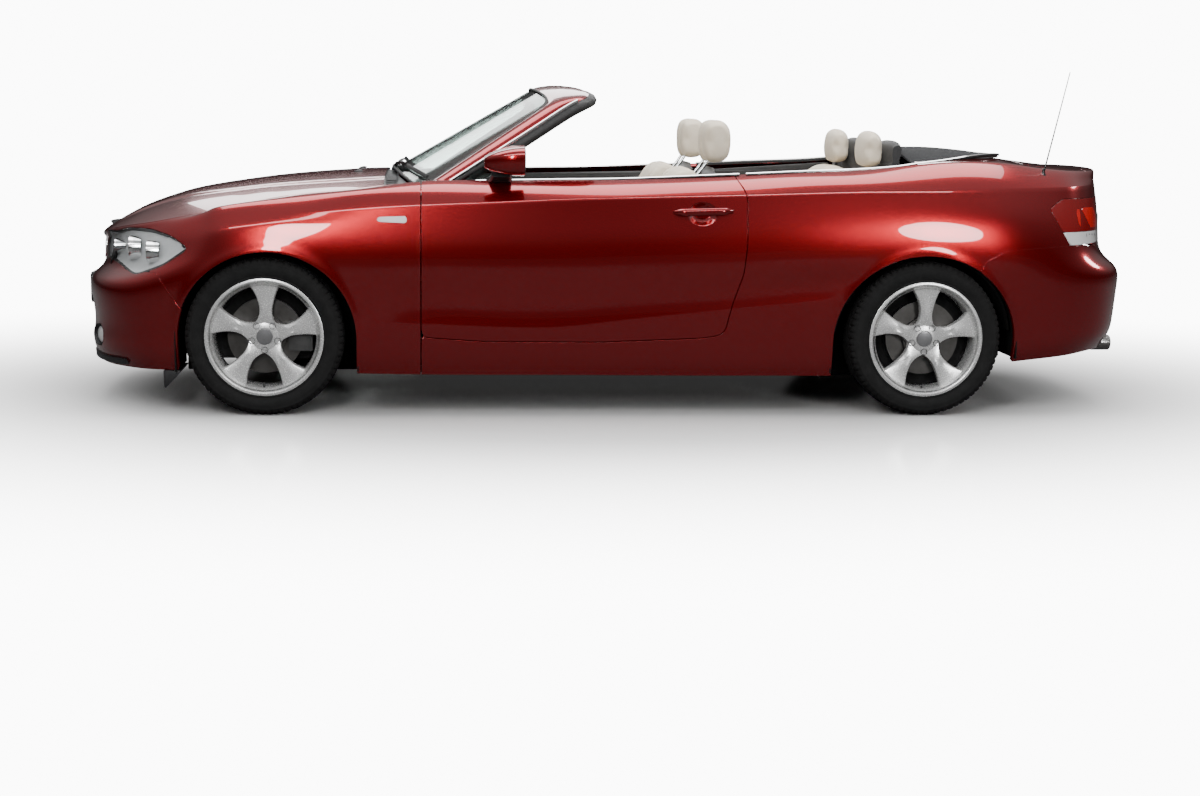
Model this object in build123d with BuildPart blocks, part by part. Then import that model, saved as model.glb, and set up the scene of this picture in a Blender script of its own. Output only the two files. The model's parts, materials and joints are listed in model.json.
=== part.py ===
"""Four-seat convertible car with its soft top stowed, in millimetres.

+X points to the front of the car, +Y to its left side and +Z up. The origin is on the ground, under the
middle of the overall length and width. The outer skin comes from one table of cross-sections; the panels are
cut from that skin along their real shut lines.
"""
from build123d import *
from collections import namedtuple
from math import cos, radians, sin
import os

# ---------------------------------------------------------------- driving dimensions
LENGTH = 4360.0
WHEELBASE = 2660.0
FRONT_AXLE_X = 1420.0
REAR_AXLE_X = FRONT_AXLE_X - WHEELBASE
FRONT_TRACK = 1484.0
REAR_TRACK = 1507.0

TYRE_RADIUS = 314.0
TYRE_WIDTH = 206.0
TYRE_WALL = 12.0
TREAD_WIDTH = 168.0
BEAD_RADIUS = 224.0
FLANGE_RADIUS = 233.0
RIM_WIDTH = 198.0
RIM_WALL = 7.0
RIM_FIT = 0.3            # between tyre bead and rim
FACE_OUT = 84.0          # spoke faces, outboard of the wheel's middle plane
MOUNT_FACE = 42.0        # where the rim meets the hub, outboard of the middle plane
SPOKE_THICK = 30.0
SPOKE_COUNT = 5
BOLT_PCD = 120.0
BOLT_HOLE_R = 13.0
HUB_R = 76.0
DISC_RADIUS = 150.0
DISC_THICK = 22.0
DISC_HAT_R = 82.0
DISC_HAT_BACK = 18.0

SKIN_SIDE = 45.0         # wall thicknesses of the outer skin
SKIN_TOP = 34.0
SKIN_FLOOR = 34.0
SKIN_END = 55.0
INNER_FIT = 0.5          # between the skin and the structure inside it
SHUT_GAP = 6.0           # between a moving panel and its frame
SEAM = 0.6               # between two fixed panels

# wheel housings: centre x and z, radius, and half width where the inner wall stands
FRONT_HOUSE = (FRONT_AXLE_X - 8, TYRE_RADIUS - 6, 352.0, 466.0)
REAR_HOUSE = (REAR_AXLE_X + 4, TYRE_RADIUS - 25, 366.0, 560.0)
LINER_WALL = 8.0

# ---------------------------------------------------------------- outer form
# One row for each cross-section, front to back: half widths y and heights z of the lower edge, the widest
# line, the shoulder crease and the panel edge (bonnet edge or belt), and the height of the crown at y = 0.
Section = namedtuple("Section", "x z_floor y_low z_low y_mid z_mid y_crease z_crease y_edge z_edge z_crown")
SECTIONS = [
    Section(2180, 214, 262, 222, 300, 340, 270, 452, 220, 470, 480),
    Section(2160, 184, 420, 200, 470, 345, 430, 500, 350, 520, 535),
    Section(2126, 174, 540, 190, 592, 350, 545, 590, 440, 672, 704),
    Section(2050, 170, 640, 186, 692, 355, 645, 640, 545, 716, 758),
    Section(1940, 168, 722, 182, 776, 370, 742, 688, 632, 748, 808),
    Section(1770, 165, 790, 178, 838, 390, 812, 738, 694, 794, 864),
    Section(1590, 160, 822, 174, 864, 420, 838, 780, 718, 834, 898),
    Section(1412, 155, 834, 170, 872, 450, 846, 802, 726, 868, 922),
    Section(1150, 150, 838, 165, 866, 440, 846, 818, 728, 900, 946),
    Section(970, 150, 838, 165, 860, 430, 845, 828, 730, 914, 952),
    Section(800, 150, 838, 165, 858, 420, 845, 837, 734, 925, 940),
    Section(400, 150, 838, 165, 858, 420, 846, 858, 738, 936, 944),
    Section(-50, 150, 838, 165, 858, 420, 848, 876, 740, 950, 958),
    Section(-496, 150, 838, 165, 862, 440, 850, 892, 738, 968, 978),
    Section(-840, 150, 838, 165, 870, 470, 852, 904, 728, 986, 1004),
    Section(-1100, 150, 838, 165, 874, 500, 852, 911, 708, 1004, 1056),
    Section(-1300, 154, 836, 172, 874, 500, 846, 916, 690, 1024, 1076),
    Section(-1460, 160, 828, 186, 866, 500, 838, 920, 678, 1034, 1074),
    Section(-1620, 170, 814, 205, 850, 500, 822, 924, 662, 1028, 1050),
    Section(-1780, 185, 785, 228, 824, 500, 792, 928, 650, 1012, 1034),
    Section(-1920, 200, 738, 248, 780, 500, 742, 930, 622, 996, 1018),
    Section(-2030, 215, 662, 262, 712, 500, 655, 900, 560, 978, 1004),
    Section(-2092, 225, 560, 270, 628, 500, 560, 660, 330, 930, 985),
    Section(-2140, 235, 440, 275, 505, 490, 440, 615, 300, 640, 652),
    Section(-2180, 262, 300, 290, 340, 480, 300, 570, 240, 590, 598),
]
CROWN_SHARE_Y = 0.62     # where the crown's shoulder lies, as shares of the edge's half width and rise
CROWN_SHARE_Z = 0.80
LOW_INSET = 70.0         # how far the flat floor stops inside the lower edge


def hull(side=0.0, top=0.0, floor=0.0, end=0.0):
    """The outer form, drawn in by the given wall thicknesses."""
    shrink = (LENGTH / 2 - end) / (LENGTH / 2)
    with BuildPart() as body:
        for s in SECTIONS:
            rise = s.z_crown - s.z_edge
            half = [
                (s.y_low - LOW_INSET - side, s.z_floor + floor),
                (s.y_low - side, s.z_low + floor),
                (s.y_mid - side, s.z_mid),
                (s.y_crease - side, s.z_crease - top / 2),
                (s.y_edge - side, s.z_edge - top),
                (CROWN_SHARE_Y * s.y_edge - side, s.z_edge + CROWN_SHARE_Z * rise - top),
            ]
            left = [(-y, z) for y, z in reversed(half)]
            with BuildSketch(Plane.YZ.offset(s.x * shrink)):
                with BuildLine():
                    Polyline(*half, (0, s.z_crown - top), *left, close=True)
                make_face()
        loft(ruled=True)
    return body.part


def outline(points, gap=0.0):
    """Adds a closed polygon to the sketch, moved out by the gap on every side."""
    Polygon(*points, align=None)
    if gap:
        offset(amount=gap, kind=Kind.INTERSECTION, mode=Mode.REPLACE)


def side_prism(points, y_low, y_high, gap=0.0):
    """A prism seen from the side: (x, z) points between two half widths."""
    with BuildPart() as prism:
        with BuildSketch(Plane.XZ.offset(-y_high)):
            outline(points, gap)
        extrude(amount=y_high - y_low)
    return prism.part


def plan_prism(points, z_low, z_high, gap=0.0):
    """A prism seen from above: (x, y) points of the left half, mirrored to the right."""
    with BuildPart() as prism:
        with BuildSketch(Plane.XY.offset(z_low)):
            outline([*points, *[(x, -y) for x, y in reversed(points) if y > 0]], gap)
        extrude(amount=z_high - z_low)
    return prism.part


def front_prism(points, x_low, x_high, gap=0.0):
    """A prism seen from the front: (y, z) points between two stations along the car."""
    with BuildPart() as prism:
        with BuildSketch(Plane.YZ.offset(x_low)):
            outline(points, gap)
        extrude(amount=x_high - x_low)
    return prism.part


def block(x_low, x_high, y_low, y_high, z_low, z_high, mode=Mode.ADD):
    """An upright box between two corners, in the part being built."""
    with Locations(((x_low + x_high) / 2, (y_low + y_high) / 2, (z_low + z_high) / 2)):
        Box(x_high - x_low, y_high - y_low, z_high - z_low, mode=mode)


def cross_cylinder(x, z, radius, y_low, y_high, mode=Mode.ADD):
    """A cylinder across the car."""
    with Locations(Location((x, (y_low + y_high) / 2, z), (90, 0, 0))):
        Cylinder(radius, y_high - y_low, mode=mode)


def save(builder, name):
    builder.part.label = name
    export_step(builder.part, f"parts/{name}.step")


def save_mirrored(builder, name):
    """The same piece on the right side of the car."""
    with BuildPart() as right:
        mirror(builder.part, about=Plane.XZ)
    save(right, name)


# The glass lies in a bowed sheet: an arc seen from above, carried up and back along a straight rake.
GLASS_RAKE = 1.728       # millimetres back for each millimetre up
GLASS_BOW_R = 1050.0
GLASS_FOOT = (891.0, 976.0)
GLASS_THICK = 6.0
FRAME_THICK = 80.0
SHEET_LOW_Z = 820.0
SHEET_RISE = 560.0
def mirrored(points):
    """A closed (y, z) outline from its left half."""
    return [*points, *[(-y, z) for y, z in reversed(points) if y > 0]]


def bowed_sheet(out, thick, half_y=720.0):
    """The windscreen's raked sheet, its outer face moved forward by `out`."""
    foot_x = GLASS_FOOT[0] + (GLASS_FOOT[1] - SHEET_LOW_Z) * GLASS_RAKE + out
    bow = GLASS_BOW_R - (GLASS_BOW_R**2 - half_y**2) ** 0.5
    with BuildPart() as sheet:
        with BuildSketch(Plane.XY.offset(SHEET_LOW_Z)):
            with BuildLine():
                front = ThreePointArc((foot_x - bow, -half_y), (foot_x, 0), (foot_x - bow, half_y))
                Line(front @ 1, (foot_x - bow - thick, half_y))
                back = ThreePointArc((foot_x - bow - thick, half_y), (foot_x - thick, 0),
                                     (foot_x - bow - thick, -half_y))
                Line(back @ 1, front @ 0)
            make_face()
        extrude(amount=SHEET_RISE * (1 + GLASS_RAKE**2) ** 0.5, dir=(-GLASS_RAKE, 0, 1))
    return sheet.part


os.makedirs("parts", exist_ok=True)

# ---------------------------------------------------------------- shut lines, left side
DOOR_FRONT_X = 803.0
DOOR_INNER_Y = 690.0
DOOR = [
    (DOOR_FRONT_X, 1100), (DOOR_FRONT_X, 318), (560, 302), (100, 300), (-330, 318), (-412, 334),
    (-440, 452), (-484, 576), (-496, 690), (-496, 890), (-450, 972), (-450, 1100),
]
BUMPER_SEAM_TOP = (1838, 566)
BUMPER_SEAM_LOW = (1748, 430)
FRONT_BUMPER = [
    (2300, 60), (2300, 716), (1990, 716), (1990, 566), BUMPER_SEAM_TOP, BUMPER_SEAM_LOW, (1600, 330), (1600, 60),
]
HEADLAMP = [
    (2150, 712), (2150, 600), (1965, 562), (1925, 552), (1813, 594), (1715, 661), (1780, 702), (1870, 724),
    (2000, 724),
]
HEADLAMP_INNER_Y = 350.0
REAR_BUMPER = [
    (-2300, 60), (-2300, 652), (-2040, 652), (-1990, 690), (-1830, 690), (-1560, 676), (-1470, 634), (-1440, 560),
    (-1440, 60),
]
TAIL_LAMP = [(-1745, 846), (-1806, 884), (-2200, 884), (-2200, 706), (-1838, 698)]
TAIL_LAMP_INNER_Y = 420.0
SILL_TOP_INNER_Y = 700.0

HOOD_REAR_X = 964.0
HOOD_FRONT_X = 2140.0
COWL_HALF_Y = 712.0
FLOOR_HALF_Y = 699.0
COWL_REAR = [(808, 640), (846, 560), (912, 300), (938, 0)]
COWL_FRONT_X = HOOD_REAR_X - SHUT_GAP / 2 + SEAM
COWL = [(COWL_FRONT_X, 0), (COWL_FRONT_X, COWL_HALF_Y), (808, COWL_HALF_Y), *COWL_REAR]
TONNEAU_FRONT_X = -1214.0
TONNEAU = [
    (TONNEAU_FRONT_X, 0), (TONNEAU_FRONT_X, 676), (-1300, 664), (-1400, 640), (-1480, 604), (-1550, 540),
    (-1604, 440), (-1640, 290), (-1652, 0),
]
TRUNK_FRONT_X = -1690.0
TRUNK = [
    (TRUNK_FRONT_X, 0), (TRUNK_FRONT_X, 600), (-1780, 618), (-1920, 592), (-1975, 546), (-1988, 400), (-2300, 400),
    (-2300, 0),
]
# the lid's rear corners swing back a little as they rise, so the body is cut further back there
TRUNK_OPENING = [
    (TRUNK_FRONT_X, 0), (TRUNK_FRONT_X, 600), (-1780, 618), (-1926, 600), (-1988, 556), (-2001, 400), (-2300, 400),
    (-2300, 0),
]
TRUNK_LOW_Z = 660.0
CABIN_REAR_X = -1150.0
CABIN_HALF_Y = 690.0
DECK_HALF_Y = 560.0

HEADREST_REAR_Y = 330.0
HOOP_HALF = 120.0
HOOP = [(-1172, 960), (-1172, 1098), (-1188, 1111), (-1204, 1102), (-1206, 1040), (-1206, 960)]

# ---------------------------------------------------------------- outer skin and what is cut from it
outer = hull()
cavity = hull(SKIN_SIDE, SKIN_TOP, SKIN_FLOOR, SKIN_END)
inside = hull(SKIN_SIDE + INNER_FIT, SKIN_TOP + INNER_FIT, SKIN_FLOOR + INNER_FIT, SKIN_END + INNER_FIT)

hood_plan = [(s.x, s.y_edge) for s in SECTIONS if HOOD_REAR_X < s.x < HOOD_FRONT_X]
hood_plan = [(HOOD_FRONT_X, 0), (HOOD_FRONT_X, 330), *hood_plan[:-1], (HOOD_REAR_X, 730), (HOOD_REAR_X, 0)]
HOOD_LOW_Z = 620.0

with BuildPart() as skin:
    add(outer)
    add(cavity, mode=Mode.SUBTRACT)
    for side in (1, -1):
        for x, z, radius, inner_y in (FRONT_HOUSE, REAR_HOUSE):
            y_low, y_high = sorted((side * inner_y, side * 1000))
            cross_cylinder(x, z, radius, y_low, y_high, Mode.SUBTRACT)
            block(x - radius, x + radius, y_low, y_high, 0, z, Mode.SUBTRACT)

with BuildPart() as hood:
    add(skin.part)
    add(plan_prism(hood_plan, HOOD_LOW_Z, 1200, -SHUT_GAP / 2), mode=Mode.INTERSECT)
    for y_low, y_high in ((HEADLAMP_INNER_Y, 1000), (-1000, -HEADLAMP_INNER_Y)):
        add(side_prism(HEADLAMP, y_low, y_high, SHUT_GAP), mode=Mode.SUBTRACT)
    block(2000, 2300, -1000, 1000, 0, 700, Mode.SUBTRACT)
save(hood, "hood")

with BuildPart() as trunk_lid:
    add(skin.part)
    add(plan_prism(TRUNK, TRUNK_LOW_Z, 1200, -SHUT_GAP / 2), mode=Mode.INTERSECT)
    for y_low, y_high in ((TAIL_LAMP_INNER_Y, 1000), (-1000, -TAIL_LAMP_INNER_Y)):
        add(side_prism(TAIL_LAMP, y_low, y_high, SHUT_GAP), mode=Mode.SUBTRACT)
save(trunk_lid, "trunk_lid")

with BuildPart() as tonneau_cover:
    add(skin.part)
    add(plan_prism(TONNEAU, 900, 1200, -SHUT_GAP / 2), mode=Mode.INTERSECT)
save(tonneau_cover, "tonneau_cover")

with BuildPart() as cowl_panel:
    add(skin.part)
    add(plan_prism(COWL, 850, 1200, -SEAM), mode=Mode.INTERSECT)
    add(bowed_sheet(SEAM, FRAME_THICK), mode=Mode.SUBTRACT)
save(cowl_panel, "cowl_panel")

with BuildPart() as headlamps:
    for y_low, y_high in ((HEADLAMP_INNER_Y, 1000), (-1000, -HEADLAMP_INNER_Y)):
        add(side_prism(HEADLAMP, y_low, y_high, -SEAM))
    add(outer, mode=Mode.INTERSECT)
    add(cavity, mode=Mode.SUBTRACT)
save(headlamps, "headlamps")

with BuildPart() as tail_lamps:
    for y_low, y_high in ((TAIL_LAMP_INNER_Y, 1000), (-1000, -TAIL_LAMP_INNER_Y)):
        add(side_prism(TAIL_LAMP, y_low, y_high, -SEAM))
    add(outer, mode=Mode.INTERSECT)
    add(cavity, mode=Mode.SUBTRACT)
save(tail_lamps, "tail_lamps")

# ---------------------------------------------------------------- bumpers and grille
GRILLE_HALF_Y = 300.0
GRILLE_LOW_Z = 585.0
GRILLE_HIGH_Z = 684.0
INTAKE_HALF_Y = 340.0
INTAKE_LOW_Z = 236.0
INTAKE_HIGH_Z = 326.0
FOG_Y = 555.0
FOG_Z = 292.0
FOG_R = 44.0
with BuildPart() as front_bumper:
    add(skin.part)
    add(side_prism(FRONT_BUMPER, -1000, 1000, -SEAM / 2), mode=Mode.INTERSECT)
    add(plan_prism(hood_plan, 690, 1200, SHUT_GAP / 2), mode=Mode.SUBTRACT)
    for y_low, y_high in ((HEADLAMP_INNER_Y, 1000), (-1000, -HEADLAMP_INNER_Y)):
        add(side_prism(HEADLAMP, y_low, y_high), mode=Mode.SUBTRACT)
    block(1900, 2300, -GRILLE_HALF_Y, GRILLE_HALF_Y, GRILLE_LOW_Z, GRILLE_HIGH_Z, Mode.SUBTRACT)
    block(1900, 2300, -INTAKE_HALF_Y, INTAKE_HALF_Y, INTAKE_LOW_Z, INTAKE_HIGH_Z, Mode.SUBTRACT)
    for y in (FOG_Y, -FOG_Y):
        with Locations(Location((2050, y, FOG_Z), (0, 90, 0))):
            Cylinder(FOG_R, 400, mode=Mode.SUBTRACT)
save(front_bumper, "front_bumper")

with BuildPart() as grille:
    for half_y, low, high, x in (
        (GRILLE_HALF_Y, GRILLE_LOW_Z, GRILLE_HIGH_Z, 2082), (INTAKE_HALF_Y, INTAKE_LOW_Z, INTAKE_HIGH_Z, 2118)
    ):
        block(x, x + 14, SEAM - half_y, half_y - SEAM, low + SEAM, high - SEAM)
        block(x, x + 14, 12 - half_y, half_y - 12, low + 12, high - 12, Mode.SUBTRACT)
        step = (high - low) / 5
        for n in (1, 2, 3, 4):
            z = low + n * step
            block(x, x + 14, 8 - half_y, half_y - 8, z - 4, z + 4)
save(grille, "grille")

with BuildPart() as fog_lamps:
    for y in (FOG_Y, -FOG_Y):
        with Locations(Location((2030, y, FOG_Z), (0, 90, 0))):
            Cylinder(FOG_R - SEAM, 60)
save(fog_lamps, "fog_lamps")

TIP_Y = (410.0, 494.0)
TIP_Z = 262.0
TIP_RADIUS = 34.0
with BuildPart() as rear_bumper:
    add(skin.part)
    add(side_prism(REAR_BUMPER, -1000, 1000, -SEAM / 2), mode=Mode.INTERSECT)
    add(plan_prism(TRUNK_OPENING, TRUNK_LOW_Z, 1200, SHUT_GAP / 2), mode=Mode.SUBTRACT)
    for y_low, y_high in ((TAIL_LAMP_INNER_Y, 1000), (-1000, -TAIL_LAMP_INNER_Y)):
        add(side_prism(TAIL_LAMP, y_low, y_high), mode=Mode.SUBTRACT)
    block(-1990, -1440, -560, 560, 0, 400, Mode.SUBTRACT)
    block(-2300, -1900, TIP_Y[0] - TIP_RADIUS - 16, TIP_Y[1] + TIP_RADIUS + 16, 0, TIP_Z + TIP_RADIUS + 12,
          Mode.SUBTRACT)
save(rear_bumper, "rear_bumper")

# ---------------------------------------------------------------- fenders, body sides and deck
with BuildPart() as fender_left:
    add(skin.part)
    block(DOOR_FRONT_X + SHUT_GAP / 2, 2300, 300, 1000, 150, 1200, Mode.INTERSECT)
    add(side_prism(FRONT_BUMPER, -1000, 1000, SEAM / 2), mode=Mode.SUBTRACT)
    add(side_prism(HEADLAMP, HEADLAMP_INNER_Y, 1000), mode=Mode.SUBTRACT)
    add(plan_prism(hood_plan, 500, 1200, SHUT_GAP / 2), mode=Mode.SUBTRACT)
    block(700, HOOD_REAR_X, 0, COWL_HALF_Y, 500, 1200, Mode.SUBTRACT)
    block(700, 2300, 0, FLOOR_HALF_Y + SEAM, 0, 600, Mode.SUBTRACT)
    block(1400, 1900, 0, 1000, 0, 300, Mode.SUBTRACT)
    block(1840, 2300, 0, 1000, 0, 620, Mode.SUBTRACT)
save(fender_left, "fender_left")
save_mirrored(fender_left, "fender_right")

with BuildPart() as body_side_left:
    add(skin.part)
    block(-2300, DOOR_FRONT_X - 2, 500, 1000, 0, 1200, Mode.INTERSECT)
    add(side_prism(DOOR, 0, 1000, SHUT_GAP / 2), mode=Mode.SUBTRACT)
    add(side_prism(REAR_BUMPER, -1000, 1000, SEAM / 2), mode=Mode.SUBTRACT)
    add(side_prism(TAIL_LAMP, 0, 1000), mode=Mode.SUBTRACT)
    add(plan_prism(TONNEAU, 500, 1200, SHUT_GAP / 2), mode=Mode.SUBTRACT)
    add(plan_prism(TRUNK_OPENING, 500, 1200, SHUT_GAP / 2), mode=Mode.SUBTRACT)
    block(TONNEAU_FRONT_X, 1000, 0, CABIN_HALF_Y, 400, 1200, Mode.SUBTRACT)
    block(-3000, 3000, 0, SILL_TOP_INNER_Y, 0, 600, Mode.SUBTRACT)
    block(-1800, -1400, 0, DECK_HALF_Y, 500, 1200, Mode.SUBTRACT)
save(body_side_left, "body_side_left")
save_mirrored(body_side_left, "body_side_right")

GUTTER_HALF = 500.0
GUTTER_X = (TRUNK_FRONT_X - 14, TRUNK_FRONT_X + 18)
GUTTER_NECK_X = (TRUNK_FRONT_X + 6, TRUNK_FRONT_X + 18)
GUTTER_LOW_Z = 962.0
with BuildPart() as gutter:
    block(*GUTTER_X, -GUTTER_HALF, GUTTER_HALF, GUTTER_LOW_Z, 1200)
    add(inside, mode=Mode.INTERSECT)

with BuildPart() as gutter_neck:
    block(*GUTTER_NECK_X, -GUTTER_HALF, GUTTER_HALF, GUTTER_LOW_Z, 1200)
    add(hull(SKIN_SIDE / 2, SKIN_TOP / 2, SKIN_FLOOR / 2, SKIN_END / 2), mode=Mode.INTERSECT)

with BuildPart() as rear_deck:
    add(skin.part)
    block(-1760, -1430, SEAM - DECK_HALF_Y, DECK_HALF_Y - SEAM, 900, 1200, Mode.INTERSECT)
    add(plan_prism(TONNEAU, 500, 1200, SHUT_GAP / 2), mode=Mode.SUBTRACT)
    add(plan_prism(TRUNK_OPENING, 500, 1200, SHUT_GAP / 2), mode=Mode.SUBTRACT)
    # the front edge of the trunk lid rests on a gutter that hangs from the deck
    add(gutter.part)
    add(gutter_neck.part)
save(rear_deck, "rear_deck")

with BuildPart() as rear_shelf:
    add(skin.part)
    block(TONNEAU_FRONT_X + SHUT_GAP + 2, CABIN_REAR_X, SEAM - CABIN_HALF_Y, CABIN_HALF_Y - SEAM, 900, 1200,
          Mode.INTERSECT)
    for y in (HEADREST_REAR_Y, -HEADREST_REAR_Y):
        add(side_prism(HOOP, y - HOOP_HALF, y + HOOP_HALF))
save(rear_shelf, "rear_shelf")

# ---------------------------------------------------------------- doors, handles and mirrors
HANDLE_BAR = (-433.0, -204.0, 806.0, 840.0)
HANDLE_CUP = (-377.0, -252.0, 767.0, 864.0)
HANDLE_OUT_Y = 880.0
HANDLE_CUP_Y = 822.0
HANDLE_GRIP_Y = 858.0
with BuildPart() as door_left:
    add(side_prism(DOOR, DOOR_INNER_Y, 1000, -SHUT_GAP / 2))
    add(outer, mode=Mode.INTERSECT)
    block(HANDLE_BAR[0], HANDLE_BAR[1], HANDLE_CUP_Y - 10, HANDLE_OUT_Y, HANDLE_BAR[2], HANDLE_BAR[3])
    block(HANDLE_CUP[0], HANDLE_CUP[1], HANDLE_CUP_Y, HANDLE_GRIP_Y, HANDLE_CUP[2], HANDLE_CUP[3], Mode.SUBTRACT)
    block(HANDLE_CUP[0], HANDLE_CUP[1], HANDLE_GRIP_Y - 1, HANDLE_OUT_Y + 20, HANDLE_CUP[2], HANDLE_BAR[2],
          Mode.SUBTRACT)
    block(HANDLE_CUP[0], HANDLE_CUP[1], HANDLE_GRIP_Y - 1, HANDLE_OUT_Y + 20, HANDLE_BAR[3], HANDLE_CUP[3],
          Mode.SUBTRACT)
save(door_left, "door_left")
save_mirrored(door_left, "door_right")

MIRROR_FOOT = [(560, 850), (560, 935), (540, 962), (452, 962), (446, 930), (430, 850)]
MIRROR_HEAD = [(553, 975), (546, 1040), (510, 1078), (470, 1086), (402, 1080), (396, 1070), (400, 960), (412, 948),
               (470, 945), (530, 952)]
MIRROR_Y = (852.0, 1012.0)
with BuildPart() as mirror_left:
    add(side_prism(MIRROR_FOOT, 790, MIRROR_Y[0] + 30))
    add(side_prism(MIRROR_HEAD, *MIRROR_Y))
    add(outer, mode=Mode.SUBTRACT)
save(mirror_left, "mirror_left")
save_mirrored(mirror_left, "mirror_right")

# ---------------------------------------------------------------- windscreen
FRAME_OUTER = [(0, 952), (300, 942), (560, 912), (684, 876), (684, 940), (648, 1235), (622, 1268), (560, 1290),
               (400, 1309), (0, 1324)]
FRAME_INNER = [(0, 968), (300, 958), (560, 928), (650, 904), (606, 1215), (576, 1240), (400, 1266), (0, 1284)]


FRAME_BASE_Z = 840.0
FRAME_BASE = [(845, 0), (820, 300), (752, 560), (700, 684), (806, 684), (806, 640), (844, 560), (910, 300),
              (936, 0)]
FRAME_BASE_TOP = [(0, 956), (300, 946), (560, 916), (684, 880), (684, FRAME_BASE_Z)]
with BuildPart() as windscreen_base:
    add(plan_prism(FRAME_BASE, FRAME_BASE_Z, 1000))
    add(front_prism(mirrored(FRAME_BASE_TOP), 0, 1200), mode=Mode.INTERSECT)
with BuildPart() as windscreen_frame:
    add(bowed_sheet(0, FRAME_THICK))
    add(front_prism(mirrored(FRAME_OUTER), 0, 1200), mode=Mode.INTERSECT)
    add(front_prism(mirrored(FRAME_INNER), 0, 1200), mode=Mode.SUBTRACT)
    add(windscreen_base.part)
save(windscreen_frame, "windscreen_frame")

with BuildPart() as windscreen_glass:
    add(bowed_sheet(-8, GLASS_THICK))
    add(front_prism(mirrored(FRAME_INNER), 0, 1200, -0.3), mode=Mode.INTERSECT)
save(windscreen_glass, "windscreen_glass")

WIPER_BLADES = [[(20, 992), (590, 942), (590, 928), (20, 978)], [(-560, 960), (10, 996), (10, 982), (-560, 946)]]
WIPER_ARMS = [[(300, 975), (60, 958), (60, 944), (300, 961)], [(-250, 975), (-480, 944), (-480, 930), (-250, 961)]]
with BuildPart() as wipers:
    for blade, arm in zip(WIPER_BLADES, WIPER_ARMS):
        add(front_prism(blade, 0, 1200))
        add(front_prism(arm, 0, 1200))
    add(bowed_sheet(16, 15.2), mode=Mode.INTERSECT)
    add(outer, mode=Mode.SUBTRACT)
    add(windscreen_base.part, mode=Mode.SUBTRACT)
save(wipers, "wipers")

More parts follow.
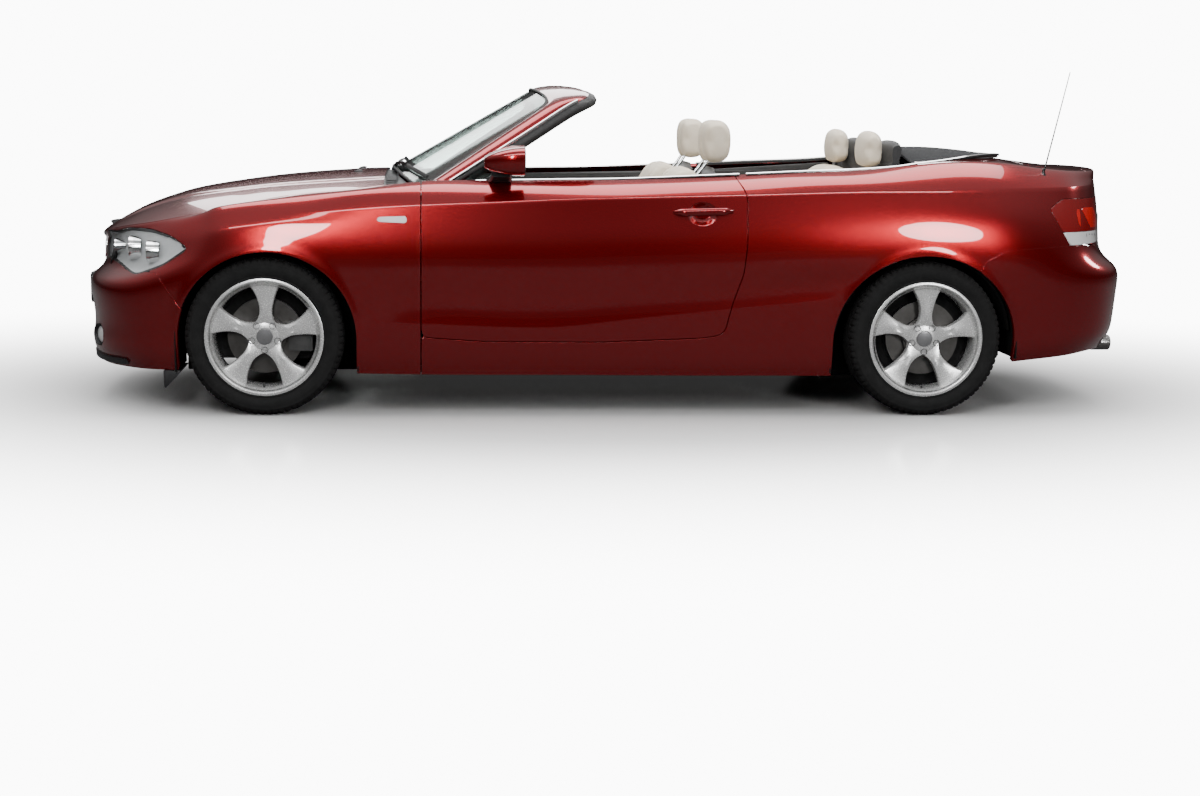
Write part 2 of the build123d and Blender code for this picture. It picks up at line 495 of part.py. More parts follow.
# ---------------------------------------------------------------- floor, bulkheads and inner structure
FLOOR_LOW_Z = 158.0
FLOOR_TOP_Z = 196.0
FLOOR_REAR_X = -860.0
SILL_INNER_Y = 600.0
SILL_TOP_Z = 288.0
TUNNEL_HALF_Y = 140.0
TUNNEL_TOP_Z = 400.0
TUNNEL_WALL = 26.0
FIREWALL_X = 809.0
FIREWALL_THICK = 32.0
RAIL_Y = (340.0, 457.0)
RAIL_Z = (330.0, 430.0)
NOSE_PANEL_X = 2040.0
BOOT_FLOOR_Z = 400.0
BOOT_HALF_Y = 556.0
BOOT_REAR_X = -2080.0
REAR_BULKHEAD_X = -1170.0
ROOF_BOX_REAR_X = -1540.0
TRIM_INNER_Y = 604.0
HINGE_Z = (430.0, 720.0)
WHEEL_WELL_LOW_Z = 345.0
with BuildPart() as floor_structure:
    for side in (1, -1):
        for x, z, radius, inner_y in (FRONT_HOUSE, REAR_HOUSE):
            y_low, y_high = sorted((side * (inner_y - LINER_WALL), side * 1000))
            cross_cylinder(x, z, radius + LINER_WALL, y_low, y_high)
        for y_low, y_high, x_low, x_high, z_low, z_high in (
            (SILL_INNER_Y, 788, -845, 1044, FLOOR_LOW_Z + 28.5, SILL_TOP_Z),
            (CABIN_HALF_Y, 900, FIREWALL_X, FIREWALL_X + FIREWALL_THICK, FLOOR_LOW_Z + 28.5, 880),
            (TRIM_INNER_Y, 900, -526, -504, FLOOR_LOW_Z + 28.5, 940),
            (TRIM_INNER_Y, TRIM_INNER_Y + 14, REAR_BULKHEAD_X, -504, FLOOR_TOP_Z - 10, 940),
            (FRONT_HOUSE[3] - LINER_WALL, 620, 1340, 1500, 560, 900),
            (BOOT_HALF_Y - 7, BOOT_HALF_Y, ROOF_BOX_REAR_X, REAR_BULKHEAD_X + 5, 600, 1100),
            (RAIL_Y[0], RAIL_Y[1], FIREWALL_X, NOSE_PANEL_X, RAIL_Z[0], RAIL_Z[1]),
        ):
            y_low, y_high = sorted((side * y_low, side * y_high))
            block(x_low, x_high, y_low, y_high, z_low, z_high)
    block(FIREWALL_X, FIREWALL_X + FIREWALL_THICK, -820, 820, FLOOR_TOP_Z, FRAME_BASE_Z - 0.3)
    block(NOSE_PANEL_X, NOSE_PANEL_X + 24, -500, 500, 240, 640)
    block(REAR_BULKHEAD_X, CABIN_REAR_X, -TRIM_INNER_Y - 5, TRIM_INNER_Y + 5, BOOT_FLOOR_Z - 10, 1100)
    block(ROOF_BOX_REAR_X, ROOF_BOX_REAR_X + 14, -BOOT_HALF_Y, BOOT_HALF_Y, 950, 1100)
    block(BOOT_REAR_X, FLOOR_REAR_X, -BOOT_HALF_Y, BOOT_HALF_Y, BOOT_FLOOR_Z - 24, BOOT_FLOOR_Z)
    block(BOOT_REAR_X, BOOT_REAR_X + 20, -BOOT_HALF_Y, BOOT_HALF_Y, BOOT_FLOOR_Z - 24, 640)
    for side in (1, -1):
        for x, z, radius, inner_y in (FRONT_HOUSE, REAR_HOUSE):
            y_low, y_high = sorted((side * inner_y, side * 1000))
            cross_cylinder(x, z, radius, y_low, y_high, Mode.SUBTRACT)
            y_low, y_high = sorted((side * (inner_y - LINER_WALL - 1), side * 1000))
            block(x - radius - 2 * LINER_WALL, x + radius + 2 * LINER_WALL, y_low, y_high, 0, WHEEL_WELL_LOW_Z,
                  Mode.SUBTRACT)
    add(inside, mode=Mode.INTERSECT)
    block(FLOOR_REAR_X, FIREWALL_X + FIREWALL_THICK, -FLOOR_HALF_Y, FLOOR_HALF_Y, FLOOR_LOW_Z, FLOOR_TOP_Z)
    block(FLOOR_REAR_X - 20, FLOOR_REAR_X, -BOOT_HALF_Y, BOOT_HALF_Y, FLOOR_LOW_Z, BOOT_FLOOR_Z)
    block(FLOOR_REAR_X, FIREWALL_X, -TUNNEL_HALF_Y, TUNNEL_HALF_Y, FLOOR_TOP_Z, TUNNEL_TOP_Z)
    block(FLOOR_REAR_X - 40, FIREWALL_X + 60, TUNNEL_WALL - TUNNEL_HALF_Y, TUNNEL_HALF_Y - TUNNEL_WALL, 0,
          TUNNEL_TOP_Z - TUNNEL_WALL, Mode.SUBTRACT)
    for side in (1, -1):
        for z in HINGE_Z:
            y_low, y_high = sorted((side * 705, side * 765))
            block(DOOR_FRONT_X - SHUT_GAP / 2 + 0.3, FIREWALL_X, y_low, y_high, z, z + 50)
# the welded structure is kept as five simple nodes, each cut a hair apart from the next
CUT = 0.3
REAR_CUT_X = REAR_HOUSE[0] + REAR_HOUSE[2] + LINER_WALL + 10
FRONT_WALL_Y = FRONT_HOUSE[3] - LINER_WALL
REAR_WALL_Y = REAR_HOUSE[3] - LINER_WALL
FAR = 2300.0
HINGE_ZONE_X = DOOR_FRONT_X - 4
HINGE_ZONE_LOW_Z = SILL_TOP_Z + 12
STRUCTURE = {
    "floor_structure": [
        (REAR_CUT_X, HINGE_ZONE_X, -FAR, FAR, 0, FAR),
        (HINGE_ZONE_X, FIREWALL_X - CUT, -FAR, FAR, 0, HINGE_ZONE_LOW_Z),
        (HINGE_ZONE_X, FIREWALL_X - CUT, -FLOOR_HALF_Y, FLOOR_HALF_Y, 0, FAR),
    ],
    "front_structure": [(FIREWALL_X, FAR, CUT - FRONT_WALL_Y, FRONT_WALL_Y - CUT, 0, FAR)],
    "rear_structure": [(-FAR, REAR_CUT_X - CUT, CUT - REAR_WALL_Y, REAR_WALL_Y - CUT, 0, FAR)],
    "front_wheelhouses": [
        (FIREWALL_X, FAR, FRONT_WALL_Y, FAR, 0, FAR), (FIREWALL_X, FAR, -FAR, -FRONT_WALL_Y, 0, FAR),
        (HINGE_ZONE_X, FIREWALL_X, FLOOR_HALF_Y + 1, FAR, HINGE_ZONE_LOW_Z + 1, FAR),
        (HINGE_ZONE_X, FIREWALL_X, -FAR, -FLOOR_HALF_Y - 1, HINGE_ZONE_LOW_Z + 1, FAR),
    ],
    "rear_wheelhouses": [
        (-FAR, REAR_CUT_X - CUT, REAR_WALL_Y, FAR, 0, FAR), (-FAR, REAR_CUT_X - CUT, -FAR, -REAR_WALL_Y, 0, FAR),
    ],
}
for name, regions in STRUCTURE.items():
    with BuildPart() as section:
        for region in regions:
            block(*region)
        add(floor_structure.part, mode=Mode.INTERSECT)
    save(section, name)

# ---------------------------------------------------------------- engine, exhaust and axles
ENGINE_X = (1010.0, 1640.0)
ENGINE_Z = (262.0, 790.0)
with BuildPart() as engine_block:
    block(ENGINE_X[0], ENGINE_X[1], -175, 175, ENGINE_Z[0], ENGINE_Z[1])
    block(520, ENGINE_X[0], -92, 92, 262, 362)
save(engine_block, "engine_block")

MUFFLER_X = (-1960.0, -1660.0)
PIPE_RADIUS = 27.0
PIPE_Z = 200.0
with BuildPart() as exhaust:
    block(MUFFLER_X[0], MUFFLER_X[1], -400, 530, 186, 330)
    fillet(exhaust.edges().filter_by(Axis.Y), 40)
    for y in TIP_Y:
        with Locations(Location((MUFFLER_X[0] - 100, y, TIP_Z), (0, 90, 0))):
            Cylinder(TIP_RADIUS, 201)
            Cylinder(TIP_RADIUS - 4, 260, mode=Mode.SUBTRACT)
        with Locations(Location((MUFFLER_X[0] - 8, y, TIP_Z), (0, 90, 0))):
            Cylinder(TIP_RADIUS - 2, 20)
    for x, y in ((-1900, -330), (-1720, -330), (-1900, 440), (-1720, 440)):
        with BuildSketch(Plane.XY.offset(322)):
            with Locations((x, y)):
                Circle(8)
        extrude(amount=BOOT_FLOOR_Z - 24.3 - 322)
    with BuildSketch(Plane.YZ.offset(MUFFLER_X[1] - 20)):
        with Locations((-60, PIPE_Z)):
            Circle(PIPE_RADIUS)
    extrude(amount=900 - MUFFLER_X[1])
save(exhaust, "exhaust")

HUB_Y_FRONT = FRONT_TRACK / 2
HUB_Y_REAR = REAR_TRACK / 2
DISC_BACK = MOUNT_FACE - DISC_HAT_BACK - DISC_THICK   # inner face of the disc, from the wheel's middle plane
STRUT_TOP_Z = FRONT_HOUSE[1] + FRONT_HOUSE[2] - 2.2
with BuildPart() as front_axle:
    block(1330, 1450, -430, 430, 205, ENGINE_Z[0] - 0.3)
    for side in (1, -1):
        with BuildSketch(Plane.XY.offset(186)):
            Polygon((1340, side * 400), (1440, side * 400), (1446, side * 712), (1394, side * 712), align=None)
        extrude(amount=26)
        y_low, y_high = sorted((side * 340, side * 430))
        block(1330, 1450, y_low, y_high, 205, RAIL_Z[0] - 0.3)
        with Locations((FRONT_AXLE_X, side * 573, (452 + STRUT_TOP_Z) / 2)):
            Cylinder(27, STRUT_TOP_Z - 452)
    with Locations(Location((1510, 0, 236), (90, 0, 0))):
        Cylinder(26, 880)
    block(1440, 1510, -300, 300, 215, 255)
save(front_axle, "front_axle")

with BuildPart() as rear_axle:
    block(-1330, -1150, -330, 330, 230, 275)
    block(-1330, -1140, -110, 110, 230, 372)
    for side in (1, -1):
        y_low, y_high = sorted((side * 60, side * (HUB_Y_REAR + DISC_BACK - 0.3)))
        cross_cylinder(REAR_AXLE_X, TYRE_RADIUS, 18, y_low, y_high)
        y_low, y_high = sorted((side * (HUB_Y_REAR - 74), side * (HUB_Y_REAR + DISC_BACK - 0.3)))
        cross_cylinder(REAR_AXLE_X, TYRE_RADIUS, 58, y_low, y_high)
        y_low, y_high = sorted((side * 300, side * (HUB_Y_REAR - 50)))
        block(-1290, -1200, y_low, y_high, 232, 262)
        y_low, y_high = sorted((side * 490, side * 530))
        block(-1270, -1230, y_low, y_high, 255, BOOT_FLOOR_Z - 24.3)
        y_low, y_high = sorted((side * (HUB_Y_REAR - 74), side * (HUB_Y_REAR - 40)))
        block(-1280, -1200, y_low, y_high, 240, 400)
    with BuildSketch(Plane.YZ.offset(-1145)):
        with Locations((0, 280)):
            Circle(24)
    extrude(amount=1660)
save(rear_axle, "rear_axle")

CALIPER_X = (-186.0, -92.0)
with BuildPart() as knuckle_left:
    cross_cylinder(FRONT_AXLE_X, TYRE_RADIUS, 52, HUB_Y_FRONT - 74, HUB_Y_FRONT + DISC_BACK - 0.3)
    block(FRONT_AXLE_X - 34, FRONT_AXLE_X + 34, HUB_Y_FRONT - 76, HUB_Y_FRONT - 34, 212.5, 452)
    block(FRONT_AXLE_X - 24, FRONT_AXLE_X + 24, 604, HUB_Y_FRONT - 60, 425, 451.5)
    block(FRONT_AXLE_X + CALIPER_X[0], FRONT_AXLE_X, HUB_Y_FRONT - 60, HUB_Y_FRONT - 36, 284, 344)
    block(FRONT_AXLE_X + CALIPER_X[0], FRONT_AXLE_X + CALIPER_X[1], HUB_Y_FRONT - 40, HUB_Y_FRONT + 38, 254, 374)
    cross_cylinder(FRONT_AXLE_X, TYRE_RADIUS, DISC_RADIUS + 3, HUB_Y_FRONT + DISC_BACK - 3,
                   HUB_Y_FRONT + DISC_BACK + DISC_THICK + 3, Mode.SUBTRACT)
    cross_cylinder(FRONT_AXLE_X, TYRE_RADIUS, DISC_HAT_R + 8, HUB_Y_FRONT + DISC_BACK + DISC_THICK,
                   HUB_Y_FRONT + 60, Mode.SUBTRACT)
    cross_cylinder(FRONT_AXLE_X, TYRE_RADIUS, 52, HUB_Y_FRONT - 40, HUB_Y_FRONT + DISC_BACK - 0.3)
save(knuckle_left, "knuckle_left")
save_mirrored(knuckle_left, "knuckle_right")

# ---------------------------------------------------------------- wheels
Wheel = namedtuple("Wheel", "name x y side")
WHEELS = [
    Wheel("front_left", FRONT_AXLE_X, FRONT_TRACK / 2, 1),
    Wheel("front_right", FRONT_AXLE_X, -FRONT_TRACK / 2, -1),
    Wheel("rear_left", REAR_AXLE_X, REAR_TRACK / 2, 1),
    Wheel("rear_right", REAR_AXLE_X, -REAR_TRACK / 2, -1),
]
HALF_TYRE = TYRE_WIDTH / 2
HALF_RIM = RIM_WIDTH / 2
TYRE_PROFILE = [
    (BEAD_RADIUS + RIM_FIT, HALF_RIM - 16), (FLANGE_RADIUS + 6, HALF_RIM - 10), (250, HALF_TYRE - 6),
    (268, HALF_TYRE), (286, HALF_TYRE - 3), (304, TREAD_WIDTH / 2 + 6), (TYRE_RADIUS - 1, TREAD_WIDTH / 2 - 12),
    (TYRE_RADIUS, 0),
]
BARREL_PROFILE = [
    (FLANGE_RADIUS, HALF_RIM), (FLANGE_RADIUS, HALF_RIM - 7), (BEAD_RADIUS, HALF_RIM - 11), (BEAD_RADIUS, 50),
    (BEAD_RADIUS - 14, 30), (BEAD_RADIUS - 14, -30), (BEAD_RADIUS, -50), (BEAD_RADIUS, 11 - HALF_RIM),
    (FLANGE_RADIUS, 7 - HALF_RIM), (FLANGE_RADIUS, -HALF_RIM), (BEAD_RADIUS - RIM_WALL, -HALF_RIM),
    (BEAD_RADIUS - RIM_WALL, -52), (BEAD_RADIUS - 14 - RIM_WALL, -32), (BEAD_RADIUS - 14 - RIM_WALL, 32),
    (BEAD_RADIUS - RIM_WALL, 52), (BEAD_RADIUS - RIM_WALL, HALF_RIM),
]
SPOKE_PROFILE = [(30, -34), (120, -30), (BEAD_RADIUS - 10, -52), (BEAD_RADIUS - 10, 52), (120, 30), (30, 34)]
for wheel in WHEELS:
    across = Plane(origin=(wheel.x, wheel.y, TYRE_RADIUS), x_dir=(1, 0, 0), z_dir=(0, wheel.side, 0))
    section = Plane(origin=(wheel.x, wheel.y, TYRE_RADIUS), x_dir=(1, 0, 0), z_dir=(0, 0, -wheel.side))
    axle = Axis((wheel.x, wheel.y, TYRE_RADIUS), (0, wheel.side, 0))
    with BuildPart() as tyre:
        with BuildSketch(section):
            tyre_half = [(r, w) for r, w in TYRE_PROFILE]
            Polygon(*tyre_half, *[(r, -w) for r, w in reversed(tyre_half) if w > 0], align=None)
            Polygon(*[(BEAD_RADIUS + RIM_FIT, HALF_RIM - 30), (255, HALF_TYRE - 24), (290, HALF_TYRE - 26),
                      (TYRE_RADIUS - TYRE_WALL, 60), (TYRE_RADIUS - TYRE_WALL, -60), (290, 26 - HALF_TYRE),
                      (255, 24 - HALF_TYRE), (BEAD_RADIUS + RIM_FIT, 30 - HALF_RIM),
                      (BEAD_RADIUS - 1, 30 - HALF_RIM), (BEAD_RADIUS - 1, HALF_RIM - 30)],
                    align=None, mode=Mode.SUBTRACT)
        revolve(axis=axle)
    save(tyre, f"tyre_{wheel.name}")

    with BuildPart() as rim:
        with BuildSketch(section):
            Polygon(*BARREL_PROFILE, align=None)
        revolve(axis=axle)
        with BuildSketch(across.offset(FACE_OUT - SPOKE_THICK)):
            for n in range(SPOKE_COUNT):
                with Locations(Location((0, 0, 0), (0, 0, 90 + n * 360 / SPOKE_COUNT))):
                    Polygon(*SPOKE_PROFILE, align=None)
        extrude(amount=SPOKE_THICK)
        with BuildSketch(across.offset(MOUNT_FACE)):
            Circle(HUB_R)
        extrude(amount=FACE_OUT - MOUNT_FACE - 4)
        with BuildSketch(across.offset(MOUNT_FACE + 10)):
            with PolarLocations(BOLT_PCD / 2, SPOKE_COUNT, start_angle=90 + 180 / SPOKE_COUNT):
                Circle(BOLT_HOLE_R)
        extrude(amount=100, mode=Mode.SUBTRACT)
    save(rim, f"rim_{wheel.name}")

    with BuildPart() as disc:
        with BuildSketch(across.offset(DISC_BACK)):
            Circle(DISC_RADIUS)
        extrude(amount=DISC_THICK)
        with BuildSketch(across.offset(DISC_BACK)):
            Circle(DISC_HAT_R)
        extrude(amount=MOUNT_FACE - DISC_BACK)
    save(disc, f"brake_disc_{wheel.name}")

# ---------------------------------------------------------------- cabin
DASH_SIDE = [(838, 838), (520, 872), (484, 850), (472, 800), (490, 700), (560, 560), (700, 520), (806, 520)]
DASH_PLAN = [(836, 0), (812, 300), (744, 560), (692, 686), (420, 686), (420, 0)]
with BuildPart() as dashboard:
    add(side_prism(DASH_SIDE, -684, 684))
    add(plan_prism(DASH_PLAN, 400, 1000), mode=Mode.INTERSECT)
    block(FIREWALL_X - 0.4, 900, -900, 900, 0, 1000, Mode.SUBTRACT)
save(dashboard, "dashboard")

WHEEL_CENTRE = (400.0, 370.0, 830.0)
COLUMN_TILT = 25.0
RING_RADIUS = 166.0
RING_TUBE = 15.0
column = Plane(
    origin=WHEEL_CENTRE, x_dir=(0, 1, 0), z_dir=(-cos(radians(COLUMN_TILT)), 0, sin(radians(COLUMN_TILT)))
)
with BuildPart() as steering_wheel:
    with BuildSketch(Plane(origin=WHEEL_CENTRE, x_dir=(0, 1, 0), z_dir=column.x_dir.cross(column.z_dir))):
        with Locations((RING_RADIUS, 0)):
            Circle(RING_TUBE)
    revolve(axis=Axis(WHEEL_CENTRE, column.z_dir))
    with BuildSketch(column.offset(-22)):
        Circle(62)
        Rectangle(2 * RING_RADIUS, 34)
        with Locations((0, -RING_RADIUS / 2)):
            Rectangle(34, RING_RADIUS)
    extrude(amount=16)
    with BuildSketch(column.offset(-30)):
        Circle(50)
    extrude(amount=36)
save(steering_wheel, "steering_wheel")

with BuildPart() as steering_column:
    with BuildSketch(column.offset(-30.3)):
        Circle(40)
    extrude(amount=-110)
    add(dashboard.part, mode=Mode.SUBTRACT)
save(steering_column, "steering_column")

with BuildPart() as centre_console:
    block(-420, 425, -105, 105, TUNNEL_TOP_Z, 520)
    block(425, 560, -105, 105, TUNNEL_TOP_Z, 555)
save(centre_console, "centre_console")

SEAT_Y = 370.0
SEAT_HALF = 222.0
SEAT_BASE_Z = 318.0
CUSHION_SIDE = [(400, 320), (414, 440), (380, 486), (330, 492), (-60, 440), (-110, 400), (-120, 320)]
BACKREST_SIDE = [(-110.4, 398.5), (-60.4, 438.5), (-104, 560), (-252, 930), (-272, 990), (-300, 1000), (-410, 1000),
                 (-428, 980), (-420, 900), (-300, 560), (-215, 400)]
HEADREST_SIDE = [(-352, 1030), (-354, 1150), (-366, 1178), (-396, 1188), (-450, 1187), (-480, 1165),
                 (-492, 1110), (-478, 1040), (-450, 1014), (-368, 1012)]
HEADREST_HALF = 132.0
with BuildPart() as seat_bases:
    for y in (SEAT_Y, -SEAT_Y):
        block(-80, 340, y - 190, y + 190, FLOOR_TOP_Z, SEAT_BASE_Z - 0.3)
save(seat_bases, "seat_bases")

with BuildPart() as front_seat_cushions:
    for y in (SEAT_Y, -SEAT_Y):
        add(side_prism([(x, z - 2) for x, z in CUSHION_SIDE], y - SEAT_HALF, y + SEAT_HALF))
save(front_seat_cushions, "front_seat_cushions")

with BuildPart() as front_seat_backrests:
    for y in (SEAT_Y, -SEAT_Y):
        add(side_prism(BACKREST_SIDE, y - SEAT_HALF, y + SEAT_HALF))
save(front_seat_backrests, "front_seat_backrests")

with BuildPart() as front_headrests:
    for y in (SEAT_Y, -SEAT_Y):
        add(side_prism(HEADREST_SIDE, y - HEADREST_HALF, y + HEADREST_HALF))
        for post in (-60, 60):
            with Locations((-400, y + post, 1010)):
                Cylinder(7, 19.4)
save(front_headrests, "front_headrests")

REAR_SEAT_HALF = 596.0
REAR_SEAT_SIDE = [(-480, FLOOR_TOP_Z), (-470, 420), (-520, 470), (-900, 430), (-960, 560), (-1010, 900),
                  (-1050, 985), (-1130, 985), (-1148, 960), (CABIN_REAR_X + 0.3, BOOT_FLOOR_Z + 0.3),
                  (FLOOR_REAR_X + 0.3, BOOT_FLOOR_Z + 0.3), (FLOOR_REAR_X + 0.3, FLOOR_TOP_Z)]
with BuildPart() as rear_seat:
    add(side_prism(REAR_SEAT_SIDE, -REAR_SEAT_HALF, REAR_SEAT_HALF))
    block(FLOOR_REAR_X, -470, -TUNNEL_HALF_Y - 1, TUNNEL_HALF_Y + 1, 0, TUNNEL_TOP_Z + 0.3, Mode.SUBTRACT)
    for side in (1, -1):
        x, z, radius, inner_y = REAR_HOUSE
        y_low, y_high = sorted((side * (inner_y - LINER_WALL - 1), side * 1000))
        cross_cylinder(x, z, radius + LINER_WALL + 1, y_low, y_high, Mode.SUBTRACT)
        block(x - 400, x + radius + LINER_WALL + 1, y_low, y_high, 0, z, Mode.SUBTRACT)
save(rear_seat, "rear_seat")

REAR_REST_SIDE = [(-1030, 1030), (-1034, 1110), (-1048, 1142), (-1080, 1152), (-1122, 1146), (-1142, 1110),
                  (-1142, 1030), (-1126, 1000), (-1048, 1000)]
with BuildPart() as rear_headrests:
    for y in (HEADREST_REAR_Y, -HEADREST_REAR_Y):
        add(side_prism(REAR_REST_SIDE, y - HEADREST_HALF, y + HEADREST_HALF))
        for post in (-60, 60):
            with Locations((-1080, y + post, 992.8)):
                Cylinder(7, 15)
save(rear_headrests, "rear_headrests")

ANTENNA_BASE = (-1738.0, 722.0, 950.0)
ANTENNA_TIP = (-1827.0, 722.0, 1397.0)
with BuildPart() as antenna:
    rake = Vector(*ANTENNA_TIP) - Vector(*ANTENNA_BASE)
    with BuildSketch(Plane(origin=ANTENNA_BASE, z_dir=rake)):
        Circle(9)
    extrude(amount=60)
    with BuildSketch(Plane(origin=ANTENNA_BASE, z_dir=rake)):
        Circle(2.6)
    extrude(amount=rake.length)
    add(outer, mode=Mode.SUBTRACT)
save(antenna, "antenna")
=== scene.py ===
"""The looks of a four-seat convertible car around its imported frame, in metres.

The painted skin is two smooth surfaces: a side that wraps from the middle of the nose to the middle of the
tail, skinned through rails, and a top, a height over the ground. Panels are cut from them along their shut
lines.
"""
import json
from math import cos, pi, radians, sin

import bmesh
import bpy
import numpy as np
from mathutils import Matrix, Vector

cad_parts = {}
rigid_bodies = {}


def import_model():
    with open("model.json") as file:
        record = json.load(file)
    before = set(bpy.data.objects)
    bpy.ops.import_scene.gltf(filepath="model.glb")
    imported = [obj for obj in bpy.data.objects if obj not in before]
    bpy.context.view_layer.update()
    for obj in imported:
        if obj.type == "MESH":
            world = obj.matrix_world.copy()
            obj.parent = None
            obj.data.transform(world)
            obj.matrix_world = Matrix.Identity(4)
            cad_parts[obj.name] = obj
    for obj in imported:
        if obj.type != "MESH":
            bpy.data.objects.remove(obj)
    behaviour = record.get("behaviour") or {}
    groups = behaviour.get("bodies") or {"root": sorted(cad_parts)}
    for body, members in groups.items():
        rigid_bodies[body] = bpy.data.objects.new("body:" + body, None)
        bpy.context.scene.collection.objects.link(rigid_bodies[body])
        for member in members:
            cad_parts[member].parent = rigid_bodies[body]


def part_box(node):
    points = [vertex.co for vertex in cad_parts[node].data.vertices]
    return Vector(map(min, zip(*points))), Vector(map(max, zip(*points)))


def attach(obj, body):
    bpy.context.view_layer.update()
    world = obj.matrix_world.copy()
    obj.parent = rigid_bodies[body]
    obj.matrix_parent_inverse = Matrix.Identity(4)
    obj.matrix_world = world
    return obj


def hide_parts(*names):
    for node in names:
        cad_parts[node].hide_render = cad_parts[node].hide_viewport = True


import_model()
for extra in [o for o in bpy.data.objects if o.name in ("Cube", "Light", "Camera")]:
    bpy.data.objects.remove(extra)
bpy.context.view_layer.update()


# ---------------------------------------------------------------- driving sizes, in metres
FRONT_AXLE_X = 1.420
REAR_AXLE_X = -1.240
TYRE_RADIUS = 0.314
FRONT_TRACK = 1.484
REAR_TRACK = 1.507
FRONT_ARCH = (1.412, 0.308, 0.352)   # centre x and z, radius
REAR_ARCH = (-1.236, 0.289, 0.366)
SHUT_GAP = 0.006
SEAM = 0.0014
PANEL_EDGE = 0.016                   # depth of a panel's folded edge
ARCH_OPENINGS = ((1.410, 0.308, 0.354, 0.346), (-1.236, 0.302, 0.381, 0.353))     # centre x, z, half axes
DOOR_FRONT_X = 0.803
DOOR_BACK_Y = 0.712                  # the inner face of a door's painted panel
JAMB_Y = 0.700                       # where the edges round a door's opening end
WIDEST_Y = 0.8745
TONNEAU_FRONT_X = -1.214
GLASS_FOOT_Y = 0.655                 # half the width of the windscreen's foot
FLAT_SPOT = 0.0002                   # how far a tyre stays above the floor
CLOTH_FRAMES = 14
GLASS_INDEX = 1.50
WHITE_GLOW = 11.0                    # strength of the backdrop and of the floor where it fades into it
SIDES = (("left", 1), ("right", -1))


# ---------------------------------------------------------------- curves and surfaces
def cubic(points, count, closed=False):
    """Points evenly spread along a smooth curve through the given ones (centripetal Catmull-Rom)."""
    p = np.asarray(points, float)
    ends = (p[-1:], p[:1]) if closed else (2 * p[:1] - p[1:2], 2 * p[-1:] - p[-2:-1])
    q = np.vstack([ends[0], p] + ([p[:1], p[1:2]] if closed else [ends[1]]))
    spans = len(p) if closed else len(p) - 1
    fine = []
    for i in range(spans):
        a, b, c, d = q[i:i + 4]
        t = [0.0]
        for s, e in ((a, b), (b, c), (c, d)):
            t.append(t[-1] + max(np.linalg.norm(e - s), 1e-9) ** 0.5)
        for u in np.linspace(t[1], t[2], 24, endpoint=False):
            ab = (t[1] - u) / (t[1] - t[0]) * a + (u - t[0]) / (t[1] - t[0]) * b
            bc = (t[2] - u) / (t[2] - t[1]) * b + (u - t[1]) / (t[2] - t[1]) * c
            cd = (t[3] - u) / (t[3] - t[2]) * c + (u - t[2]) / (t[3] - t[2]) * d
            abc = (t[2] - u) / (t[2] - t[0]) * ab + (u - t[0]) / (t[2] - t[0]) * bc
            bcd = (t[3] - u) / (t[3] - t[1]) * bc + (u - t[1]) / (t[3] - t[1]) * cd
            fine.append((t[2] - u) / (t[2] - t[1]) * abc + (u - t[1]) / (t[2] - t[1]) * bcd)
    if not closed:
        fine.append(p[-1])
    fine = np.array(fine)
    loop = np.vstack([fine, fine[:1]]) if closed else fine
    run = np.concatenate([[0], np.cumsum(np.linalg.norm(np.diff(loop, axis=0), axis=1))])
    at = np.linspace(0, run[-1], count + 1)[:-1] if closed else np.linspace(0, run[-1], count)
    return np.stack([np.interp(at, run, loop[:, k]) for k in range(p.shape[1])], axis=1)


def smooth_table(xs, values):
    """A smooth function through a table whose xs fall or rise steadily (monotone slopes, no overshoot)."""
    order = np.argsort(xs)
    x, v = np.asarray(xs, float)[order], np.asarray(values, float)[order]
    step = np.diff(v) / np.diff(x)
    slope = np.concatenate([step[:1], np.zeros(len(x) - 2), step[-1:]])
    for i in range(1, len(x) - 1):
        if step[i - 1] * step[i] > 0:
            w = (x[i + 1] - x[i], x[i] - x[i - 1])
            slope[i] = 3 * sum(w) / ((w[0] + sum(w)) / step[i - 1] + (w[1] + sum(w)) / step[i])

    def at(q):
        q = np.clip(q, x[0], x[-1])
        i = np.clip(np.searchsorted(x, q) - 1, 0, len(x) - 2)
        h = x[i + 1] - x[i]
        t = (q - x[i]) / h
        return ((2 * t**3 - 3 * t**2 + 1) * v[i] + (t**3 - 2 * t**2 + t) * h * slope[i]
                + (3 * t**2 - 2 * t**3) * v[i + 1] + (t**3 - t**2) * h * slope[i + 1])

    return at


def smoothstep(low, high, x):
    """A soft step from 0 at low to 1 at high."""
    t = np.clip((x - low) / (high - low), 0, 1)
    return t * t * (3 - 2 * t)


class Skin:
    """A dense grid of points with its normals."""

    def __init__(self, grid, flip=False):
        self.grid = grid
        du = np.gradient(grid, axis=0)
        dv = np.gradient(grid, axis=1)
        n = np.cross(du, dv)
        n /= np.maximum(np.linalg.norm(n, axis=2, keepdims=True), 1e-12)
        self.normal = -n if flip else n
        self.flip = flip

    def mirrored(self):
        m = np.array([1.0, -1.0, 1.0])
        other = Skin.__new__(Skin)
        other.grid, other.normal, other.flip = self.grid * m, self.normal * m, not self.flip
        other.inboard = self.inboard
        return other

    def faces(self):
        nu, nv = self.grid.shape[:2]
        i = np.arange(nu * nv).reshape(nu, nv)
        q = np.stack([i[:-1, :-1], i[1:, :-1], i[1:, 1:], i[:-1, 1:]], axis=-1).reshape(-1, 4)
        return q[:, ::-1] if self.flip else q


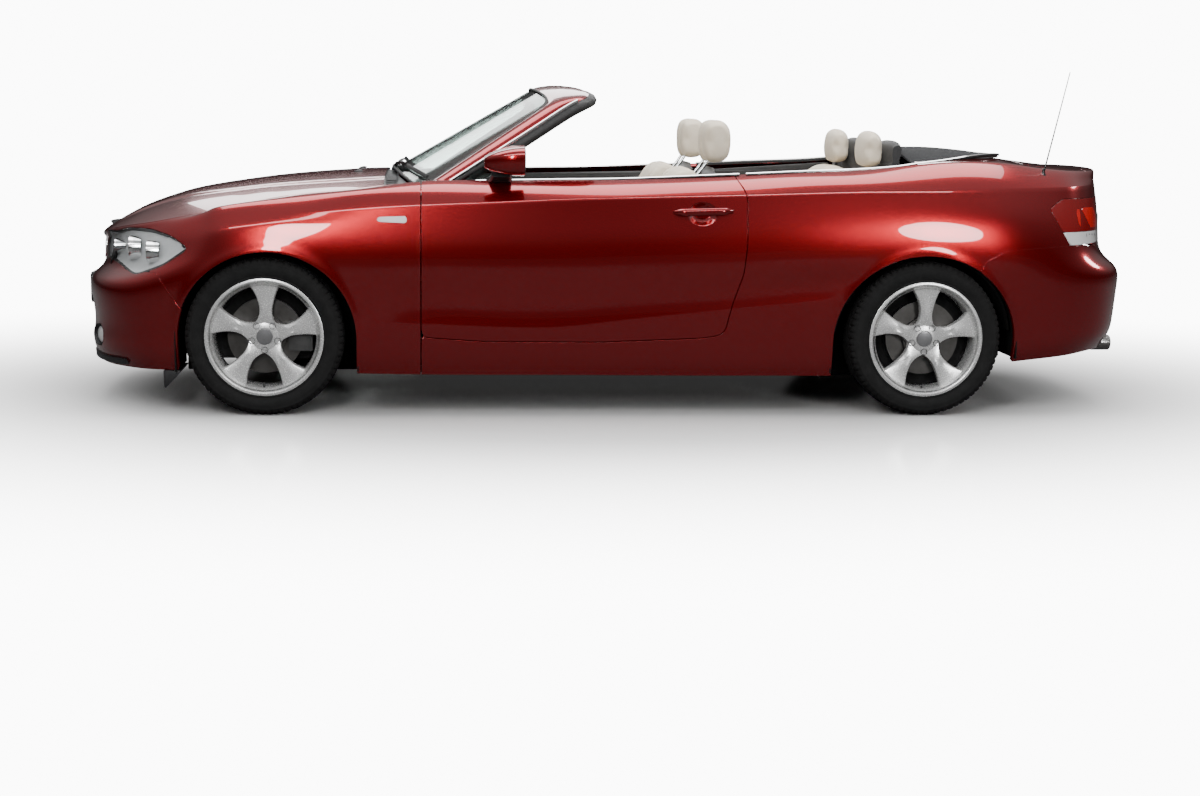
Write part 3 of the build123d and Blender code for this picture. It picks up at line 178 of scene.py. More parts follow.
def polygon_distance(points, a, b):
    """Signed distance from (a, b) to a closed polygon: positive inside."""
    p = np.asarray(points, float)
    q = np.roll(p, -1, axis=0)
    best = np.full(a.shape, 1e9)
    inside = np.zeros(a.shape, bool)
    for (x0, z0), (x1, z1) in zip(p, q):
        dx, dz = x1 - x0, z1 - z0
        t = np.clip(((a - x0) * dx + (b - z0) * dz) / (dx * dx + dz * dz + 1e-18), 0, 1)
        best = np.minimum(best, np.hypot(a - x0 - t * dx, b - z0 - t * dz))
        if z0 != z1:
            cross = ((z0 > b) != (z1 > b)) & (a < (x1 - x0) * (b - z0) / (z1 - z0) + x0)
            inside ^= cross
    return np.where(inside, best, -best)


def rounded(points, radius, arc=5):
    """A polygon with its corners rounded."""
    p = np.asarray(points, float)
    out = []
    for i in range(len(p)):
        a, b, c = p[i - 1], p[i], p[(i + 1) % len(p)]
        la, lc = np.linalg.norm(a - b), np.linalg.norm(c - b)
        cut = min(radius, 0.45 * la, 0.45 * lc)
        s, e = b + (a - b) / la * cut, b + (c - b) / lc * cut
        for t in np.linspace(0, 1, arc):
            out.append((1 - t) ** 2 * s + 2 * t * (1 - t) * b + t * t * e)
    return np.array(out)


def clip(verts, normals, faces, field):
    """Keeps the part of a mesh where the field is positive, cutting faces along its zero line."""
    keep = field > 0
    state = keep[faces].sum(axis=1)
    width = faces.shape[1]
    out = [tuple(f) for f in faces[state == width]]
    new_v, new_n, cache = [], [], {}
    base = len(verts)

    def crossing(i, j):
        key = (min(i, j), max(i, j))
        if key not in cache:
            t = field[i] / (field[i] - field[j])
            cache[key] = base + len(new_v)
            new_v.append(verts[i] + t * (verts[j] - verts[i]))
            n = normals[i] + t * (normals[j] - normals[i])
            new_n.append(n / max(np.linalg.norm(n), 1e-12))
        return cache[key]

    for f in faces[(state > 0) & (state < width)]:
        loop = []
        for i, j in zip(f, np.roll(f, -1)):
            if keep[i]:
                loop.append(i)
            if keep[i] != keep[j]:
                loop.append(crossing(i, j))
        if len(loop) > 2:
            out.append(tuple(loop))
    v = np.vstack([verts, new_v]) if new_v else verts
    n = np.vstack([normals, new_n]) if new_n else normals
    used = np.unique([i for f in out for i in f])
    if not len(used):
        raise RuntimeError("a panel's outline leaves nothing of its surface")
    where = np.full(len(v), -1)
    where[used] = np.arange(len(used))
    return v[used], n[used], [tuple(where[i] for i in f) for f in out]


def panel_arrays(skins, region, gap=SHUT_GAP / 2):
    """Cuts a region out of skins; region(x, y, z, inboard) is a signed distance, and y is always positive."""
    V, N, F = [], [], []
    for skin in skins:
        v = skin.grid.reshape(-1, 3)
        f = region(v[:, 0], np.abs(v[:, 1]), v[:, 2], skin.inboard.reshape(-1)) - gap
        if (f > 0).any():
            v, n, faces = clip(v, skin.normal.reshape(-1, 3), skin.faces(), f)
            start = sum(len(a) for a in V)
            V.append(v)
            N.append(n)
            F += [tuple(i + start for i in face) for face in faces]
    return np.vstack(V), np.vstack(N), F


def border_edges(faces):
    """Directed edges that belong to one face only."""
    seen = {}
    for f in faces:
        for i, j in zip(f, f[1:] + f[:1]):
            seen[(i, j)] = True
    return [(i, j) for (i, j) in seen if (j, i) not in seen]


def folded(v, n, faces, depth=PANEL_EDGE, back=None, bevel=0.0012, edge=None):
    """Gives a cut sheet a bevelled, folded edge, whose far side `edge` may place, and closes its back if `back`
    maps its points to a back sheet."""
    weld = {}
    remap = np.arange(len(v))
    for i, key in enumerate(map(tuple, np.round(v, 6))):
        remap[i] = weld.setdefault(key, i)
    faces = [tuple(dict.fromkeys(remap[i] for i in f)) for f in faces]
    faces = [f for f in faces if len(f) > 2]
    edges = border_edges(faces)
    tangent = {}
    for i, j in edges:
        d = v[j] - v[i]
        t = np.cross(d, n[i])
        for k in (i, j):
            tangent[k] = tangent.get(k, np.zeros(3)) + t
    rim = list(tangent)
    side = np.array([tangent[k] / max(np.linalg.norm(tangent[k]), 1e-12) for k in rim])
    at = {k: m for m, k in enumerate(rim)}
    r0, rn = v[rim], n[rim]
    ring1 = r0 - bevel * rn + 0.6 * bevel * side
    place = back or edge or (lambda p, q: p - depth * q)
    ring2 = place(r0, rn) + 0.6 * bevel * side
    start1, start2 = len(v), len(v) + len(rim)
    mid = rn + side
    V = np.vstack([v, ring1, ring2])
    N = np.vstack([n, mid / np.linalg.norm(mid, axis=1, keepdims=True), side])
    F = list(faces)
    for i, j in edges:
        F.append((j, i, start1 + at[i], start1 + at[j]))
        F.append((start1 + at[j], start1 + at[i], start2 + at[i], start2 + at[j]))
    if back:
        offset = len(V)
        inner = back(v, n)
        V = np.vstack([V, inner])
        N = np.vstack([N, -n])
        F += [tuple(offset + i for i in reversed(f)) for f in faces]
        for i, j in edges:
            F.append((start2 + at[j], start2 + at[i], offset + i, offset + j))
    return V, N, F


def build(name, v, faces, normals=None, material=None, body="chassis", smooth=True):
    """A mesh object riding on a body."""
    mesh = bpy.data.meshes.new(name)
    used = np.unique([i for f in faces for i in f])
    where = np.full(len(v), -1)
    where[used] = np.arange(len(used))
    mesh.from_pydata([tuple(p) for p in np.asarray(v)[used]], [],
                     [tuple(int(where[i]) for i in f) for f in faces])
    mesh.validate()
    if smooth:
        mesh.polygons.foreach_set("use_smooth", [True] * len(mesh.polygons))
    if normals is not None and len(mesh.vertices) == len(used):
        mesh.normals_split_custom_set_from_vertices([tuple(p) for p in np.asarray(normals)[used]])
    obj = bpy.data.objects.new(name, mesh)
    bpy.context.scene.collection.objects.link(obj)
    if material:
        mesh.materials.append(material)
    if body:
        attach(obj, body)
    return obj


# ---------------------------------------------------------------- materials
def new_material(name):
    """A material with its node tree and main shader."""
    mat = bpy.data.materials.new(name)
    mat.use_nodes = True
    nt = mat.node_tree
    return mat, nt, nt.nodes["Principled BSDF"]


def link(nt, *pairs):
    """Links outputs to inputs."""
    for output, socket in pairs:
        nt.links.new(output, socket)


def set_inputs(shader, values):
    """Sets a node's own sockets, by name or number."""
    for socket, value in values.items():
        shader.inputs[socket].default_value = value


def noise(nt, scale, detail=4.0, rough=0.6):
    """Noise in the object's own coordinates."""
    coord = nt.nodes.new("ShaderNodeTexCoord")
    tex = nt.nodes.new("ShaderNodeTexNoise")
    set_inputs(tex, {"Scale": scale, "Detail": detail, "Roughness": rough})
    nt.links.new(coord.outputs["Object"], tex.inputs["Vector"])
    return tex


def ramp_of(nt, source, stops):
    """A colour ramp over a source, from (place, colour) stops."""
    ramp = nt.nodes.new("ShaderNodeValToRGB")
    ramp.color_ramp.elements.remove(ramp.color_ramp.elements[1])
    for i, (at, colour) in enumerate(stops):
        e = ramp.color_ramp.elements[0] if i == 0 else ramp.color_ramp.elements.new(at)
        e.position = at
        e.color = (*colour, 1) if len(colour) == 3 else colour
    nt.links.new(source, ramp.inputs[0])
    return ramp


def bump_of(nt, height, strength, distance, bsdf):
    """A fine relief on a shader's normal."""
    bump = nt.nodes.new("ShaderNodeBump")
    set_inputs(bump, {"Strength": strength, "Distance": distance})
    link(nt, (height, bump.inputs["Height"]), (bump.outputs[0], bsdf.inputs["Normal"]))
    return bump


def car_paint():
    """Deep red metallic under a clear coat."""
    mat, nt, bsdf = new_material("red_metallic_paint")
    flake = noise(nt, 2600, 1.0)
    ramp = ramp_of(nt, flake.outputs["Fac"], [(0.30, (0.17, 0.0004, 0.002)), (0.70, (0.30, 0.0009, 0.0045))])
    nt.links.new(ramp.outputs[0], bsdf.inputs["Base Color"])
    set_inputs(bsdf, {"Metallic": 0.80, "Roughness": 0.22, "Coat Weight": 1.0, "Coat Roughness": 0.015,
                      "Coat IOR": 1.5})
    return mat


def plain(name, low, high, rough, scale=60.0, metallic=0.0, bump=0.0, bump_scale=None, coat=0.0, spread=0.08,
          distance=0.0004, detail=5.0, sheen=0.0, specular=0.5):
    """A surface whose colour wanders between two shades, with a fine grain and uneven roughness."""
    mat, nt, bsdf = new_material(name)
    tone = noise(nt, scale, detail)
    ramp = ramp_of(nt, tone.outputs["Fac"], [(0.30, low), (0.70, high)])
    nt.links.new(ramp.outputs[0], bsdf.inputs["Base Color"])
    span = nt.nodes.new("ShaderNodeMapRange")
    set_inputs(span, {3: rough - spread / 2, 4: rough + spread / 2})
    link(nt, (tone.outputs["Fac"], span.inputs[0]), (span.outputs[0], bsdf.inputs["Roughness"]))
    set_inputs(bsdf, {"Metallic": metallic, "Specular IOR Level": specular})
    if coat:
        bsdf.inputs["Coat Weight"].default_value = coat
    if sheen:
        bsdf.inputs["Sheen Weight"].default_value = sheen
    if bump:
        grain = noise(nt, bump_scale or scale * 6, 3.0)
        bump_of(nt, grain.outputs["Fac"], bump, distance, bsdf)
    return mat


def leather(name, low, high):
    """Pebbled leather: cells of grain, faint creases and a soft sheen."""
    mat, nt, bsdf = new_material(name)
    coord = nt.nodes.new("ShaderNodeTexCoord")
    cells = nt.nodes.new("ShaderNodeTexVoronoi")
    cells.feature = "DISTANCE_TO_EDGE"
    cells.inputs["Scale"].default_value = 620
    nt.links.new(coord.outputs["Object"], cells.inputs["Vector"])
    tone = noise(nt, 14, 6.0)
    ramp = ramp_of(nt, tone.outputs["Fac"], [(0.28, low), (0.72, high)])
    nt.links.new(ramp.outputs[0], bsdf.inputs["Base Color"])
    set_inputs(bsdf, {"Roughness": 0.52, "Sheen Weight": 0.12})
    mix = nt.nodes.new("ShaderNodeMath")
    mix.operation = "MULTIPLY_ADD"
    crease = noise(nt, 55, 6.0, 0.7)
    mix.inputs[1].default_value = 0.35
    link(nt, (crease.outputs["Fac"], mix.inputs[0]), (cells.outputs["Distance"], mix.inputs[2]))
    bump_of(nt, mix.outputs[0], 0.28, 0.0006, bsdf)
    return mat


def weave(name, low, high, pitch, sheen=0.25, specular=0.5):
    """Woven or flocked cloth in two directions."""
    mat, nt, bsdf = new_material(name)
    coord = nt.nodes.new("ShaderNodeTexCoord")
    waves = []
    for direction in ("X", "Y"):
        w = nt.nodes.new("ShaderNodeTexWave")
        w.bands_direction = direction
        set_inputs(w, {"Scale": 1 / pitch, "Distortion": 0.8})
        nt.links.new(coord.outputs["Object"], w.inputs["Vector"])
        waves.append(w)
    m = nt.nodes.new("ShaderNodeMath")
    m.operation = "MULTIPLY"
    link(nt, (waves[0].outputs["Fac"], m.inputs[0]), (waves[1].outputs["Fac"], m.inputs[1]))
    ramp = ramp_of(nt, m.outputs[0], [(0.0, low), (0.8, high)])
    nt.links.new(ramp.outputs[0], bsdf.inputs["Base Color"])
    set_inputs(bsdf, {"Roughness": 0.88, "Sheen Weight": sheen, "Specular IOR Level": specular})
    bump_of(nt, m.outputs[0], 0.5, 0.0006, bsdf)
    return mat


def glass(name, colour, rough=0.0):
    """Thin glass: it lets light straight through, tinted, and keeps a sharp reflection."""
    mat, nt, bsdf = new_material(name)
    nt.nodes.remove(bsdf)
    out = nt.nodes["Material Output"]
    clear = nt.nodes.new("ShaderNodeBsdfTransparent")
    gloss = nt.nodes.new("ShaderNodeBsdfGlossy")
    fres = nt.nodes.new("ShaderNodeFresnel")
    smear = noise(nt, 9, 3)
    ramp = ramp_of(nt, smear.outputs["Fac"], [(0.3, (rough, rough, rough)), (0.8, (rough + 0.02,) * 3)])
    mix = nt.nodes.new("ShaderNodeMixShader")
    clear.inputs[0].default_value = (*colour, 1)
    # the same index from both sides, so that a ray leaving the thin sheet isn't turned back
    side = nt.nodes.new("ShaderNodeNewGeometry")
    index = nt.nodes.new("ShaderNodeMath")
    index.operation = "MULTIPLY_ADD"
    set_inputs(index, {1: 1 / GLASS_INDEX - GLASS_INDEX, 2: GLASS_INDEX})
    link(nt, (side.outputs["Backfacing"], index.inputs[0]), (index.outputs[0], fres.inputs[0]),
         (ramp.outputs[0], gloss.inputs["Roughness"]), (fres.outputs[0], mix.inputs[0]),
         (clear.outputs[0], mix.inputs[1]), (gloss.outputs[0], mix.inputs[2]), (mix.outputs[0], out.inputs[0]))
    return mat


def ribbed_lens(name, colour, pitch, alpha):
    """A moulded lamp lens: coloured plastic with fine flutes behind a glossy face."""
    mat, nt, bsdf = new_material(name)
    coord = nt.nodes.new("ShaderNodeTexCoord")
    w = nt.nodes.new("ShaderNodeTexWave")
    w.bands_direction = "X"
    w.inputs["Scale"].default_value = 1 / pitch
    nt.links.new(coord.outputs["Object"], w.inputs["Vector"])
    dark = tuple(c * 0.72 for c in colour)
    ramp = ramp_of(nt, w.outputs["Fac"], [(0.2, dark), (0.8, colour)])
    nt.links.new(ramp.outputs[0], bsdf.inputs["Base Color"])
    set_inputs(bsdf, {"Roughness": 0.08, "Coat Weight": 1.0, "Alpha": alpha})
    bump_of(nt, w.outputs["Fac"], 0.25, 0.0006, bsdf)
    return mat


def brushed(name, low, high, rough, metallic=1.0):
    """Metal with an uneven, faintly brushed gloss."""
    mat, nt, bsdf = new_material(name)
    tone = noise(nt, 240, 3.0)
    wide = noise(nt, 12, 4.0)
    ramp = ramp_of(nt, wide.outputs["Fac"], [(0.3, low), (0.7, high)])
    nt.links.new(ramp.outputs[0], bsdf.inputs["Base Color"])
    bsdf.inputs["Metallic"].default_value = metallic
    span = nt.nodes.new("ShaderNodeMapRange")
    set_inputs(span, {3: rough - 0.02, 4: rough + 0.02})
    link(nt, (tone.outputs["Fac"], span.inputs[0]), (span.outputs[0], bsdf.inputs["Roughness"]))
    return mat


PAINT = car_paint()
ALLOY = brushed("wheel_silver", (0.70, 0.70, 0.70), (0.80, 0.80, 0.79), 0.27, 0.62)
CHROME = brushed("bright_trim", (0.78, 0.78, 0.78), (0.86, 0.86, 0.86), 0.12)
# brake discs: the iron's own dark grey, darkened further with painted shade of the wheel's inside
SHADED_BRAKE_DISC = brushed("brake_iron_and_painted_shade", (0.055, 0.053, 0.050), (0.090, 0.087, 0.084), 0.46)
EXHAUST = brushed("exhaust_steel", (0.10, 0.098, 0.095), (0.17, 0.165, 0.16), 0.42)
TIP_STEEL = brushed("exhaust_tip_steel", (0.22, 0.215, 0.21), (0.32, 0.315, 0.31), 0.24)
DARK_METAL = brushed("dark_metal", (0.05, 0.05, 0.05), (0.09, 0.09, 0.09), 0.45, 0.8)
LAMP_EYE = brushed("lamp_eye", (0.020, 0.021, 0.023), (0.045, 0.046, 0.050), 0.07, 0.6)
LAMP_BOWL = brushed("lamp_bowl", (0.78, 0.78, 0.79), (0.90, 0.90, 0.91), 0.30, 0.12)
REFLECTOR = brushed("lamp_reflector", (0.80, 0.80, 0.81), (0.92, 0.92, 0.93), 0.10)
CAP_GREY = plain("cap_grey", (0.16, 0.16, 0.165), (0.20, 0.20, 0.205), 0.34, 30, 0.5, coat=0.5)
TYRE = plain("tyre_rubber", (0.005, 0.005, 0.005), (0.011, 0.011, 0.011), 0.82, 25, 0, 0.20, 420, specular=0.25)
RUBBER = plain("black_rubber", (0.008, 0.008, 0.008), (0.016, 0.016, 0.016), 0.58, 40, 0, 0.15, 500)
BLACK = plain("black_plastic", (0.010, 0.010, 0.011), (0.019, 0.019, 0.020), 0.46, 50, 0, 0.30, 900)
GLOSS_BLACK = plain("gloss_black", (0.008, 0.008, 0.009), (0.012, 0.012, 0.013), 0.12, 30, coat=0.6,
                    spread=0.03)
LINER = plain("wheel_liner_felt", (0.004, 0.004, 0.004), (0.009, 0.009, 0.009), 0.92, 60, 0, 0.5, 300,
              specular=0.2)
UNDERBODY = plain("underbody_coating", (0.016, 0.016, 0.017), (0.034, 0.033, 0.032), 0.70, 18, 0, 0.4, 140,
                  distance=0.001)
ENGINE = plain("engine_castings", (0.10, 0.10, 0.10), (0.20, 0.20, 0.195), 0.50, 20, 0.6, 0.5, 120,
               distance=0.001)
SOFT_BLACK = plain("soft_touch_black", (0.013, 0.013, 0.014), (0.022, 0.022, 0.023), 0.62, 70, 0, 0.45, 700,
                   sheen=0.1)
CARPET = weave("black_carpet", (0.006, 0.006, 0.006), (0.030, 0.030, 0.031), 0.0045)
TONNEAU_CLOTH = weave("tonneau_vinyl", (0.008, 0.0085, 0.0095), (0.018, 0.0185, 0.0205), 0.0030, 0.04, 0.25)
CREAM = leather("cream_leather", (0.70, 0.60, 0.46), (0.80, 0.71, 0.57))
BLACK_LEATHER = leather("black_leather", (0.014, 0.014, 0.014), (0.028, 0.027, 0.026))
STITCH = plain("stitch_thread", (0.52, 0.47, 0.38), (0.66, 0.60, 0.50), 0.8, 300)
SCREEN = glass("windscreen_tint", (0.80, 0.86, 0.84))
CLEAR = glass("clear_cover", (0.96, 0.97, 0.97))
MIRROR_GLASS = brushed("mirror_glass", (0.75, 0.77, 0.78), (0.80, 0.82, 0.83), 0.06)
RED_LENS = ribbed_lens("red_lens", (0.20, 0.0015, 0.002), 0.014, 1.0)
BRIGHT_LENS = ribbed_lens("bright_red_lens", (0.62, 0.010, 0.006), 0.010, 1.0)
CLEAR_LENS = ribbed_lens("pale_lens", (0.80, 0.80, 0.80), 0.010, 1.0)
AMBER = ribbed_lens("amber_lens", (0.90, 0.42, 0.12), 0.008, 1.0)
PLATE = plain("blank_plate", (0.74, 0.74, 0.73), (0.80, 0.80, 0.79), 0.35, 20)


# ---------------------------------------------------------------- the painted skin
MM = 0.001
LEVELS = 10
# Each row is one station round the left half, from the middle of the nose to the middle of the tail, and
# each triple is a point on one level, from the bottom edge up to the edge of the bonnet, belt or deck. A
# row along the flank has one x for all its levels. The top level's height is left to the top surface.
NOSE_ROWS = [
    [(2150, 0, 168), (2174, 0, 235), (2162, 0, 335), (2174, 0, 440), (2172, 0, 515), (2142, 0, 560),
     (2136, 0, 620), (2137, 0, 655), (2141, 0, 672), (2147, 0)],
    [(2149, 158, 168), (2173, 160, 235), (2162, 160, 335), (2174, 160, 440), (2171, 160, 515), (2137, 160, 560),
     (2130, 160, 620), (2130, 160, 656), (2133, 160, 674), (2139, 160)],
    [(2137, 315, 168), (2162, 322, 235), (2156, 325, 335), (2166, 325, 440), (2162, 325, 516), (2117, 325, 562),
     (2104, 324, 622), (2101, 323, 660), (2101, 322, 680), (2105, 320)],
    [(2103, 450, 170), (2130, 468, 235), (2128, 472, 335), (2138, 475, 440), (2131, 474, 518), (2077, 470, 564),
     (2060, 467, 625), (2053, 464, 668), (2048, 461, 692), (2043, 458)],
    [(2050, 568, 172), (2080, 590, 236), (2083, 597, 337), (2095, 600, 440), (2086, 598, 520), (2025, 588, 566),
     (2003, 580, 630), (1991, 573, 680), (1983, 567, 708), (1974, 560)],
    [(1980, 662, 174), (2008, 688, 238), (2017, 697, 340), (2032, 702, 440), (2021, 698, 522), (1956, 684, 570),
     (1932, 673, 640), (1917, 661, 700), (1908, 651, 726), (1899, 641)],
    [(1905, 738, 176), (1925, 760, 240), (1937, 770, 345), (1951, 776, 440), (1940, 772, 528), (1882, 756, 580),
     (1854, 741, 652), (1835, 724, 718), (1826, 710, 746), (1817, 694)],
    [(1830, 782, 178), (1845, 803, 243), (1855, 812, 350), (1866, 817, 445), (1858, 815, 540), (1802, 804, 600),
     (1772, 790, 670), (1752, 768, 738), (1743, 747, 768), (1734, 722)],
    [(1745, 806, 180), (1750, 826, 246), (1755, 836, 352), (1760, 841, 450), (1752, 842, 555), (1712, 834, 624),
     (1684, 820, 694), (1664, 794, 762), (1655, 766, 798), (1648, 734)],
]
FLANK_ROWS = [
    (1600, [(822, 180), (842, 246), (852, 352), (858, 455), (861, 568), (856, 645), (843, 717), (815, 779),
            (780, 822), (741,)]),
    (1412, [(826, 178), (848, 246), (858, 358), (864, 466), (869, 588), (867, 668), (855, 742), (829, 800),
            (790, 849), (748,)]),
    (1240, [(828, 174), (848, 244), (860, 364), (865, 472), (869, 586), (867, 668), (856, 746), (833, 811),
            (793, 864), (752,)]),
    (1060, [(828, 170), (847, 242), (861, 368), (864, 476), (868, 580), (866, 666), (855, 752), (837, 822),
            (797, 884), (755,)]),
    (800, [(828, 166), (846, 240), (862, 366), (860, 474), (867, 580), (865, 672), (854, 758), (840, 838),
           (799, 899), (748, 930)]),
    (500, [(828, 165), (845, 238), (862, 355), (859, 466), (867, 578), (865, 674), (854, 764), (841, 853),
           (799, 906), (743, 936)]),
    (250, [(828, 165), (845, 238), (862, 356), (859, 467), (867, 580), (865, 678), (854, 772), (842, 867),
           (799, 912), (742, 941)]),
    (0, [(828, 164), (845, 238), (862, 384), (860, 484), (867, 590), (865, 688), (854, 782), (842, 876),
         (798, 919), (742, 948)]),
    (-250, [(828, 163), (845, 238), (862, 411), (861, 504), (868, 602), (866, 697), (855, 790), (842, 884),
            (797, 929), (741, 958)]),
    (-500, [(828, 163), (845, 238), (862, 438), (862, 524), (868, 614), (866, 706), (856, 798), (841, 892),
            (796, 939), (740, 970)]),
    (-750, [(828, 163), (846, 238), (864, 464), (864, 543), (870, 628), (868, 717), (857, 806), (840, 901),
            (796, 951), (739, 983)]),
    (-980, [(828, 164), (847, 240), (866, 488), (868, 562), (872, 644), (869, 729), (858, 814), (839, 909),
            (794, 961), (737, 993)]),
    (-1236, [(828, 180), (848, 250), (867, 500), (870, 577), (873, 658), (870, 738), (858, 821), (836, 914),
             (789, 975), (732, 1018)]),
    (-1440, [(822, 202), (844, 263), (863, 490), (867, 570), (870, 652), (866, 733), (853, 818), (826, 919),
             (778, 984), (720, 1030)]),
    (-1600, [(810, 218), (833, 277), (852, 468), (858, 556), (862, 640), (857, 724), (842, 813), (808, 924),
             (762, 981), (705,)]),
]
TAIL_ROWS = [
    [(-1740, 788, 230), (-1741, 813, 287), (-1742, 832, 418), (-1743, 842, 532), (-1740, 843, 615),
     (-1736, 837, 700), (-1733, 821, 795), (-1728, 783, 928), (-1724, 742, 972), (-1720, 692)],
    [(-1860, 757, 241), (-1866, 785, 297), (-1871, 805, 405), (-1873, 815, 520), (-1866, 814, 602),
     (-1850, 803, 678), (-1841, 786, 780), (-1828, 750, 931), (-1820, 715, 967), (-1812, 674)],
    [(-1953, 697, 250), (-1967, 731, 301), (-1975, 755, 398), (-1978, 766, 514), (-1970, 763, 598),
     (-1932, 745, 664), (-1917, 727, 770), (-1901, 694, 933), (-1892, 667, 964), (-1883, 635)],
    [(-2025, 612, 250), (-2044, 650, 302), (-2056, 676, 394), (-2060, 687, 510), (-2051, 683, 596),
     (-1999, 662, 657), (-1983, 646, 764), (-1963, 616, 934), (-1957, 596, 963), (-1950, 569)],
    [(-2079, 508, 245), (-2099, 545, 300), (-2113, 569, 390), (-2119, 581, 508), (-2109, 577, 594),
     (-2049, 560, 653), (-2032, 547, 762), (-2015, 526, 935), (-2012, 512, 965), (-2009, 492)],
    [(-2111, 393, 235), (-2131, 420, 297), (-2147, 436, 388), (-2155, 443, 508), (-2145, 441, 592),
     (-2094, 432, 651), (-2075, 426, 762), (-2056, 412, 935), (-2056, 402, 967), (-2058, 385)],
    [(-2127, 267, 228), (-2148, 285, 295), (-2163, 296, 386), (-2170, 300, 508), (-2161, 300, 591),
     (-2118, 297, 650), (-2098, 293, 762), (-2080, 283, 936), (-2081, 276, 969), (-2086, 264)],
    [(-2134, 135, 222), (-2154, 145, 294), (-2170, 149, 385), (-2174, 150, 508), (-2168, 150, 590),
     (-2131, 149, 649), (-2112, 148, 762), (-2095, 143, 936), (-2097, 139, 970), (-2103, 132)],
    [(-2137, 0, 220), (-2157, 0, 293), (-2172, 0, 385), (-2176, 0, 508), (-2170, 0, 590),
     (-2136, 0, 649), (-2117, 0, 762), (-2100, 0, 936), (-2102, 0, 970), (-2109, 0)],
]
CREASES = (2, 7)             # the levels of the swage line and of the shoulder line
HALF_LENGTH = 2.1795

bonnet_centre = smooth_table(
    [2.150, 2.125, 2.085, 2.039, 1.932, 1.761, 1.589, 1.418, 1.246, 1.138, 1.000, 0.800],
    [0.682, 0.712, 0.739, 0.764, 0.812, 0.866, 0.897, 0.921, 0.938, 0.946, 0.954, 0.958])
bonnet_drop = smooth_table([2.15, 2.09, 2.04, 1.905, 1.80, 1.557, 1.408, 1.20, 0.954, 0.80],
                           [0.135, 0.122, 0.105, 0.090, 0.086, 0.071, 0.056, 0.045, 0.038, 0.036])
deck_centre = smooth_table([-1.20, -1.30, -1.44, -1.56, -1.652, -1.75, -1.90, -2.00, -2.06, -2.11],
                           [1.064, 1.072, 1.070, 1.056, 1.040, 1.027, 1.010, 1.001, 0.998, 0.9985])
deck_drop = smooth_table([-1.20, -1.44, -1.60, -1.75, -1.97, -2.11], [0.050, 0.042, 0.026, 0.024, 0.020, 0.016])


def bonnet_height(x, y):
    """The bonnet and the tops of the fenders: a crown with a raised middle between two soft creases."""
    a = np.abs(y)
    crease = 0.300 + 0.235 * smoothstep(2.08, 1.05, x)
    raised = 0.0065 * smoothstep(2.11, 1.96, x) * (1 - smoothstep(-0.020, 0.020, a - crease))
    return bonnet_centre(x) - bonnet_drop(x) * (a / 0.72) ** 2.3 + raised - 0.0065


def deck_height(x, y):
    """The rear deck and the top of the boot lid."""
    return deck_centre(x) - deck_drop(x) * (np.abs(y) / 0.70) ** 2.6


def second_derivatives(knots, values):
    """Natural cubic spline through the values, which may be points."""
    n = len(knots)
    h = np.diff(knots)
    a = np.zeros((n, n))
    b = np.zeros((n,) + values.shape[1:])
    a[0, 0] = a[-1, -1] = 1
    for i in range(1, n - 1):
        a[i, i - 1:i + 2] = h[i - 1], 2 * (h[i - 1] + h[i]), h[i]
        b[i] = 6 * ((values[i + 1] - values[i]) / h[i] - (values[i] - values[i - 1]) / h[i - 1])
    return np.linalg.solve(a, b.reshape(n, -1)).reshape(b.shape)


def spline(knots, values, at):
    """A natural cubic spline's values at some places."""
    knots, values = np.asarray(knots, float), np.asarray(values, float)
    m = second_derivatives(knots, values)
    i = np.clip(np.searchsorted(knots, at) - 1, 0, len(knots) - 2)
    h = (knots[i + 1] - knots[i])
    shape = (-1,) + (1,) * (values.ndim - 1)
    t, h = ((at - knots[i]) / h).reshape(shape), h.reshape(shape)
    s = 1 - t
    return s * values[i] + t * values[i + 1] + h * h / 6 * ((s**3 - s) * m[i] + (t**3 - t) * m[i + 1])


def arch_flare(x, z):
    """How far the lips of the wheel arches stand out."""
    out = 0
    for (cx, cz, r), amount in ((FRONT_ARCH, 0.0045), (REAR_ARCH, 0.0035)):
        d = np.hypot(x - cx, z - cz) - r
        out = out + amount * np.exp(-(np.maximum(d, 0) / 0.022) ** 2) * smoothstep(0.12, 0.20, z)
    return out


def wrap_controls():
    """The rows of the tables in metres, each with the height of its top level."""
    rows = []
    for row in NOSE_ROWS:
        x, y = row[9]
        rows.append(row[:9] + [(x, y, 1000 * bonnet_height(x * MM, y * MM))])
    for x, row in FLANK_ROWS:
        y, *z = row[9]
        top = z[0] if z else 1000 * (bonnet_height if x > 0 else deck_height)(x * MM, y * MM)
        rows.append([(x, p[0], p[1]) for p in row[:9]] + [(x, y, top)])
    for row in TAIL_ROWS:
        x, y = row[9]
        rows.append(row[:9] + [(x, y, 1000 * deck_height(x * MM, y * MM))])
    return np.array(rows, float) * MM


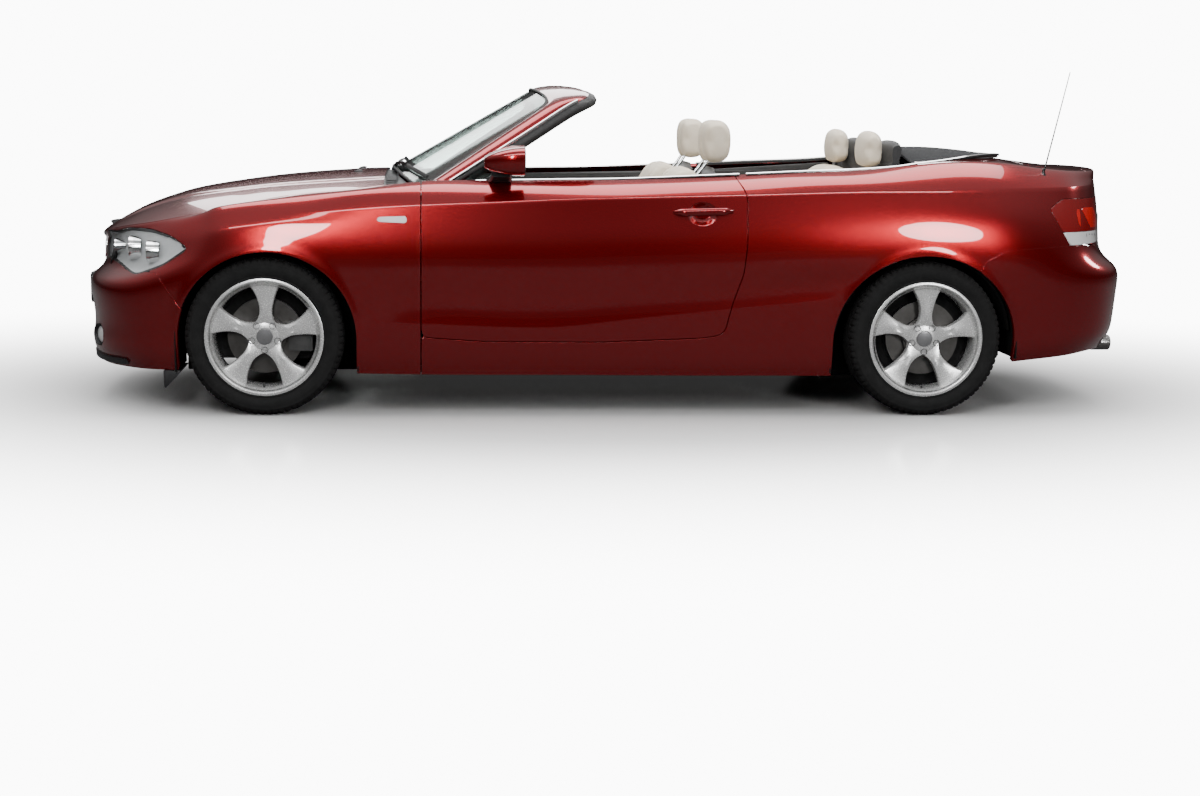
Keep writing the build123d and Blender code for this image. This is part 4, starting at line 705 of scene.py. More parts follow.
def wrap_grid(columns=440, per_level=9):
    """The side of the body, from the middle of the nose round the left flank to the middle of the tail."""
    c = wrap_controls()
    c[:, :, 0] *= HALF_LENGTH / np.abs(c[:, :, 0]).max()
    # a point inboard of the top edge on the top surface gives the edge its slope
    top = c[:, 9]
    inboard = top.copy()
    for i, (x, y, z) in enumerate(top):
        step = 0.045
        if x > 0.95:
            lean = smoothstep(1.55, 2.05, x)
            q = (x - step * lean, max(y - step * (1 - 0.8 * lean), 0))
            inboard[i] = q + (bonnet_height(*q),)
        elif x < -1.55:
            lean = smoothstep(-1.80, -2.05, x)
            q = (x + step * lean, max(y - step * (1 - 0.8 * lean), 0))
            inboard[i] = q + (deck_height(*q),)
        else:
            inboard[i] = (x, y - 0.045, z + 0.010)
    c = np.concatenate([c, inboard[:, None]], axis=1)
    flip = np.array([1.0, -1.0, 1.0])
    c = np.concatenate([c[2:0:-1] * flip, c, c[-2:-4:-1] * flip])
    along = np.concatenate([[0], np.cumsum(np.linalg.norm(np.diff(c[:, 3:8].mean(axis=1), axis=0), axis=1))])
    at = np.linspace(along[2], along[-3], columns)
    rails = spline(along, c, at)
    up = np.concatenate([[0], np.cumsum(np.linalg.norm(np.diff(c, axis=1), axis=2).mean(axis=0))])
    steps = [np.linspace(up[k], up[k + 1], per_level, endpoint=False) for k in range(LEVELS - 1)]
    t = np.concatenate(steps + [[up[LEVELS - 1]]])
    soft = np.stack([spline(up, col, t) for col in rails])
    hard = soft.copy()
    for low, high in ((0, CREASES[0]), (CREASES[0], CREASES[1]), (CREASES[1], LEVELS)):
        part = (t >= up[low] - 1e-9) & (t <= up[min(high, LEVELS)] + 1e-9)
        hard[:, part] = np.stack([spline(up[low:high + 1], col[low:high + 1], t[part]) for col in rails])
    x = soft[:, :, 0]
    level = np.interp(t, up, np.arange(len(up)))[None]
    shoulder = smoothstep(1.50, 1.15, x) * smoothstep(-2.02, -1.90, x)
    swage = smoothstep(1.12, 0.95, x) * smoothstep(-0.95, -0.80, x)
    near_low = 1 - smoothstep(3.5, 5.5, level)
    w = np.clip(swage * near_low + shoulder * (1 - near_low), 0, 1)[..., None]
    grid = soft + w * (hard - soft)
    grid[:, :, 1] += np.where(grid[:, :, 1] > 0.5, arch_flare(grid[:, :, 0], grid[:, :, 2]), 0)
    grid[:, :, 1] = np.minimum(grid[:, :, 1], WIDEST_Y)
    grid[0, :, 1] = grid[-1, :, 1] = 0.0
    return grid


def topped(wrap, height, near, far, flip, rows=64):
    """Adds the top surface to some columns of the wrap: rows from the top edge in to the centre line."""
    rail = wrap[:, -1]
    run = np.concatenate([[0], np.cumsum(np.linalg.norm(np.diff(rail, axis=0), axis=1))])
    run /= run[-1]
    centre = np.stack([near + (far - near) * run, np.zeros(len(run))], axis=1)
    t = (np.linspace(0, 1, rows + 1)[1:] ** 1.15)[None, :, None]
    plan = rail[:, None, :2] * (1 - t) + centre[:, None] * t
    z = height(plan[..., 0], plan[..., 1])
    z = z + (rail[:, 2] - height(rail[:, 0], rail[:, 1]))[:, None] * (1 - t[..., 0]) ** 5
    grid = np.concatenate([wrap, np.dstack([plan, z])], axis=1)
    step = np.linalg.norm(np.diff(grid, axis=1), axis=2)
    run = np.concatenate([np.zeros((len(grid), 1)), np.cumsum(step, axis=1)], axis=1)
    skin = Skin(grid, flip)
    skin.inboard = run - run[:, wrap.shape[1] - 1:wrap.shape[1]]
    return skin


WRAP = wrap_grid()
rail_x = WRAP[:, -1, 0]
FRONT_COLUMNS = int(np.argmax(rail_x < 0.962))       # the bonnet ends at the cowl
REAR_COLUMNS = int(np.argmax(rail_x < -1.212))       # the deck begins behind the cabin
front_skin = topped(WRAP[:FRONT_COLUMNS + 1], bonnet_height, 2.118, rail_x[FRONT_COLUMNS], False)
rear_skin = topped(WRAP[REAR_COLUMNS:][::-1], deck_height, -2.080, rail_x[REAR_COLUMNS], True)
middle_skin = Skin(WRAP[FRONT_COLUMNS:REAR_COLUMNS + 1])
step = np.linalg.norm(np.diff(middle_skin.grid, axis=1), axis=2)
middle_skin.inboard = np.concatenate([-np.cumsum(step[:, ::-1], axis=1)[:, ::-1], np.zeros((len(step), 1))],
                                     axis=1)
for a, b in ((front_skin.normal[-1, :WRAP.shape[1]], middle_skin.normal[0]),
             (rear_skin.normal[-1, :WRAP.shape[1]], middle_skin.normal[-1])):
    a += b
    a /= np.linalg.norm(a, axis=1, keepdims=True)
    b[:] = a
for skin in (front_skin, rear_skin):
    for part in (skin.normal[0], skin.normal[:, -1]):
        part[:, 1] = 0
        part /= np.maximum(np.linalg.norm(part, axis=1, keepdims=True), 1e-9)
LEFT = [front_skin, middle_skin, rear_skin]
RIGHT = [s.mirrored() for s in LEFT]


# ---------------------------------------------------------------- shut lines, in metres
def mm(points):
    return np.array(points, float) * MM


DOOR = rounded(mm([(803, 1150), (803, 318), (560, 302), (100, 300), (-330, 318), (-412, 334), (-440, 452),
                   (-484, 576), (-496, 690), (-496, 890), (-450, 972), (-450, 1150)]), 0.030)
FRONT_BUMPER = rounded(mm([(2300, 60), (2300, 716), (1990, 716), (1990, 566), (1838, 566), (1748, 430),
                           (1600, 330), (1600, 60)]), 0.012)
HEADLAMP = rounded(mm([(2160, 706), (2160, 596), (2030, 588), (1965, 562), (1925, 552), (1813, 594),
                       (1712, 661), (1780, 706), (1870, 729), (1980, 727), (2040, 706)]), 0.024)
REAR_BUMPER = rounded(mm([(-2300, 60), (-2300, 652), (-2040, 652), (-1990, 690), (-1830, 697), (-1560, 678),
                          (-1470, 634), (-1440, 560), (-1440, 60)]), 0.012)
TAIL_LAMP = rounded(mm([(-1745, 846), (-1806, 884), (-2200, 884), (-2200, 706), (-1838, 698)]), 0.014)
TRUNK = rounded(mm([(-1690, -700), (-1690, 600), (-1780, 618), (-1920, 594), (-1975, 548), (-1994, 412),
                    (-2300, 412), (-2300, -412), (-1994, -412), (-1975, -548), (-1920, -594), (-1780, -618),
                    (-1690, -600)])[1:], 0.020)
TONNEAU = mm([(-1214, 0), (-1214, 676), (-1300, 664), (-1400, 640), (-1480, 604), (-1550, 540), (-1604, 440),
              (-1640, 290), (-1652, 0)])
TONNEAU = rounded(np.vstack([TONNEAU, TONNEAU[-2:0:-1] * (1, -1)]), 0.030)
TRUNK_LOW_Z = 0.660
LAMP_INNER_Y = 0.350
TAIL_LAMP_INNER_Y = 0.418


def both(*fields):
    """Where all the fields hold: the least of their distances."""
    out = fields[0]
    for f in fields[1:]:
        out = np.minimum(out, f)
    return out


def arch_field(x, z):
    """Distance outside the wheel arches, which run straight down below their centres."""
    out = 1e9
    for cx, cz, a, b in ARCH_OPENINGS:
        up = (np.sqrt(((x - cx) / a) ** 2 + ((z - cz) / b) ** 2) - 1) * min(a, b)
        out = np.minimum(out, np.where(z > cz, up, np.abs(x - cx) - a))
    return out


CUP = (-0.3145, 0.8155, 0.062, 0.048)    # middle of the cup behind the door handle, and its half axes


def cup_field(x, z):
    """Distance inside the handle's cup."""
    return (1 - np.sqrt(((x - CUP[0]) / CUP[2]) ** 2 + ((z - CUP[1]) / CUP[3]) ** 2)) * CUP[3]


def trunk_field(x, y, z, k):
    """Distance inside the boot lid's outline, seen from above."""
    return both(polygon_distance(TRUNK, x, y), z - TRUNK_LOW_Z)


def headlamp_field(x, y, z, k):
    """Distance inside a headlamp's outline, seen from the side."""
    return both(polygon_distance(HEADLAMP, x, z), y - LAMP_INNER_Y, -k - 0.004)


def tail_lamp_field(x, y, z, k):
    """Distance inside a tail lamp's outline, seen from the side."""
    return both(polygon_distance(TAIL_LAMP, x, z), y - TAIL_LAMP_INNER_Y)


def bumper_front_field(x, y, z, k):
    """Distance inside the front bumper's outline."""
    return both(polygon_distance(FRONT_BUMPER, x, z), -k)


def bumper_rear_field(x, y, z, k):
    """Distance inside the rear bumper's outline."""
    return polygon_distance(REAR_BUMPER, x, z)


GRILLE = rounded([(-0.300, 0.589), (0.300, 0.589), (0.318, 0.634), (0.296, 0.676), (-0.296, 0.676),
                  (-0.318, 0.634)], 0.020)
INTAKE = rounded([(-0.345, 0.244), (0.345, 0.244), (0.385, 0.290), (0.350, 0.326), (-0.350, 0.326),
                  (-0.385, 0.290)], 0.022)
FOG = (0.560, 0.292, 0.046)


def front_holes(x, y, z, k):
    """Distance outside the grille, the lower intake and the fog lamps."""
    holes = np.maximum(polygon_distance(GRILLE, y, z), polygon_distance(INTAKE, y, z))
    holes = np.maximum(holes, FOG[2] - np.hypot(y - FOG[0], z - FOG[1]))
    return np.where(x > 1.85, -holes, 1)


def jamb_edge(p, n):
    """Edges round a door's opening go in to its inner plane, and those of arches and sills straight in."""
    out = p - PANEL_EDGE * n
    side = np.sign(p[:, 1])
    x, z = p[:, 0], p[:, 2]
    door = (np.abs(polygon_distance(DOOR, x, z)) < 0.008) & (z < 1.0)
    out[door] = p[door]
    out[door, 1] = side[door] * JAMB_Y
    arch = np.abs(arch_field(x, z)) < 0.006
    out[arch] = p[arch] - np.stack([0 * x, side * 0.024, 0 * x], axis=1)[arch]
    return out


def paint_panel(name, skins, region, node, body="chassis", gap=SHUT_GAP / 2, **kw):
    """A painted panel cut from the skin, which stands for a CAD node."""
    v, n, f = panel_arrays(skins, region, gap)
    v, n, f = folded(v, n, f, **kw)
    obj = build(name, v, f, n, PAINT, body)
    if node:
        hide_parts(node)
    return obj


def door_back(p, n):
    """Maps a door's outer points to the inner plane of its panel."""
    out = p.copy()
    out[:, 1] = np.sign(p[:, 1]) * DOOR_BACK_Y
    return out


def look_along(skin, axis):
    """Turns a skin so that its middle faces along an axis."""
    i, j = (n // 2 for n in skin.normal.shape[:2])
    if skin.normal[i, j, axis] < 0:
        skin.normal, skin.flip = -skin.normal, True


def sheet_back(depth):
    """Maps outer points to the back of a sheet of some thickness."""
    return lambda p, n: p - depth * n


def make_body():
    """The painted panels, each with its shut lines."""
    for side, skins in (("left", LEFT), ("right", RIGHT)):
        def fender(x, y, z, k):
            return both(x - DOOR_FRONT_X, SHUT_GAP / 2 - SEAM / 2 - bumper_front_field(x, y, z, k),
                        -headlamp_field(x, y, z, k), arch_field(x, z) + SHUT_GAP / 2, -k)

        def flank(x, y, z, k):
            return both(DOOR_FRONT_X - x, -polygon_distance(DOOR, x, z),
                        SHUT_GAP / 2 - SEAM / 2 - bumper_rear_field(x, y, z, k), -tail_lamp_field(x, y, z, k),
                        arch_field(x, z) + SHUT_GAP / 2, -trunk_field(x, y, z, k), -k + 0.001 + SHUT_GAP / 2)

        paint_panel("fender_panel_" + side, skins, fender, "fender_" + side, edge=jamb_edge)
        paint_panel("flank_panel_" + side, skins[1:], flank, "body_side_" + side, edge=jamb_edge)
        paint_panel("door_panel_" + side, skins[1:2],
                    lambda x, y, z, k: both(polygon_distance(DOOR, x, z), SHUT_GAP / 2 - cup_field(x, z)),
                    "door_" + side, "door_" + side, back=door_back)

    def bumper_front(x, y, z, k):
        return both(bumper_front_field(x, y, z, k), -headlamp_field(x, y, z, k), front_holes(x, y, z, k),
                    arch_field(x, z) + SHUT_GAP / 2, -k)

    def bumper_rear(x, y, z, k):
        return both(bumper_rear_field(x, y, z, k), -tail_lamp_field(x, y, z, k),
                    arch_field(x, z) + SHUT_GAP / 2, TRUNK_LOW_Z - z + np.where(y > 0.45, 1, 0))

    both_sides = [LEFT[0], RIGHT[0]]
    paint_panel("bumper_front_panel", both_sides, bumper_front, "front_bumper", gap=SEAM / 2, depth=0.022)
    paint_panel("bonnet_panel", both_sides, lambda x, y, z, k: k, "hood", "hood", back=sheet_back(0.012))
    both_sides = [LEFT[2], RIGHT[2]]
    paint_panel("bumper_rear_panel", both_sides, bumper_rear, "rear_bumper", gap=SEAM / 2, depth=0.022)
    paint_panel("boot_lid_panel", both_sides, trunk_field, "trunk_lid", "trunk_lid", back=sheet_back(0.012))

    def deck(x, y, z, k):
        return both(-trunk_field(x, y, z, k), -polygon_distance(TONNEAU, x, y), k + 0.001 + SHUT_GAP / 2,
                    TONNEAU_FRONT_X - x + 0.02)

    paint_panel("deck_panel", both_sides, deck, "rear_deck")


# ---------------------------------------------------------------- camera, floor and light
def camera():
    """The photograph's camera, as solved from the wheels and the belt lines."""
    yaw, pitch, roll = -0.0874, 0.1525, 0.0135
    ahead = Vector((sin(yaw) * cos(pitch), -cos(yaw) * cos(pitch), -sin(pitch)))
    right = ahead.cross(Vector((0, 0, 1))).normalized()
    up = right.cross(ahead)
    r2 = cos(roll) * right + sin(roll) * up
    u2 = -sin(roll) * right + cos(roll) * up
    cam = bpy.data.cameras.new("camera")
    cam.sensor_width = 36
    cam.lens = 56.98
    obj = bpy.data.objects.new("camera", cam)
    m = Matrix((r2, u2, -ahead)).transposed().to_4x4()
    m.translation = (0.7455, 8.3721, 1.2347)
    obj.matrix_world = m
    bpy.context.scene.collection.objects.link(obj)
    bpy.context.scene.camera = obj


def area_light(name, at, towards, size, power, shape="RECTANGLE"):
    """A soft light that the camera doesn't see."""
    light = bpy.data.lights.new(name, "AREA")
    light.shape = shape
    light.size, light.size_y = size
    light.energy = power
    obj = bpy.data.objects.new(name, light)
    obj.location = at
    obj.rotation_euler = (Vector(towards) - Vector(at)).to_track_quat("-Z", "Y").to_euler()
    bpy.context.scene.collection.objects.link(obj)
    obj.visible_camera = False
    return obj


def studio():
    """A white backdrop, a dim room for reflections and the studio's lights."""
    world = bpy.data.worlds.new("studio")
    bpy.context.scene.world = world
    world.use_nodes = True
    nt = world.node_tree
    nt.nodes.clear()
    out = nt.nodes.new("ShaderNodeOutputWorld")
    mix = nt.nodes.new("ShaderNodeMixShader")
    white = nt.nodes.new("ShaderNodeBackground")
    room = nt.nodes.new("ShaderNodeBackground")
    path = nt.nodes.new("ShaderNodeLightPath")
    coord = nt.nodes.new("ShaderNodeTexCoord")
    split = nt.nodes.new("ShaderNodeSeparateXYZ")
    shift = nt.nodes.new("ShaderNodeMapRange")
    set_inputs(white, {0: (1, 1, 1, 1), 1: WHITE_GLOW})
    set_inputs(shift, {1: -1, 2: 1})
    stops = [(0.0, 0.10), (0.47, 0.05), (0.500, 0.025), (0.540, 0.025), (0.58, 0.10), (0.66, 0.22),
             (0.76, 0.55), (1.0, 0.95)]
    ramp = ramp_of(nt, shift.outputs[0], [(at, (level,) * 3) for at, level in stops])
    link(nt, (coord.outputs["Generated"], split.inputs[0]), (split.outputs["Z"], shift.inputs[0]),
         (ramp.outputs[0], room.inputs[0]))
    room.inputs[1].default_value = 0.9
    link(nt, (path.outputs["Is Camera Ray"], mix.inputs[0]), (room.outputs[0], mix.inputs[1]),
         (white.outputs[0], mix.inputs[2]), (mix.outputs[0], out.inputs[0]))
    area_light("overhead", (0, 0.3, 4.6), (0, 0.2, 0), (6.5, 2.4), 330)
    area_light("side_bank", (0.2, 5.2, 4.4), (0, 0.6, 0.5), (7.0, 0.5), 150)
    area_light("far_bank", (0.0, -4.6, 3.2), (0, 0, 0.5), (6.0, 1.4), 120)
    area_light("rear_card", (-2.98, 6.50, 1.66), (-1.275, 0.86, 0.74), (1.15, 1.30), 110, shape="ELLIPSE")
    area_light("front_card", (1.85, 6.20, 2.65), (1.27, 0.86, 0.74), (0.66, 2.10), 112, shape="ELLIPSE")
    area_light("tail_card", (-6.40, 0.00, 2.80), (-1.93, 0.77, 0.63), (1.30, 0.80), 70, shape="ELLIPSE")


def floor():
    """A pale floor that fades to the white of the backdrop away from the car, and stays dim in the paint."""
    mat, nt, bsdf = new_material("studio_floor")
    set_inputs(bsdf, {"Base Color": (0.92, 0.92, 0.92, 1), "Roughness": 0.13, "Specular IOR Level": 0.40})
    out = nt.nodes["Material Output"]
    coord = nt.nodes.new("ShaderNodeTexCoord")
    stretch = nt.nodes.new("ShaderNodeMapping")
    stretch.inputs["Scale"].default_value = (0.30, 0.46, 1.0)
    reach = nt.nodes.new("ShaderNodeVectorMath")
    reach.operation = "LENGTH"
    fade = nt.nodes.new("ShaderNodeMapRange")
    fade.interpolation_type = "SMOOTHSTEP"
    set_inputs(fade, {1: 0.55, 2: 1.75})
    glow = nt.nodes.new("ShaderNodeEmission")
    glow.inputs[1].default_value = WHITE_GLOW
    pale = nt.nodes.new("ShaderNodeMixShader")
    dim = nt.nodes.new("ShaderNodeBsdfDiffuse")
    dim.inputs[0].default_value = (0.11, 0.11, 0.11, 1)
    path = nt.nodes.new("ShaderNodeLightPath")
    seen = nt.nodes.new("ShaderNodeMixShader")
    link(nt, (coord.outputs["Object"], stretch.inputs[0]), (stretch.outputs[0], reach.inputs[0]),
         (reach.outputs["Value"], fade.inputs[0]), (fade.outputs[0], pale.inputs[0]),
         (bsdf.outputs[0], pale.inputs[1]), (glow.outputs[0], pale.inputs[2]),
         (path.outputs["Is Camera Ray"], seen.inputs[0]), (dim.outputs[0], seen.inputs[1]),
         (pale.outputs[0], seen.inputs[2]), (seen.outputs[0], out.inputs[0]))
    mesh = bpy.data.meshes.new("floor")
    r = 30
    mesh.from_pydata([(-r, -r, 0), (r, -r, 0), (r, r, 0), (-r, r, 0)], [], [(0, 1, 2, 3)])
    obj = bpy.data.objects.new("floor", mesh)
    bpy.context.scene.collection.objects.link(obj)
    mesh.materials.append(mat)


# ---------------------------------------------------------------- general forms
def sharp(obj, angle=38):
    """Keeps edges sharper than an angle hard."""
    obj.data.set_sharp_from_angle(angle=radians(angle))
    return obj


def loft(loops, closed_ends=True, closed_path=False):
    """A surface through closed loops of points, each with the same count."""
    L = np.asarray(loops, float)
    n, m = L.shape[:2]
    v = L.reshape(-1, 3)
    f = []
    for i in range(n if closed_path else n - 1):
        a, b = i * m, ((i + 1) % n) * m
        for j in range(m):
            k = (j + 1) % m
            f.append((a + j, a + k, b + k, b + j))
    if closed_ends and not closed_path:
        f.append(tuple(range(m - 1, -1, -1)))
        f.append(tuple(range((n - 1) * m, n * m)))
    return v, f


def sweep(path, section, up=(0, 0, 1), scale=None, closed=False):
    """Carries a section, points (across, up), along a path."""
    p = np.asarray(path, float)
    s = np.asarray(section, float)
    t = np.roll(p, -1, axis=0) - np.roll(p, 1, axis=0) if closed else np.gradient(p, axis=0)
    t /= np.linalg.norm(t, axis=1, keepdims=True)
    across = np.cross(t, np.asarray(up, float))
    across /= np.maximum(np.linalg.norm(across, axis=1, keepdims=True), 1e-9)
    rise = np.cross(across, t)
    k = np.ones(len(p)) if scale is None else np.asarray(scale, float)
    loops = [p[i] + k[i] * (s[:, :1] * across[i] + s[:, 1:] * rise[i]) for i in range(len(p))]
    return loft(loops, not closed, closed)


def turn(count):
    """Angles evenly spread round a full turn."""
    return np.linspace(0, 2 * pi, count, endpoint=False)


def circle(radius, count=12):
    """A closed section."""
    a = turn(count)
    return np.stack([radius * np.cos(a), radius * np.sin(a)], axis=1)


def slab(width, height, corner, arc=3):
    """A rounded rectangle about the origin."""
    w, h = width / 2, height / 2
    return rounded([(-w, -h), (w, -h), (w, h), (-w, h)], corner, arc)


def lathe(profile, centre, count=96, axis=1, flip=False):
    """Turns (radius, along) points about an axis through centre; the profile is open or its ends meet."""
    p = np.asarray(profile, float)
    a = turn(count)
    u, w = {0: (1, 2), 1: (0, 2), 2: (0, 1)}[axis]
    v = np.zeros((len(p), count, 3))
    v[..., axis] = p[:, 1:2] + centre[axis]
    v[..., u] = p[:, :1] * np.cos(a) + centre[u]
    v[..., w] = p[:, :1] * np.sin(a) + centre[w]
    m = count
    f = []
    for i in range(len(p) - 1):
        for j in range(m):
            k = (j + 1) % m
            q = (i * m + j, i * m + k, (i + 1) * m + k, (i + 1) * m + j)
            f.append(q if not flip else q[::-1])
    return v.reshape(-1, 3), f


def joined(*parts):
    """Several forms as one."""
    V, F = [], []
    for v, f in parts:
        start = sum(len(a) for a in V)
        V.append(np.asarray(v, float))
        F += [tuple(i + start for i in face) for face in f]
    return np.vstack(V), F


def turned(part, angle, centre, axis="Y"):
    """Turns points about an axis through centre."""
    v, f = part
    r = np.array(Matrix.Rotation(angle, 3, axis))
    c = np.asarray(centre, float)
    return (np.asarray(v, float) - c) @ r.T + c, f


def add(name, part, material, body="chassis", angle=38, node=None, bevel=0):
    """Builds a form with clean faces, sharp edges above the angle and, if asked, bevelled edges."""
    obj = build(name, part[0], part[1], None, material, body)
    bm = bmesh.new()
    bm.from_mesh(obj.data)
    bmesh.ops.remove_doubles(bm, verts=bm.verts, dist=1e-6)
    bmesh.ops.recalc_face_normals(bm, faces=bm.faces)
    bm.to_mesh(obj.data)
    bm.free()
    if bevel:
        b = obj.modifiers.new("bevel", "BEVEL")
        b.width = bevel
        b.segments = 2
        b.limit_method = "ANGLE"
        b.angle_limit = radians(30)
        apply_modifiers(obj)
    sharp(obj, angle)
    if node:
        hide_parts(node)
    return obj


def apply_modifiers(obj):
    """Turns an object's modified form into its own mesh."""
    dg = bpy.context.evaluated_depsgraph_get()
    mesh = bpy.data.meshes.new_from_object(obj.evaluated_get(dg))
    old = obj.data
    obj.modifiers.clear()
    obj.data = mesh
    bpy.data.meshes.remove(old)


def prism(points, plane, low, high):
    """An outline in the plane named by its two axes, carried from low to high along the third."""
    p = np.asarray(points, float)
    a, b = ("xyz".index(c) for c in plane)
    c = 3 - a - b
    loops = []
    for at in (low, high):
        loop = np.zeros((len(p), 3))
        loop[:, a], loop[:, b], loop[:, c] = p[:, 0], p[:, 1], at
        loops.append(loop)
    return loft(loops)


def natural(points, count):
    """A smooth curve through points, with as many samples between each pair."""
    p = np.asarray(points, float)
    k = np.arange(len(p), dtype=float)
    return spline(k, p, np.linspace(0, len(p) - 1, count))


# ---------------------------------------------------------------- wheels
SPOKE_COUNT = 5


def spoke(angle, y0):
    """One spoke: wide and flat at the rim, a narrow waist with a raised ridge near the hub."""
    rows = [  # radius, half width, face height, crown, half width of the flat middle
        (0.044, 0.044, -0.018, 0.0000, 0.018), (0.070, 0.030, -0.014, 0.0035, 0.012),
        (0.090, 0.0245, -0.012, 0.0050, 0.009), (0.110, 0.0240, -0.011, 0.0055, 0.011),
        (0.135, 0.0285, -0.009, 0.0040, 0.018), (0.160, 0.0360, -0.007, 0.0020, 0.027),
        (0.185, 0.0470, -0.004, 0.0008, 0.038), (0.203, 0.0580, -0.002, 0.0002, 0.047),
        (0.216, 0.0660, 0.0005, 0.0000, 0.054)]
    loops = []
    for r, w, h, crown, flat in rows:
        bend = 0.006 * sin(pi * (r - 0.044) / 0.172)
        loop = []
        for s, d in ((-1.0, -0.036), (-1.06, -0.012), (-1.0, -0.0035), (-0.93, 0), (-flat / w, crown),
                     (0, crown * 0.55), (flat / w, crown), (0.93, 0), (1.0, -0.0035), (1.06, -0.012),
                     (1.0, -0.036)):
            loop.append((r, s * w + bend, h + d))
        loops.append(loop)
    a = np.array(loops)
    local = np.stack([a[..., 0] * cos(angle) - a[..., 1] * sin(angle), y0 + a[..., 2],
                      a[..., 0] * sin(angle) + a[..., 1] * cos(angle)], axis=-1)
    return loft(local)


def wheel(name, x, y, side, body):
    """A five-spoke alloy wheel with its tyre; y is the wheel's middle plane and side its outward sign."""
    c = (0.0, 0.0, 0.0)
    face = 0.083
    barrel = lathe([(0.2335, 0.094), (0.2335, 0.097), (0.2300, 0.0985), (0.2240, 0.0985), (0.2195, 0.0955),
                    (0.2150, 0.0860), (0.2110, 0.0760), (0.2075, 0.0560), (0.2060, 0.0100), (0.2085, -0.0600),
                    (0.2160, -0.0860), (0.2310, -0.0900), (0.2335, -0.0930), (0.2335, -0.0970),
                    (0.2270, -0.0975), (0.2110, -0.0880), (0.2035, -0.0600), (0.2010, 0.0100), (0.2020, 0.0600),
                    (0.2060, 0.0840), (0.2120, 0.0930)], c, 120)
    hub = lathe([(0.0, face - 0.052), (0.066, face - 0.050), (0.070, face - 0.030), (0.066, face - 0.0200),
                 (0.052, face - 0.0145), (0.0345, face - 0.0130), (0.0330, face - 0.0150),
                 (0.0, face - 0.0150)], c, 60)
    parts = [barrel, hub]
    for i in range(SPOKE_COUNT):
        parts.append(spoke(pi / 2 + i * 2 * pi / SPOKE_COUNT, face))
    rim = joined(*parts)
    cap = lathe([(0.0315, face - 0.018), (0.0315, face - 0.0105), (0.0295, face - 0.0085),
                 (0.020, face - 0.0072), (0.0, face - 0.0066)], c, 48)
    bolts = []
    for i in range(SPOKE_COUNT):
        a = pi / 2 + pi / SPOKE_COUNT + i * 2 * pi / SPOKE_COUNT
        at = (0.0530 * cos(a), 0, 0.0530 * sin(a))
        bolts.append(lathe([(0.0125, face - 0.015), (0.0132, face - 0.0095), (0.0116, face - 0.0095),
                            (0.0110, face - 0.022), (0.0072, face - 0.022), (0.0066, face - 0.0165),
                            (0.0, face - 0.0165)], at, 20))
    valve_at = -pi / 2 + 0.02
    stem = np.linspace(0, 1, 6)[:, None]
    valve = sweep(np.array([0.199 * cos(valve_at), 0.066, 0.199 * sin(valve_at)]) * (1 - stem)
                  + np.array([0.186 * cos(valve_at), 0.090, 0.186 * sin(valve_at)]) * stem, circle(0.0042, 10),
                  up=(1, 0, 0))
    tyre = tyre_mesh()

    def placed(part):
        v, f = part
        v = np.asarray(v, float) * (1, side, 1) + (x, y, TYRE_RADIUS)
        return v, ([tuple(reversed(q)) for q in f] if side < 0 else f)

    cut = -0.094 if name.startswith("front") else -0.197      # clear of the lower arm on a wheel that steers
    round_edge = [(0.197 * cos(a), max(0.197 * sin(a), cut)) for a in turn(72)]
    shield = loft([[(k * u, at, k * w) for u, w in round_edge]
                   for k, at in ((0.97, -0.013), (1.0, -0.009), (1.0, 0.003), (0.985, 0.003), (0.955, -0.007))])
    add("dust_shield_" + name, placed(shield), LINER, "knuckle_" + name[6:] if name[0] == "f" else "chassis",
        40)
    add("rim_" + name, placed(rim), ALLOY, body, 30, node="rim_" + name)
    add("wheel_cap_" + name, placed(cap), CAP_GREY, body, 30)
    add("wheel_bolts_" + name, placed(joined(*bolts)), BLACK, body, 30)
    add("valve_" + name, placed(valve), RUBBER, body, 30)
    add("tyre_tread_" + name, placed(tyre), TYRE, body, 26, node="tyre_" + name)


def tyre_mesh(count=144):
    """A tyre with four grooves round it, cross sipes in its shoulders and ribs on its sidewalls."""
    half = [(0.2290, 0.0905), (0.2335, 0.0935), (0.2395, 0.0955), (0.2420, 0.0935), (0.2450, 0.0945),
            (0.2560, 0.0995), (0.2680, 0.1022), (0.2790, 0.1018), (0.2870, 0.0998), (0.2890, 0.1000),
            (0.2910, 0.0986), (0.2985, 0.0950), (0.3050, 0.0890), (0.3090, 0.0830), (0.3105, 0.0800)]
    tread = [(0.3108, 0.0780), (0.3122, 0.0620), (0.3125, 0.0580), (0.3062, 0.0570), (0.3062, 0.0500),
             (0.3128, 0.0490), (0.3136, 0.0260), (0.3070, 0.0250), (0.3070, 0.0170), (0.3138, 0.0160)]
    profile = half + tread + [(r, -w) for r, w in tread[::-1]] + [(r, -w) for r, w in half[::-1]]
    profile += [(0.2250, -0.0860), (0.2250, 0.0860), (0.2290, 0.0905)]
    v, f = lathe(profile, (0, 0, 0), count * 2)
    v = v.reshape(len(profile), count * 2, 3)
    radius = np.hypot(v[..., 0], v[..., 2])
    lane = np.abs(v[..., 1])
    sipe = (np.arange(count * 2) % 4 == 0)[None]
    cut = np.where((lane > 0.0585) & (radius > 0.296) & sipe, 0.0050, 0)
    sipe2 = (np.arange(count * 2) % 6 == 2)[None]
    cut = cut + np.where((lane > 0.027) & (lane < 0.0495) & (radius > 0.310) & sipe2, 0.0030, 0)
    k = (radius - cut) / radius
    v[..., 0] *= k
    v[..., 2] *= k
    # the tread flattens a little where it carries the car, and stays above the floor
    v[..., 2] = np.maximum(v[..., 2], -TYRE_RADIUS + FLAT_SPOT)
    return v.reshape(-1, 3), f


